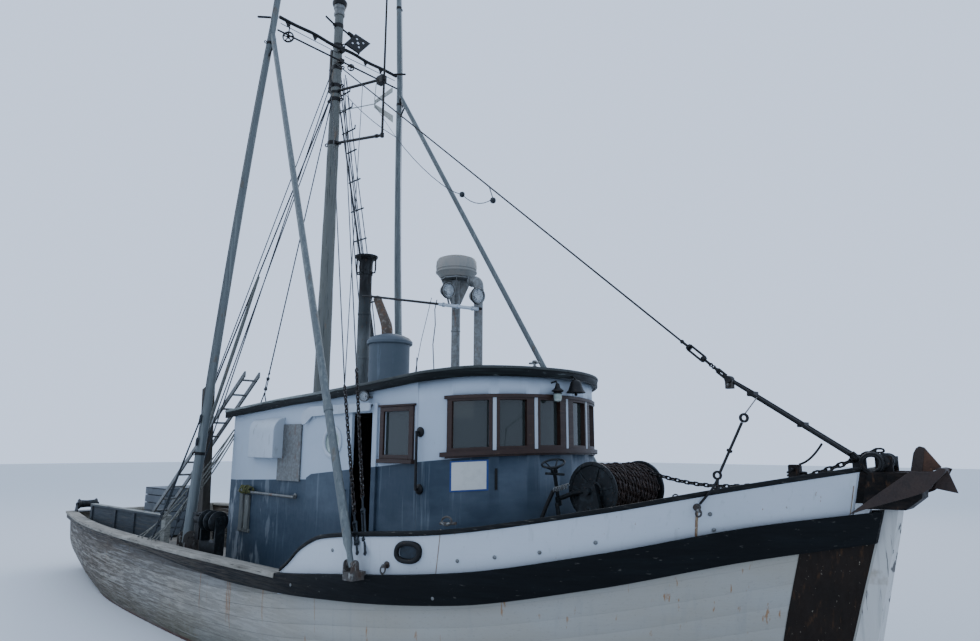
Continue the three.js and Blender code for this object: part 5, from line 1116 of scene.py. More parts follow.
# ---- Mast, crosstree and aerial pipe ----
# A grey fir mast with iron bands and a lamp housing on its head. A black iron crosstree with a
# wire pair below it spreads the poles, and a pipe for aerials stands ahead of it on two arms.
fir_mast = weathered("grey_weathered_fir", "#60625d", [
    ((0.02, 0.02, 0.8), 0.45, 0.62, 0.8, "#5f6462"),
    ((0.015, 0.015, 0.4), 0.58, 0.64, 0.8, "#23282a"),
    ((0.12, 0.12, 0.5), 0.6, 0.68, 0.7, "#6e5c4a"),
    ((0.05, 0.05, 0.12), 0.68, 0.7, 0.8, "#96958c"),
], (0.6, 0.85), grain=(0.008, 0.008, 0.3), relief=0.004)
wire_rope = weathered("greased_wire_rope", "#20262b", [
    (0.02, 0.5, 0.65, 0.6, "#3d454b"),
], (0.4, 0.6), metal=0.4, grain=0.004, relief=0.0005)
MAST_X, MAST_FOOT, MAST_TOP = -1.07, 2.74, 9.28


def mast_radius(z):
    """Radius of the mast, thinner with height."""
    return 0.12 - 0.05 * (np.asarray(z, float) - 2.6) / 6.7


mast_z = np.linspace(MAST_FOOT, MAST_TOP, 40)
uneven = 0.003 * np.sin(mast_z * 3.1) * np.sin(mast_z * 7.7)
mast = piece("mast_pole", *turned(
    list(zip(mast_radius(mast_z) + uneven, mast_z)), (MAST_X, 0, 0), (0, 0, 1), 32,
), fir_mast, slot="old_wood")
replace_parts(mast, "mast")
eyes = []
for z, turns in ((8.70, 3), (8.30, 2), (7.98, 4), (7.74, 2), (6.98, 2)):
    for angle in around(turns, 0.4):
        out = np.array([np.cos(angle), np.sin(angle), 0])
        at = np.array([MAST_X, 0, z]) + out * (mast_radius(z) + 0.035)
        eyes.append(flat_ring(0.018, 0.032, 0.007, at, np.cross(out, (0, 0, 1)), 12))
piece("mast_bands", *several(
    *[flat_ring(mast_radius(z) - 0.006, mast_radius(z) + 0.007, h, (MAST_X, 0, z), (0, 0, 1), 32)
      for z, h in ((9.06, 0.035), (8.70, 0.03), (8.30, 0.035), (7.98, 0.03), (7.86, 0.02), (7.74, 0.03), (6.98, 0.03))],
    *eyes,
    box(MAST_X - 0.135, MAST_X - 0.085, -0.055, 0.055, 7.9, 8.66),
    turned([(0.03, 0), (0.03, 0.02), (0.016, 0.02), (0.016, 0.2)], (MAST_X, -0.08, 9.06), (0.1, -1, 0.28), 12),
    tube([(MAST_X, 0.05, 9.06), (-0.98, 0.16, 8.95), (-0.93, 0.22, 8.9)], 0.016, 10),
    turned([(0.03, 0), (0.034, 0.02), (0.034, 0.09), (0.02, 0.1)], (-0.99, 0.13, 8.98), (0.45, 0.7, -0.5), 10),
), black_iron)
piece("mast_lamp", *turned([
    (0.062, 9.25), (0.085, 9.255), (0.09, 9.275), (0.09, 9.3), (0.083, 9.31), (0.083, 9.36), (0.092, 9.37),
    (0.098, 9.39), (0.092, 9.41), (0.095, 9.43),
], (MAST_X, 0, 0), (0, 0, 1), 28), galvanised)
piece("mast_lamp_cap", *turned([
    (0.085, 9.428), (0.108, 9.432), (0.122, 9.47), (0.122, 9.505), (0.11, 9.525), (0.05, 9.54), (0.022, 9.545),
    (0.018, 9.9), (0.01, 9.91),
], (MAST_X, 0, 0), (0, 0, 1), 28), black_iron)

TREE_X, TREE_Z, TREE_HALF, LEVEL_Z = -0.945, 8.61, 1.149, 8.385
bow = np.linspace(-1, 1, 25)
tree_line = np.stack((np.full(25, TREE_X), bow * TREE_HALF, TREE_Z + 0.014 * np.sin(bow * 9.4) * (1 - bow ** 2)), -1)
lug = [(-0.05, 0.0), (0.05, 0.0), (0.018, -0.055), (0.016, -0.07), (-0.016, -0.07), (-0.018, -0.055)]
lugs = [loft([[(TREE_X + s, y + a, TREE_Z - 0.018 + h) for a, h in lug] for s in (-0.006, 0.006)])
        for y in (-1.0, -0.517, 0.475, 0.8)]
crosstree = piece("crosstree_bars", *several(
    tube(tree_line, 0.0265, 14),
    tube([(TREE_X, -1.166, LEVEL_Z), (TREE_X, 1.166, LEVEL_Z)], 0.0135, 10),
    box(-1.088, -0.925, -0.044, 0.044, LEVEL_Z - 0.025, LEVEL_Z + 0.045),
    box(-1.088, -0.925, -0.044, 0.044, TREE_Z - 0.05, TREE_Z + 0.044),
    tube([(TREE_X, -0.06, 8.5), (TREE_X, -1.12, 8.515)], 0.006, 6),
    tube([(TREE_X, 0.06, 8.5), (TREE_X, 1.12, 8.515)], 0.006, 6),
    *[turned([(0.017, 0), (0.017, 0.19), (0.01, 0.2)], at, way, 10)
      for at, way in (((-1.04, -1.235, 8.6), (-0.68, -0.73, 0)), ((-0.9, 1.07, 8.6), (0.74, 0.67, 0)))],
    *lugs,
), black_iron, sharp=30)
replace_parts(crosstree, "crosstree")


def sheave(at, r, way, spokes=5):
    """A spoked wheel of radius r: a grooved rim, a hub and straight spokes, its axle pointing one way."""
    way = np.array(way, float) / np.linalg.norm(way)
    aside = np.cross(way, (0, 0, 1))
    rim = ring_of([(0.8 * r, -0.012), (0.8 * r, 0.012), (r, 0.014), (0.93 * r, 0), (r, -0.014)], at, way, 28)
    hub = turned([(0.22 * r, -0.02), (0.24 * r, -0.012), (0.24 * r, 0.012), (0.22 * r, 0.02)], at, way, 12)
    arms = [tube([at, np.array(at) + 0.85 * r * (np.cos(a) * aside + np.sin(a) * np.array([0, 0, 1]))], 0.1 * r, 6)
            for a in around(spokes, 0.3)]
    return several(rim, hub, *arms)


piece("mast_sheaves", *several(
    sheave((TREE_X - 0.03, -0.964, 8.375), 0.088, (0.7, -0.71, 0)),
    sheave((TREE_X + 0.04, 0.16, 8.33), 0.058, (0.7, -0.71, 0), 4),
    tube([(TREE_X - 0.03, -0.964, 8.375), (TREE_X, -0.964, TREE_Z)], 0.009, 6),
    tube([(TREE_X + 0.04, 0.16, 8.33), (TREE_X, 0.12, 8.385)], 0.009, 6),
), black_iron)

# A square work lamp with five small lenses looks down from the crosstree on a bent arm.
PANEL = np.array([(-0.94, 0.25, 9.0), (-0.9, 0.53, 8.935), (-0.86, 0.285, 8.63), (-0.9, 0.02, 8.7)])
panel_face = np.cross(PANEL[1] - PANEL[0], PANEL[3] - PANEL[0])
panel_face *= np.sign(panel_face[0]) / np.linalg.norm(panel_face)
panel_centre = PANEL.mean(0)
work_lamp = loft([PANEL, PANEL + 0.02 * (PANEL - panel_centre), PANEL - panel_face * 0.03,
                  panel_centre + 0.7 * (PANEL - panel_centre) - panel_face * 0.055])
piece("work_lamp_case", *several(
    work_lamp, tube([panel_centre - panel_face * 0.05, (-0.96, 0.14, 8.93)], 0.013, 8),
    tube([PANEL[2], (TREE_X, 0.29, TREE_Z)], 0.01, 6),
), black_iron)
lens_spots = [(0, 0, 0.024), (0.42, 0.42, 0.017), (-0.42, 0.42, 0.017), (0.42, -0.42, 0.017), (-0.42, -0.42, 0.017)]
span_a, span_b = (PANEL[1] - PANEL[0]) / 2, (PANEL[3] - PANEL[0]) / 2
piece("work_lamp_lenses", *several(*[
    turned([
        (r, 0.0), (r, 0.008), (0.6 * r, 0.014), (0.1 * r, 0.016),
    ], panel_centre + a * span_a + b * span_b, panel_face, 12) for a, b, r in lens_spots
]), mirror, slot="glass")

PIPE_X = 0.18
aerial = piece("aerial_pipe", *several(
    tube([(PIPE_X, 0, 6.722), (PIPE_X, 0, 8.2), (PIPE_X, 0, 10.598)], [0.019, 0.016, 0.012], 14),
    tube([(MAST_X + 0.08, 0, 6.975), (PIPE_X, 0, 6.742)], 0.0215, 12),
    tube([(MAST_X + 0.08, 0, 7.885), (PIPE_X, 0, 7.652)], 0.0215, 12),
    *[turned([(0.024, -0.035), (0.03, -0.03), (0.03, 0.03), (0.024, 0.035)], (PIPE_X, 0, z), (0, 0, 1), 12)
      for z in (6.742, 7.652)],
    *[turned([(0.026, 0), (0.03, 0.006), (0.03, 0.05), (0.026, 0.056)], at, (1.27, 0, -0.233), 12)
      for at in ((0.02, 0, 6.774), (0.02, 0, 7.684))],
), black_iron)
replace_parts(aerial, "mast_pipe")
eased_edges(piece("aerial_junction", *several(
    box(0.055, 0.19, -0.05, 0.045, 7.585, 7.71),
    tube([(0.08, -0.06, 7.67), (0.1, -0.07, 7.58), (0.18, -0.05, 7.53)], 0.008, 6),
), black_iron), 0.006)
piece("aerial_vane", *several(
    tube([(-0.4, 0.28, 7.6), (-0.4, 0.3, 7.9)], 0.007, 6),
    loft([[(-0.42, 0.29, 7.57), (-0.42, 0.31, 7.57), (-0.42, 0.31, 7.62), (-0.42, 0.29, 7.62)],
          [(0.01, 0.29, 7.62), (0.01, 0.31, 7.62), (0.01, 0.31, 7.69), (0.01, 0.29, 7.69)]]),
    loft([[(-0.42, 0.29, 7.5), (-0.42, 0.31, 7.5), (-0.42, 0.31, 7.57), (-0.42, 0.29, 7.57)],
          [(0.04, 0.29, 7.1), (0.04, 0.31, 7.1), (0.04, 0.31, 7.22), (0.04, 0.29, 7.22)]]),
    tube([(-0.42, 0.3, 7.57), (MAST_X, 0.1, 7.6)], 0.008, 6),
), cream_plastic, slot="white_plastic")

# A wire ladder with iron rungs runs from the mast down to the roof, beside it a length of chain.
LADDER_LEFT = np.array([
    (-1.0, 0.1, 8.143), (-0.756, 0.1, 6.59), (-0.529, 0.1, 5.154), (-0.2, 0.05, 3.86), (-0.02, 0.02, 2.97),
])
LADDER_RIGHT = [
    (-0.857, 0.1, 7.778), (-0.508, 0.1, 6.255), (-0.221, 0.1, 5.094), (0.1, 0.05, 3.86), (0.27, 0.02, 2.97),
]
RUNGS = [(-1.102, -0.823, 7.855), (-1.08, -0.744, 7.555), (-0.97, -0.642, 7.15), (-0.847, -0.58, 6.78),
         (-0.734, -0.45, 6.26), (-0.643, -0.34, 5.76), (-0.537, -0.24, 5.265), (-0.44, -0.1, 4.76), (-0.31, 0.02, 4.26)]
piece("wire_ladder", *several(
    tube(LADDER_LEFT, 0.007, 8), tube(LADDER_RIGHT, 0.007, 8),
    tube([(-0.857, 0.1, 7.778), (-0.97, 0.1, 8.2)], 0.007, 8),
    tube(LADDER_LEFT + (0.05, 0.02, 0), 0.004, 6),
    *[tube([(a, 0.1, z), (b, 0.1, z)], 0.012, 8) for a, b, z in RUNGS],
    *[tube([(b, 0.1, z), (b + 0.005, 0.1, z + 0.06)], 0.01, 8) for a, b, z in RUNGS[:3]],
), wire_rope)

# ---- Trolling poles and their braces ----
# Long tapered poles of dull metal pipe, each with a brace pinned beside it, so that both fold
# out together. Bands with eyes carry the fishing lines; rusty fork brackets hold the heels.
pole_metal = weathered("dull_metal_pipe", "#5a6162", [
    ((0.03, 0.03, 1.4), 0.5, 0.65, 0.6, "#7a807e"),
    ((0.025, 0.025, 0.7), 0.56, 0.66, 0.7, "#454c4e"),
    ((0.12, 0.12, 0.3), 0.62, 0.68, 0.6, "#5a5044"),
], (0.42, 0.62), metal=0.3, grain=(0.006, 0.006, 0.25), relief=0.0008)
rusty_iron = weathered("rusted_cast_steel", "#4a4744", [
    ((0.06, 0.06, 0.08), 0.48, 0.64, 0.7, "#4a392d"),
    ((0.03, 0.03, 0.04), 0.52, 0.66, 0.8, "#201d1b"),
    ((0.04, 0.04, 0.07), 0.58, 0.64, 0.8, "#8b8c88"),
], (0.6, 0.85), metal=0.2, grain=0.012, relief=0.0015, gloss=0.25)
POLE_HEEL, POLE_MEET = np.array([-1.2, -1.8, 1.043]), np.array([-0.95, -1.24, 8.36])
POLE_TOP_Z, POLE_R, POLE_TIP_R, POLE_BOW = 13.3, 0.064, 0.034, 0.1
pole_way = (POLE_MEET - POLE_HEEL) / np.linalg.norm(POLE_MEET - POLE_HEEL)


def on_pole(z):
    """Middle of the pole at a height: straight, but bowed aft by POLE_BOW * sin(pi * s)^0.8 below the crosstree."""
    share = np.clip((z - POLE_HEEL[2]) / (POLE_MEET[2] - POLE_HEEL[2]), 0, 1)
    bowed = np.array([POLE_BOW * np.sin(np.pi * share) ** 0.8, 0, 0])
    return POLE_HEEL + pole_way * ((z - POLE_HEEL[2]) / pole_way[2]) - bowed


def pole_radius(z):
    """Radius of the pole, which tapers evenly from heel to tip."""
    return POLE_R + (POLE_TIP_R - POLE_R) * (z - POLE_HEEL[2]) / (POLE_TOP_Z - POLE_HEEL[2])


spar_z = np.concatenate(([0.99], np.linspace(POLE_HEEL[2], 9.2, 34), np.linspace(9.4, POLE_TOP_Z, 16)))
pole_spar = tube([on_pole(z) for z in spar_z], pole_radius(spar_z) + 0.0015 * np.sin(1.6 * spar_z), 28)
BRACE_HEEL, BRACE_MEET = np.array([2.79, -2.22, 1.215]), np.array([-0.95, -1.24, 8.30])
brace_way = (BRACE_MEET - BRACE_HEEL) / np.linalg.norm(BRACE_MEET - BRACE_HEEL)
brace_span = np.linalg.norm(BRACE_MEET - BRACE_HEEL) + 0.03
brace_spar = turned([
    (0.022, -0.03), (0.026, 0), (0.026, 0.115), (0.0405, 0.185), (0.0405, 1.5), (0.047, 1.505), (0.047, 1.57),
    (0.0405, 1.575), (0.0385, 0.6 * brace_span), (0.036, brace_span - 0.03), (0.028, brace_span),
], BRACE_HEEL, brace_way, 24)
bands = []
for z in (2.1, 8.12, 9.9, 11.6, 13.15):
    at, r = on_pole(z), pole_radius(z)
    bands += [
        flat_ring(r - 0.004, r + 0.005, 0.02, at, pole_way, 24),
        flat_ring(0.014, 0.024, 0.005, at + (0, -r - 0.024, 0), (1, 0, 0), 12),
    ]
saddle = [tube([on_pole(8.12) + (0, -0.005, 0), BRACE_MEET + (0.06, 0.02, -0.1)], 0.02, 10),
          tube([on_pole(7.9) + (0.05, 0, 0), BRACE_HEEL + brace_way * (brace_span - 0.3)], 0.014, 8)]
line_z = np.linspace(13.12, 2.2, 24)
fishing_line = tube([on_pole(z) + (pole_radius(z) + 0.012) * np.array([0.25, -1, 0]) for z in line_z], 0.0045, 6)
clasps = [turned([(0.012, 0), (0.018, 0.02), (0.018, 0.09), (0.01, 0.11)],
                 on_pole(z) + (0.02, -pole_radius(z) - 0.016, 0), pole_way, 8) for z in (2.2, 2.5)]
for side, turned_over in both_sides:
    body = f"pole_{side}"
    for name, shape, stood_for in (("pole_spar", pole_spar, "trolling_pole"), ("brace_spar", brace_spar, "pole_brace")):
        made = piece(f"{name}_{side}", *turned_over(shape), pole_metal, body, "galvanised")
        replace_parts(made, f"{stood_for}_{side}")
    piece(f"pole_bands_{side}", *turned_over(several(*bands, *saddle)), black_iron, body, "dark_steel")
    piece(f"fishing_line_{side}", *turned_over(several(fishing_line, *clasps)), wire_rope, body, "dark_steel")
    dress(rusty_iron, f"pole_step_{side}", f"brace_step_{side}")

# ---- Shrouds, stays and chains ----
# Greased wire holds the mast, set up by turnbuckles; the forestay ends in two long bars at the
# bow. Chains run up from the starboard brace bracket to roof height, and wires go on aloft.


def between(start, end, *shares):
    """Points at shares of the way from one point to another."""
    start, end = np.array(start, float), np.array(end, float)
    return [start + (end - start) * s for s in shares]


def turnbuckle(start, end, width=0.018, rod_radius=0.006):
    """A rigging screw between two points: a screw with an eye at each end, two side rods and two nuts."""
    start, end = np.array(start, float), np.array(end, float)
    way = (end - start) / np.linalg.norm(end - start)
    aside = np.cross(way, (0, 1, 0))
    aside /= np.linalg.norm(aside)
    a, b = between(start, end, 0.24, 0.76)
    return several(
        tube([start, a + way * 0.03], rod_radius * 1.15, 8), tube([b - way * 0.03, end], rod_radius * 1.15, 8),
        *[tube([a + aside * width * s, b + aside * width * s], rod_radius, 8) for s in (-1, 1)],
        *[turned([
            (0.6 * width, -0.016), (1.25 * width, -0.012), (1.25 * width, 0.012), (0.6 * width, 0.016),
        ], at, way, 8) for at in (a, b)],
        *[flat_ring(0.011, 0.02, 0.005, at, np.cross(way, aside), 12) for at in (start, end)],
    )


def chain(path, pitch, wire, stretch=1.0):
    """Links along a path, each a quarter turn from the last. A link is a round wire bent to an oblong:
    along = (a-b) * cos clipped flat + b * cos, across = b * sin, ten corners by five round the wire."""
    path = np.asarray(path, float)
    steps = np.linalg.norm(np.diff(path, axis=0), axis=1)
    far = np.concatenate(([0], np.cumsum(steps)))
    count = max(2, int(round(far[-1] / pitch)))
    at = (np.arange(count) + 0.5) * far[-1] / count
    middle, before, after = (
        np.stack([np.interp(at + step, far, path[:, k]) for k in range(3)], -1) for step in (0, -0.01, 0.01)
    )
    ahead = after - before
    ahead /= np.linalg.norm(ahead, axis=1, keepdims=True)
    aside = np.cross(ahead, np.eye(3)[np.argmin(np.abs(ahead).mean(0))])
    aside /= np.linalg.norm(aside, axis=1, keepdims=True)
    third = np.cross(ahead, aside)
    turn = (np.arange(count) % 2 * np.pi / 2 + 0.4)[:, None]
    flat, upright = np.cos(turn) * aside + np.sin(turn) * third, np.cos(turn) * third - np.sin(turn) * aside
    t = around(10)
    long, wide = pitch * stretch / 2 + wire, 1.55 * wire * 1.25
    along = (long - wide) * np.clip(1.8 * np.cos(t), -1, 1) + wide * np.cos(t)
    across = wide * np.sin(t)
    out = np.stack((np.cos(t), np.sin(t)), -1)
    s = around(5)
    u = along[:, None] + wire * np.cos(s) * out[:, :1]
    v = across[:, None] + wire * np.cos(s) * out[:, 1:]
    w = np.broadcast_to(wire * np.sin(s), u.shape)
    points = (middle[:, None, None] + u[..., None] * ahead[:, None, None] + v[..., None] * flat[:, None, None]
              + w[..., None] * upright[:, None, None])
    one = np.array(sheet_faces(10, 5, round_rows=True, round_columns=True))
    faces = (one[None] + (np.arange(count) * 50)[:, None, None]).reshape(-1, 4)
    return points.reshape(-1, 3), faces[:, ::-1].tolist()


def hanging(start, end, sag, count=24):
    """A line held at its ends: it falls below the straight one by 4 * sag * s * (1 - s)."""
    s = np.linspace(0, 1, count)[:, None]
    start, end = np.array(start, float), np.array(end, float)
    return start + (end - start) * s - np.array([0, 0, 4 * sag]) * s * (1 - s)


# Black chain with brown rust spots; its light grey spots are painted highlights on the links.
old_chain_iron = weathered("black_chain_with_painted_highlights", "#15110f", [
    (0.02, 0.5, 0.6, 0.7, "#3a2b22"),
    (0.015, 0.58, 0.64, 0.8, "#8a8c8c"),
], (0.4, 0.65), metal=0.3, grain=0.006, relief=0.0006, gloss=0.3)
SHROUD_FOOT, SHROUD_TOP = (-1.7, -2.05, 0.97), (-1.07, -0.02, 7.98)
foot, low, high, top = between(SHROUD_FOOT, SHROUD_TOP, 0.0, 0.02, 0.06, 1.0)
shroud = several(
    tube([high, top], 0.011, 8), turnbuckle(low, high, 0.022, 0.008), tube([foot, low], 0.012, 8),
    tube([high + (0.05, 0, 0), np.array(SHROUD_TOP) + (0, -0.05, 0.3)], 0.008, 6),
    flat_ring(0.018, 0.034, 0.012, foot, (1, 0, 0), 14),
)
batten_top = between(SHROUD_FOOT, SHROUD_TOP, 0.525)[0] + (0.02, 0, 0)
batten = tube(between(batten_top, (-1.45, -1.56, 2.33), 0, 0.35, 1.0), [0.018, 0.026, 0.022], 10)
inner_shrouds = [
    several(turnbuckle(*between(a, b, 0.02, 0.08)), tube(between(a, b, 0.0, 0.02), 0.01, 8),
            tube(between(a, b, 0.08, 1), r, 8))
    for a, b, r in (
        ((-1.46, -1.9, 1.0), (-1.07, -0.03, 7.95), 0.0085), ((-1.4, -1.84, 1.0), (-1.07, -0.02, 8.3), 0.0085),
    )
]
roof_stay = several(
    turnbuckle(*between((-0.35, -1.34, 2.86), (-1.07, -0.06, 7.75), 0.0, 0.055)),
    tube(between((-0.35, -1.34, 2.86), (-1.07, -0.06, 7.75), 0.055, 1), 0.0085, 8),
    tube([(-0.43, -1.35, 2.72), (-0.35, -1.34, 2.87), (-0.27, -1.35, 2.72)], 0.008, 8),
)
brace_foot, chain_top = (2.79, -2.16, 1.3), (1.87, -1.70, 2.82)
second_foot, second_top = (2.86, -2.13, 1.3), (-0.94, 0.05, 7.98)
second_mid = between(second_foot, second_top, 0.255)[0]
chain_wires = several(
    tube([chain_top, (-1.0, -0.12, 7.74)], 0.0065, 6), tube([chain_top, (-0.35, 0, 7.74)], 0.005, 6),
    tube([second_mid, second_top], 0.0065, 6),
    turnbuckle(brace_foot, between(brace_foot, chain_top, 0.2)[0], 0.02, 0.009),
    turnbuckle(second_foot, between(second_foot, second_mid, 0.26)[0], 0.02, 0.009),
)
stay_chains = several(
    chain(between(brace_foot, chain_top, 0.2, 1.0), 0.043, 0.0078),
    chain(between(second_foot, second_mid, 0.26, 1.0), 0.043, 0.0078),
)
for side, turned_over in both_sides:
    made = piece(f"shroud_wires_{side}", *turned_over(shroud), wire_rope)
    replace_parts(made, f"shroud_{side}")
    piece(f"shroud_batten_{side}", *turned_over(batten), fir_mast, slot="old_wood")
    piece(f"inner_shrouds_{side}", *turned_over(several(*inner_shrouds)), wire_rope)
piece("roof_stay", *roof_stay, wire_rope)
piece("chain_wires", *chain_wires, wire_rope)
piece("stay_chains", *stay_chains, old_chain_iron, slot="rusty_steel")

STAY_TOP, KNUCKLE, BAR_FOOT = (-1.05, -0.07, 8.385), np.array([5.25, 0, 2.8]), (6.25, 0, 2.12)
stay_low = between(KNUCKLE, STAY_TOP, 0.0, 0.012, 0.022, 0.026, 0.069, 1.0)
BAR_START = between(KNUCKLE, BAR_FOOT, 0.2)[0]
forestay = piece("forestay_wire", *several(
    tube([stay_low[4], stay_low[5]], 0.0095, 10),
    turnbuckle(stay_low[3], stay_low[4], 0.024, 0.011),
    turnbuckle(KNUCKLE, stay_low[2], 0.014, 0.012),
    *[tube([BAR_START + (0, y, 0), np.array(BAR_FOOT) + (0, y, 0)], 0.017, 10) for y in (-0.045, 0.045)],
    box(6.2, 6.3, -0.012, 0.012, 2.0, 2.15),
    *[box(x - 0.03, x + 0.03, -0.055, 0.055, z - 0.02, z + 0.02) for x, z in
      [(p[0], p[2]) for p in between(BAR_START, BAR_FOOT, 0.0, 0.5, 0.97)]],
    turned([(0.03, -0.045), (0.036, -0.03), (0.036, 0.03), (0.03, 0.045)], KNUCKLE, (0, 1, 0), 16),
    tube([KNUCKLE, BAR_START], 0.014, 8), tube([KNUCKLE + (0.02, 0.03, 0), BAR_START + (0, 0.03, 0.02)], 0.007, 6),
), black_iron, sharp=30)
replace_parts(forestay, "forestay")
eased_edges(piece("forestay_block", *several(
    box(5.215, 5.285, -0.025, 0.025, 2.72, 2.795), tube([(5.25, 0, 2.78), (5.25, 0, 2.81)], 0.011, 8),
    turned([(0.018, -0.035), (0.024, 0), (0.018, 0.035)], (5.25, 0, 2.75), (0, 1, 0), 10),
), rusty_iron, slot="rusty_steel"), 0.008)
small_line = [np.array([(-1.0, 0.1, 7.9)])]
for end, sag, count in (
    ((0.258, 0.2, 6.752), 0.06, 6), ((1.264, 0.2, 5.747), 0.05, 6), ((1.664, 0.2, 5.498), 0.02, 4),
    ((2.29, 0.12, 5.262), 0.09, 8),
):
    small_line.append(hanging(small_line[-1][-1], end, sag, count)[1:])
block_hulls = [turned([(0.012, -0.03), (0.034, -0.022), (0.04, 0), (0.034, 0.022), (0.012, 0.03)], at,
                      (0.3, 1, 0.2), 12) for at in ((1.664, 0.2, 5.498), (2.29, 0.12, 5.24))]
piece("small_stay_line", *several(
    tube(np.concatenate(small_line), 0.0055, 6), *block_hulls, tube([(2.29, 0.12, 5.262), (2.33, 0.0, 5.39)], 0.006, 6),
    tube([(0.258, 0.2, 6.752), (-0.42, 0.29, 7.55)], 0.0035, 6),
), wire_rope)
eye_rod = [np.array([5.57, -1.06, 1.985]), np.array([5.74, -0.93, 2.42])]
piece("bow_eye_rod", *several(
    tube(between(*eye_rod, 0.08, 0.92), 0.011, 8),
    flat_ring(0.018, 0.034, 0.008, eye_rod[0] + (0, 0, 0.02), (0.7, -0.7, 0), 14),
    flat_ring(0.018, 0.036, 0.008, eye_rod[1], (0.7, -0.7, 0), 14),
    turned([(0.02, -0.01), (0.024, 0), (0.02, 0.01)], between(*eye_rod, 0.45)[0], eye_rod[1] - eye_rod[0], 8),
    turned([(0.024, -0.084), (0.024, -0.07), (0.012, -0.066), (0.012, 0.0)], eye_rod[0], (0.05, 0.1, 1), 12),
    tube([eye_rod[1] + (0.005, 0.01, 0.03), BAR_START + (0.05, -0.03, -0.03)], 0.0055, 6),
    tube([eye_rod[0] + (0, 0, -0.01), eye_rod[0] + (-0.02, -0.06, -0.08), skin(5.4, 1.80, 0.02)], 0.009, 8),
), black_iron)

# A light metal ladder stands on the after deck and rests on the edge of the roof.
LADDER_TOP, LADDER_FOOT = np.array([-0.85, 0, 3.155]), np.array([-4.18, 0, 0.585])
steps_at = np.linspace(0.03, 0.97, 14)
deck_ladder = several(
    *[loft([[p + (0, y + a, b) for a, b in ((-0.012, -0.035), (0.012, -0.035), (0.012, 0.035), (-0.012, 0.035))]
            for p in (LADDER_TOP, LADDER_FOOT)]) for y in (-1.15, -1.36)],
    *[tube([p + (0, -1.15, 0), p + (0, -1.36, 0)], 0.014, 8) for p in between(LADDER_TOP, LADDER_FOOT, *steps_at)],
)
piece("deck_ladder", *deck_ladder, galvanised)

# Worn grey ropes hang between the after corner of the house and the rail.
rope_grey = weathered("grey_worn_rope", "#5b5c57", [
    (0.02, 0.45, 0.6, 0.7, "#8a8a82"),
], (0.7, 0.9), grain=0.01)
piece("slack_ropes", *several(*[
    tube(hanging(start, end, sag, 22), 0.009, 6) for start, end, sag in (
        ((-1.14, -1.305, 2.42), (-1.5, -2.08, 1.004), 0.05), ((-1.14, -1.305, 2.36), (-1.62, -2.08, 1.004), 0.12),
        ((-1.14, -1.305, 2.3), (-1.74, -2.08, 1.004), 0.18), ((-1.14, -1.305, 2.42), (-1.95, -2.07, 1.004), 0.08),
        ((-1.14, -1.305, 2.34), (-2.1, -2.06, 1.004), 0.15),
    )
]), rope_grey, slot="galvanised")

# ---- Anchor winch ----
# A cast drum between two dished flanges on black A-frames, wound full of old brown chain, with
# a hand wheel for its brake on the near side and a chain that runs forward to the bow roller.
old_chain = weathered("brown_greased_chain", "#231b18", [
    (0.04, 0.45, 0.62, 0.7, "#3b2c25"),
    (0.02, 0.6, 0.68, 0.7, "#5b4a41"),
], (0.45, 0.7), metal=0.35, grain=0.01)
worn_iron = weathered("worn_black_iron", "#14181a", [
    (0.05, 0.5, 0.66, 0.7, "#2c3336"),
    (0.02, 0.62, 0.68, 0.7, "#4a3a30"),
], (0.38, 0.62), metal=0.4, grain=0.01)
WINCH_AT, FLANGE_Y, FLANGE_R, CORE_R = np.array([4.06, 0, 1.8]), 0.43, 0.27, 0.185
half_drum = [
    (CORE_R, 0.0), (CORE_R, FLANGE_Y - 0.0125), (0.262, FLANGE_Y - 0.0125), (FLANGE_R, FLANGE_Y - 0.006),
    (FLANGE_R, FLANGE_Y + 0.01), (0.262, FLANGE_Y + 0.0125), (0.236, FLANGE_Y + 0.0125), (0.228, FLANGE_Y + 0.004),
    (0.1, FLANGE_Y + 0.002), (0.09, FLANGE_Y + 0.0125), (0.04, FLANGE_Y + 0.0125), (0.032, FLANGE_Y + 0.02),
    (0.032, 0.548),
]
drum_profile = [(r, -y) for r, y in half_drum[::-1]] + half_drum[1:]
bolt_turn = around(12)
drum = piece("winch_drum_casting", *several(
    turned(drum_profile, WINCH_AT, (0, 1, 0), 56),
    *[turned([(0.011, 0), (0.011, 0.007), (0.007, 0.009)],
             WINCH_AT + (0.249 * np.cos(a), s * (FLANGE_Y + 0.011), 0.249 * np.sin(a)), (0, s, 0), 6)
      for a in bolt_turn for s in (-1, 1)],
    *[loft([[WINCH_AT + (r * np.cos(a) + w * np.sin(a), s * y, r * np.sin(a) - w * np.cos(a)) for r, w in
             ((0.085, -0.012), (0.23, -0.008), (0.23, 0.008), (0.085, 0.012))]
            for y in (FLANGE_Y + 0.002, FLANGE_Y + 0.0115)]) for a in bolt_turn[::2] + 0.2 for s in (-1, 1)],
), worn_iron, "winch_drum", "rusty_steel", sharp=30)
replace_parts(drum, "winch_drum")


def wound(radius, turns, half, sway):
    """A helix round the drum: the angle goes round evenly and the place along it from side to side, with a
    small sway."""
    s = np.linspace(0, 1, int(turns * 48))
    angle = 2 * np.pi * turns * s
    r = radius + sway * np.sin(7.3 * angle) * np.sin(2.1 * angle)
    y = half * (2 * s - 1) + 0.5 * sway * np.sin(11 * angle)
    return WINCH_AT + np.stack((r * np.cos(angle), y, -r * np.sin(angle)), -1)


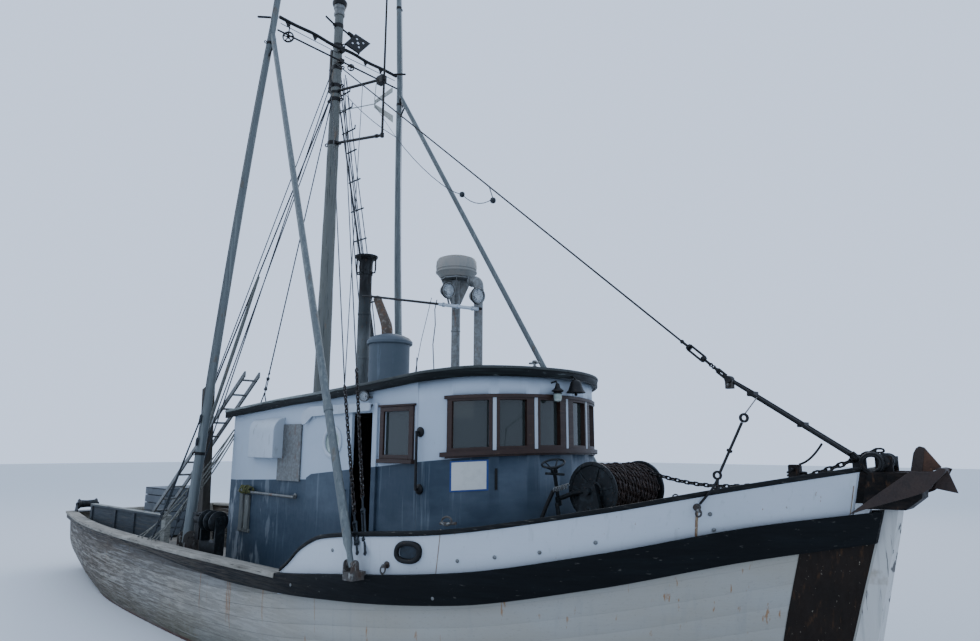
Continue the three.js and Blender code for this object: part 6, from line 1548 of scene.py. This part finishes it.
piece("wound_chain", *several(
    chain(wound(0.202, 17, 0.392, 0.004), 0.05, 0.0085), chain(wound(0.232, 14, 0.375, 0.009), 0.05, 0.0085),
), old_chain, "winch_drum", "rusty_steel")
dress(worn_iron, "winch_frame")
WHEEL_AT, WHEEL_WAY = np.array([3.76, -0.64, 2.05]), np.array([0.1, -0.35, 1.0])
wheel_way = WHEEL_WAY / np.linalg.norm(WHEEL_WAY)
wheel_side = np.cross(wheel_way, (1, 0, 0)) / np.linalg.norm(np.cross(wheel_way, (1, 0, 0)))
wheel_third = np.cross(wheel_way, wheel_side)
hub_at = WHEEL_AT - wheel_way * 0.075
piece("brake_wheel", *several(
    ring_of([(0.108 + 0.011 * np.cos(a), 0.011 * np.sin(a)) for a in around(8)], WHEEL_AT, wheel_way, 32),
    *[tube([hub_at, WHEEL_AT + 0.106 * (np.cos(a) * wheel_side + np.sin(a) * wheel_third)], 0.0075, 8)
      for a in around(5, 0.2)],
    turned([
        (0.026, 0.03), (0.034, 0.02), (0.034, -0.02), (0.018, -0.03), (0.018, -0.26), (0.03, -0.262), (0.03, -0.34),
    ], hub_at, wheel_way, 14),
    tube([(3.66, -0.63, 1.955), (3.87, -0.62, 1.95)], 0.012, 8),
    tube([(3.74, -0.52, 1.72), (3.9, -0.5, 1.78), (4.02, -0.5, 1.8)], 0.022, 10),
    tube([(3.72, -0.54, 1.68), (3.74, -0.52, 1.5), (3.76, -0.5, 1.32)], 0.02, 10),
), worn_iron, slot="dark_steel")
turns = np.linspace(0, 6 * 2 * np.pi, 90)
coil_axis = np.linspace(0, 1, 90)[:, None] * np.array([-0.17, 0, -0.045]) + np.array([3.93, -0.64, 1.85])
piece("brake_spring", *tube(coil_axis + 0.02 * np.stack((0 * turns, np.cos(turns), np.sin(turns)), -1), 0.0055, 6),
      galvanised)
piece("winch_hose", *tube(hanging((3.76, -0.64, 1.8), (3.6, -0.72, 1.36), -0.03, 12), 0.019, 10), black_iron)
piece("anchor_chain", *chain(np.concatenate((
    hanging((4.24, 0.3, 1.965), (6.36, 0, 2.185), 0.2, 40), [(6.42, 0, 2.188)],
)), 0.052, 0.0085), black_iron)

# ---- Bow head, roller and anchor ----
# A blunt block of black tarred timber stands over the stem, with a bitt behind it. A grooved
# iron roller turns between its cheeks, and a brown plough anchor of plate is hauled up on it.
tarred = weathered("black_tarred_timber", "#0c0a09", [
    ((0.1, 0.1, 0.03), 0.45, 0.65, 0.6, "#2a2019"),
    ((0.04, 0.04, 0.1), 0.6, 0.68, 0.7, "#44301f"),
], (0.5, 0.8), grain=(0.03, 0.03, 0.02), relief=0.002, gloss=0.2)
anchor_steel = weathered("brown_rusted_anchor_plate", "#2b201b", [
    (0.16, 0.42, 0.62, 0.6, "#36271f"),
    ((0.05, 0.05, 0.1), 0.56, 0.68, 0.7, "#1c1614"),
    ((0.1, 0.1, 0.04), 0.66, 0.7, 0.5, "#5f4028"),
], (0.5, 0.75), metal=0.15, grain=0.012, relief=0.0012)
web_steel = weathered("rust_brown_anchor_web", "#4a3020", [
    ((0.1, 0.1, 0.08), 0.42, 0.6, 0.7, "#2c1e16"),
    (0.05, 0.58, 0.68, 0.8, "#7d5430"),
], (0.55, 0.75), metal=0.2, grain=0.012, relief=0.0012)
dress(tarred, "bow_head")


def plate_on(outline, thick, across=lambda x: 0.0):
    """A steel plate from its side outline; across gives its middle's place athwart, which may vary along it."""
    return loft([[(x, across(x) + s * thick / 2, z) for x, z in outline] for s in (-1, 1)])


def fluke_y(x):
    """The flukes spread from the crown to their tips: y = -0.15 - 0.54 (6.77 - x)."""
    return -0.15 - 0.54 * (6.77 - x)


BLADE = [
    (6.257, 1.73), (6.449, 1.891), (6.634, 2.041), (6.734, 2.036), (6.77, 2.046), (6.806, 2.068), (6.84, 2.059),
    (6.819, 2.022), (6.762, 1.959), (6.744, 1.928), (6.697, 1.893), (6.598, 1.854), (6.39, 1.783),
]
blade = plate_on(BLADE, 0.02, fluke_y)
anchor_made = eased_edges(piece("anchor_plates", *several(
    blade, flipped(blade),
    plate_on([
        (6.594, 2.032), (6.606, 2.09), (6.624, 2.169), (6.644, 2.205), (6.666, 2.221), (6.697, 2.211), (6.692, 2.144),
        (6.672, 2.034),
    ], 0.034),
    plate_on([(6.808, 2.056), (6.829, 2.047), (6.878, 1.89), (6.731, 1.92), (6.759, 1.979)], 0.022),
    box(6.5, 6.76, -0.02, 0.02, 2.0, 2.04),
    tube([(6.8, -0.135, 2.045), (6.8, 0.135, 2.045)], 0.024, 14),
), anchor_steel, slot="rusty_steel"), 0.003)
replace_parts(anchor_made, "anchor")
anchor_web = piece("anchor_web", *plate_on([
    (6.697, 2.21), (6.79, 2.074), (6.784, 2.062), (6.702, 2.031), (6.672, 2.034), (6.692, 2.144),
], 0.03), web_steel, slot="rusty_steel")
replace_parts(anchor_web, "anchor")
ROLLER_AT = (6.44, 0, 2.104)
roller = piece("grooved_roller", *turned([
    (0.02, -0.0625), (0.03, -0.062), (0.0655, -0.06), (0.066, -0.05), (0.056, -0.035), (0.046, -0.015), (0.043, 0),
    (0.046, 0.015), (0.056, 0.035), (0.066, 0.05), (0.0655, 0.06), (0.03, 0.062), (0.02, 0.0625),
], ROLLER_AT, (0, 1, 0), 32), worn_iron, "bow_roller", "dark_steel")
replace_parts(roller, "bow_roller")


def hoop(path, radius, sides=10):
    """A round bar that goes round and meets itself along a closed path."""
    path = np.asarray(path, float)
    run = np.roll(path, -1, 0) - np.roll(path, 1, 0)
    run /= np.linalg.norm(run, axis=1, keepdims=True)
    out = path - path.mean(0)
    third = np.cross(run, out)
    third /= np.linalg.norm(third, axis=1, keepdims=True)
    out = np.cross(third, run)
    angle = around(sides)
    rings = path[:, None] + radius * (out[:, None] * np.cos(angle)[:, None] + third[:, None] * np.sin(angle)[:, None])
    return rings.reshape(-1, 3), sheet_faces(len(path), sides, round_rows=True, round_columns=True)


line_coil = [hoop([(6.37 + r * np.cos(t), y + 0.008 * np.sin(2 * t), 2.09 + r * np.sin(t)) for t in around(24)],
                  0.0115, 8) for r, y in ((0.074, -0.135), (0.066, -0.118), (0.078, -0.107), (0.06, -0.142))]
piece("roller_coil", *several(
    *line_coil, tube([(6.3, -0.13, 2.12), (6.24, -0.1, 2.17), (6.2, -0.06, 2.16), (6.22, -0.02, 2.1)], 0.0115, 8),
    *[turned([(0.045, 0), (0.045, 0.008), (0.02, 0.012), (0.02, 0.02)], (6.44, s * 0.093, 2.104), (0, s, 0), 16)
      for s in (-1, 1)],
), black_iron)
BITT_X = 5.76
bitt_foot = float(deck_at(BITT_X))
eased_edges(piece("bow_bitt", *several(
    box(BITT_X - 0.045, BITT_X + 0.045, -0.045, 0.045, bitt_foot - 0.02, 2.07),
    box(BITT_X - 0.085, BITT_X + 0.085, -0.085, 0.085, bitt_foot - 0.02, bitt_foot + 0.05),
), tarred, slot="black_paint"), 0.012)
piece("bow_bitt_gear", *several(
    tube([(BITT_X, -0.11, 2.03), (BITT_X, 0.11, 2.03)], 0.014, 10),
    *[ring_of([(0.07 + 0.011 * np.cos(a), z + 0.011 * np.sin(a)) for a in around(7)],
              (BITT_X, 0, 0), (0, 0.02, 1), 24) for z in (1.93, 1.955, 1.98, 2.005)],
    tube(hanging((BITT_X + 0.09, -0.03, 1.98), (6.3, -0.05, 2.06), 0.05, 14), 0.011, 8),
    tube(hanging((BITT_X + 0.02, 0.05, 2.07), (5.98, 0.02, 2.24), 0.03, 10), 0.009, 8),
), black_iron)

# ---- Fittings on the hull ----
# An iron hawse ring for mooring lines, ring bolts, bolt heads, a shackle on the bulwark and
# narrow runs of rust on the paint.


def side_frame(rail_x, height, out):
    """A place on the planking with its directions along, up and outward."""
    at = skin(rail_x, height, out)
    along = skin(rail_x + 0.05, height, out) - skin(rail_x - 0.05, height, out)
    up = skin(rail_x, height + 0.05, out) - skin(rail_x, height - 0.05, out)
    along, up = along / np.linalg.norm(along), up / np.linalg.norm(up)
    return at, along, up, np.cross(along, up)


def oval(frame, half_long, half_high, count=36, power=0.8):
    """A rounded oblong round a place: along = a * |cos|^p, up = b * |sin|^p, each with its sign."""
    at, along, up, _ = frame
    t = around(count)
    c, s = np.sign(np.cos(t)) * np.abs(np.cos(t)) ** power, np.sign(np.sin(t)) * np.abs(np.sin(t)) ** power
    return at + half_long * c[:, None] * along + half_high * s[:, None] * up


hawse = side_frame(3.254, 1.34, 0.012)
inner = oval(side_frame(3.254, 1.34, 0.003), 0.088, 0.056)
hawse_hole = loft([inner, inner + hawse[3] * 0.004])
ring_bolts, bolt_heads = [], []
for out, head, places in (
    (0.0, [(0.016, 0), (0.016, 0.004), (0.011, 0.008), (0.004, 0.01)],
     ((3.719, 1.305), (4.03, 1.355), (4.366, 1.41), (5.453, 1.725), (5.479, 1.61), (2.35, 1.28), (4.75, 1.5))),
    (GUARD_OUT - 0.002, [(0.014, 0), (0.014, 0.005), (0.006, 0.009)], ((3.59, 1.005), (1.9, 0.93), (5.0, 1.33))),
):
    for rail_x, z in places:
        at, along, up, outward = side_frame(rail_x, z, out)
        bolt_heads.append(turned(head, at, outward, 12))
for rail_x, z, size in ((3.047, 1.22, 0.034), (5.375, 1.775, 0.026)):
    at, along, up, outward = side_frame(rail_x, z, 0.0)
    ring_bolts += [
        turned([
            (0.03, 0), (0.03, 0.006), (0.012, 0.012), (0.012, 0.04), (0.017, 0.046), (0.017, 0.056), (0.006, 0.06),
        ], at, outward, 14),
        hoop([at + outward * 0.05 - up * (size * 0.9) + size * (np.cos(t) * along * 0.75 + np.sin(t) * up)
              for t in around(18)], 0.0075, 8),
    ]
at, along, up, outward = side_frame(3.56, 1.575, -0.03)
ring_bolts += [hoop([at + up * 0.035 + 0.035 * (np.cos(t) * along * 1.3 + np.sin(t) * up)
                     for t in around(16)], 0.009, 8),
               tube([at - along * 0.06 + up * 0.012, at + along * 0.09 + up * 0.02], 0.012, 8)]
rust_runs = several(
    panel(3.534, 3.54, lambda rail: joint_at(rail) + 0.03, 1.545, 0.0015, 0.003, 2, 6),
    panel(5.368, 5.384, 1.56, 1.76, 0.0012, 0.003, 3, 5),
    panel(6.227, 6.232, 1.72, 1.93, 0.0015, 0.003, 2, 4),
)
rust_stain = weathered("rust_run_on_paint", "#8b7a62", [
    ((0.02, 0.02, 0.12), 0.45, 0.6, 0.8, "#6b4526"),
    ((0.02, 0.02, 0.05), 0.6, 0.68, 0.7, "#b3aea2"),
], (0.6, 0.8), grain=(0.01, 0.01, 0.05), relief=0.0003)
hawse_shadow = weathered("dark_inside_of_hawse", "#1d252c", [
    (0.05, 0.45, 0.65, 0.5, "#2c3843"),
], (0.6, 0.8), relief=0.0)
for side, turned_over in both_sides:
    piece(f"hawse_ring_{side}", *turned_over(several(
        hoop(oval(hawse, 0.115, 0.075), 0.022, 12), hoop(oval(side_frame(3.254, 1.34, 0.004), 0.128, 0.088), 0.008, 8),
    )), black_iron)
    piece(f"hawse_hole_{side}", *turned_over(hawse_hole), hawse_shadow, slot="black_paint")
    piece(f"ring_bolts_{side}", *turned_over(several(*ring_bolts)), rusty_iron, slot="rusty_steel")
    piece(f"bolt_heads_{side}", *turned_over(several(*bolt_heads)), galvanised)
    piece(f"rust_runs_{side}", *turned_over(rust_runs), rust_stain, slot="rusty_steel")

# ---- Vent cowls and boards on the house side ----
# The cowls are folded sheet metal, rounded over at the top, flat at the sides and open below.
# Two weathered boards are nailed on under the handrail, which has some old cord tied to it.
COWL_LOW, COWL_TOP = 2.057, 2.55


def cowl(x0, x1, depth, top):
    """A hood on the wall: its side is a rectangle whose outer top corner is a quarter of an ellipse."""
    bend = np.linspace(0, np.pi / 2, 9)
    out = depth * np.cos(bend)
    height = top - 0.17 + 0.17 * np.sin(bend)
    outline = [(WALL_Y, COWL_LOW), *zip(WALL_Y - out, height), (WALL_Y, top)]
    outline.insert(1, (WALL_Y - depth, COWL_LOW))
    return loft([[(x, y, z) for y, z in outline] for x in (x0, x1)])


for name, x0, x1, depth, top in (
    ("aft", -0.598, -0.27, 0.083, COWL_TOP - 0.012), ("forward", -0.262, 0.123, 0.158, COWL_TOP),
):
    made = piece(f"vent_cowl_{name}", *cowl(x0, x1, depth, top), white_trim, slot="white_paint")
    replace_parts(eased_edges(made, 0.007), "vent_box")
eased_edges(piece("wall_boards", *several(
    box(-0.832, -0.735, -1.329, WALL_Y, 1.13, 1.592), box(-0.69, -0.59, -1.334, WALL_Y, 1.15, 1.585),
    box(-0.85, -0.57, -1.322, WALL_Y, 1.12, 1.165),
), fir_mast, slot="old_wood"), 0.006)
green_cord = weathered("faded_green_cord", "#43472c", [
    (0.02, 0.45, 0.6, 0.8, "#6b6a3a"),
    (0.01, 0.55, 0.65, 0.7, "#20231a"),
], (0.8, 0.95), grain=0.003, relief=0.0015)
cord_rings = []
for k in range(9):
    t = around(20)
    r = 0.036 + 0.012 * np.sin(2.3 * k)
    cord_rings.append(hoop(np.stack((
        -0.71 + 0.027 * k + 0.012 * np.sin(3 * t + k), RAIL_Y + r * np.cos(t),
        RAIL_Z + 0.034 + (r + 0.012 * np.cos(1.7 * k)) * np.sin(t),
    ), -1), 0.009, 7))
piece("rail_cord", *several(*cord_rings), green_cord, slot="old_wood")

# ---- After deck ----
# Plank bins along the rails with posts and a light cap, a hatch with a lifting lid, the line
# haulers on their iron frames, a slatted box, a timber post and a small roller at the stern.
grey_plank = weathered("bare_grey_plank", "#6a665d", [
    ((0.5, 0.03, 0.03), 0.45, 0.62, 0.7, "#4a463f"),
    ((0.4, 0.4, 0.012), 0.5, 0.56, 0.8, "#33302b"),
    ((0.25, 0.02, 0.02), 0.6, 0.68, 0.7, "#93908a"),
], (0.75, 0.95), grain=(0.3, 0.01, 0.01), relief=0.0025)
# The post's dark base colour is painted shade, standing for its shadowed side; the grain streaks over it are
# weathering.
shaded_post_timber = weathered("weathered_post_with_painted_shade", "#332f2a", [
    ((0.03, 0.03, 0.6), 0.45, 0.62, 0.7, "#47423b"),
    ((0.015, 0.015, 0.3), 0.58, 0.66, 0.8, "#1c1a17"),
], (0.7, 0.9), grain=(0.01, 0.01, 0.25), relief=0.003)
grey_canvas = weathered("grey_deck_paint_on_lid", "#5d646a", [
    (0.3, 0.45, 0.66, 0.6, "#474d52"),
    ((0.06, 0.3, 0.06), 0.6, 0.68, 0.7, "#827d70"),
], (0.6, 0.85), grain=0.05)


def bin_colours(tree, where):
    """Slate paint on the panels, worn pale on the cap and on the board at the forward end."""
    cap = run_of(tree, where, "Z", 1.205, 1.215)
    end = run_of(tree, where, "X", -2.64, -2.62)
    pale = node(tree, "Math", {0: cap, 1: end}, operation="MAXIMUM")[0]
    return node(tree, "Mix", {0: pale, 6: linear("#2e363c"), 7: linear("#83857f")}, data_type="RGBA")[2]


bin_paint = weathered("worn_paint_on_bins", bin_colours, [
    ((0.4, 0.03, 0.03), 0.5, 0.66, 0.5, "#4f4d47"),
    ((0.3, 0.3, 0.012), 0.56, 0.62, 0.7, "#24221f"),
], (0.6, 0.85), grain=(0.3, 0.01, 0.01), relief=0.002)
dress(bin_paint, "deck_bin_starboard", "deck_bin_port")
dress(grey_plank, "hatch_coaming")
dress(shaded_post_timber, "deck_post")
dress(grey_canvas, "hatch_cover")
dress(worn_iron, "gurdy_frame_starboard", "gurdy_frame_port")
eased_edges(piece("hatch_battens", *several(
    *[box(x - 0.03, x + 0.03, -0.6, 0.6, 1.028, 1.046) for x in (-3.5, -3.1, -2.7)],
    *[tube([(-3.1, s * 0.56, 1.04), (-3.1, s * 0.6, 1.075), (-3.0, s * 0.6, 1.075), (-3.0, s * 0.56, 1.04)], 0.009, 8)
      for s in (-1, 1)],
), worn_iron, "hatch_cover", "galvanised"), 0.003)
GURDY_AT = np.array([-0.64, -1.76, 1.29])
spool_profile = []
for middle in (-0.14, 0.0, 0.14):
    spool_profile += [(0.06, middle - 0.012), (0.118, middle - 0.01), (0.125, middle - 0.006), (0.125, middle + 0.006),
                      (0.118, middle + 0.01), (0.06, middle + 0.012)]
spool = turned([
    (0.0225, -0.215), (0.0225, -0.16), (0.05, -0.158), *spool_profile, (0.05, 0.158), (0.0225, 0.16), (0.0225, 0.215),
], GURDY_AT, (1, 0, 0), 32)
SPOOL_TURNS = 13
s = np.linspace(0, 1, 260)
wire_r, wire_angle = 0.068 + 0.002 * np.sin(9 * s), 2 * np.pi * SPOOL_TURNS * s
wound_wire = several(*[tube(GURDY_AT + np.stack((
    start + 0.104 * s, wire_r * np.cos(wire_angle), wire_r * np.sin(wire_angle),
), -1), 0.0042, 6) for start in (-0.122, 0.018)])
motor = turned([
    (0.03, 0), (0.062, 0.004), (0.066, 0.012), (0.066, 0.16), (0.055, 0.175), (0.03, 0.178),
], GURDY_AT + (-0.235, 0, 0), (-1, 0, 0), 24)
motor_box = several(
    box(-1.0, -0.9, -1.81, -1.71, 1.05, 1.25), box(-1.03, -0.87, -1.83, -1.69, 1.352, 1.372),
    tube([(-0.95, -1.7, 1.3), (-0.93, -1.63, 1.28), (-0.92, -1.6, 1.18), (-0.92, -1.6, 1.04)], 0.014, 8),
)
for side, turned_over in both_sides:
    body = f"gurdy_spool_{side}"
    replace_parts(piece(f"spool_casting_{side}", *turned_over(spool), worn_iron, body, "bronze"), body)
    piece(f"spool_wire_{side}", *turned_over(wound_wire), wire_rope, body, "dark_steel")
    piece(f"hauler_motor_{side}", *turned_over(several(motor, motor_box)), black_iron)
BOX_AFT, BOX_FORE, BOX_OUT, BOX_IN, BOX_TOP, SLAT = -5.0, -4.2, -0.85, -0.1, 1.47, 0.022
box_foot = float(deck_at((BOX_AFT + BOX_FORE) / 2))
slat_rows = np.arange(box_foot + 0.03, 1.4, 0.13)
slats = [box(BOX_AFT, BOX_FORE, y, y + SLAT, z, z + 0.118) for z in slat_rows for y in (BOX_OUT, BOX_IN - SLAT)]
slats += [box(x, x + SLAT, BOX_OUT + 0.024, BOX_IN - 0.024, z, z + 0.118) for z in slat_rows
          for x in (BOX_AFT, BOX_FORE - SLAT)]
corners = [box(x, x + 0.05, y, y + 0.05, box_foot - 0.01, BOX_TOP) for x in (BOX_AFT + 0.024, BOX_FORE - 0.074)
           for y in (BOX_OUT + 0.024, BOX_IN - 0.074)]
box_lid = box(BOX_AFT, BOX_FORE, BOX_OUT, BOX_IN, BOX_TOP, BOX_TOP + SLAT)
eased_edges(piece("deck_box", *several(*slats, *corners, box_lid), grey_canvas, slot="old_wood"), 0.004)
STERN_ROLLER = np.array([-6.7, -1.2, 1.13])
piece("stern_roller", *several(
    turned([
        (0.02, -0.19), (0.02, -0.16), (0.085, -0.155), (0.095, -0.14), (0.07, -0.11), (0.062, 0), (0.07, 0.11),
        (0.095, 0.14), (0.085, 0.155), (0.02, 0.16), (0.02, 0.19),
    ], STERN_ROLLER, (0.1, 1, 0), 28),
    *[loft([[STERN_ROLLER + (x, y + cheek, z) for x, z in
             ((-0.09, -0.135), (0.09, -0.135), (0.03, 0.03), (-0.03, 0.03))] for y in (-0.005, 0.005)])
      for cheek in (-0.175, 0.175)],
    box(-6.8, -6.58, -1.4, -1.0, 0.99, 1.005),
), worn_iron, slot="dark_steel", sharp=30)

# ---- Below the water ----
# A four bladed bronze propeller, gone brown in salt water, ahead of the painted rudder.
brown_bronze = weathered("sea_worn_bronze", "#5a4630", [
    (0.08, 0.45, 0.66, 0.7, "#3f3a2c"),
    (0.03, 0.58, 0.68, 0.7, "#5c7462"),
], (0.35, 0.6), metal=0.75, grain=0.01, relief=0.0006)
dress(brown_bronze, "propeller")
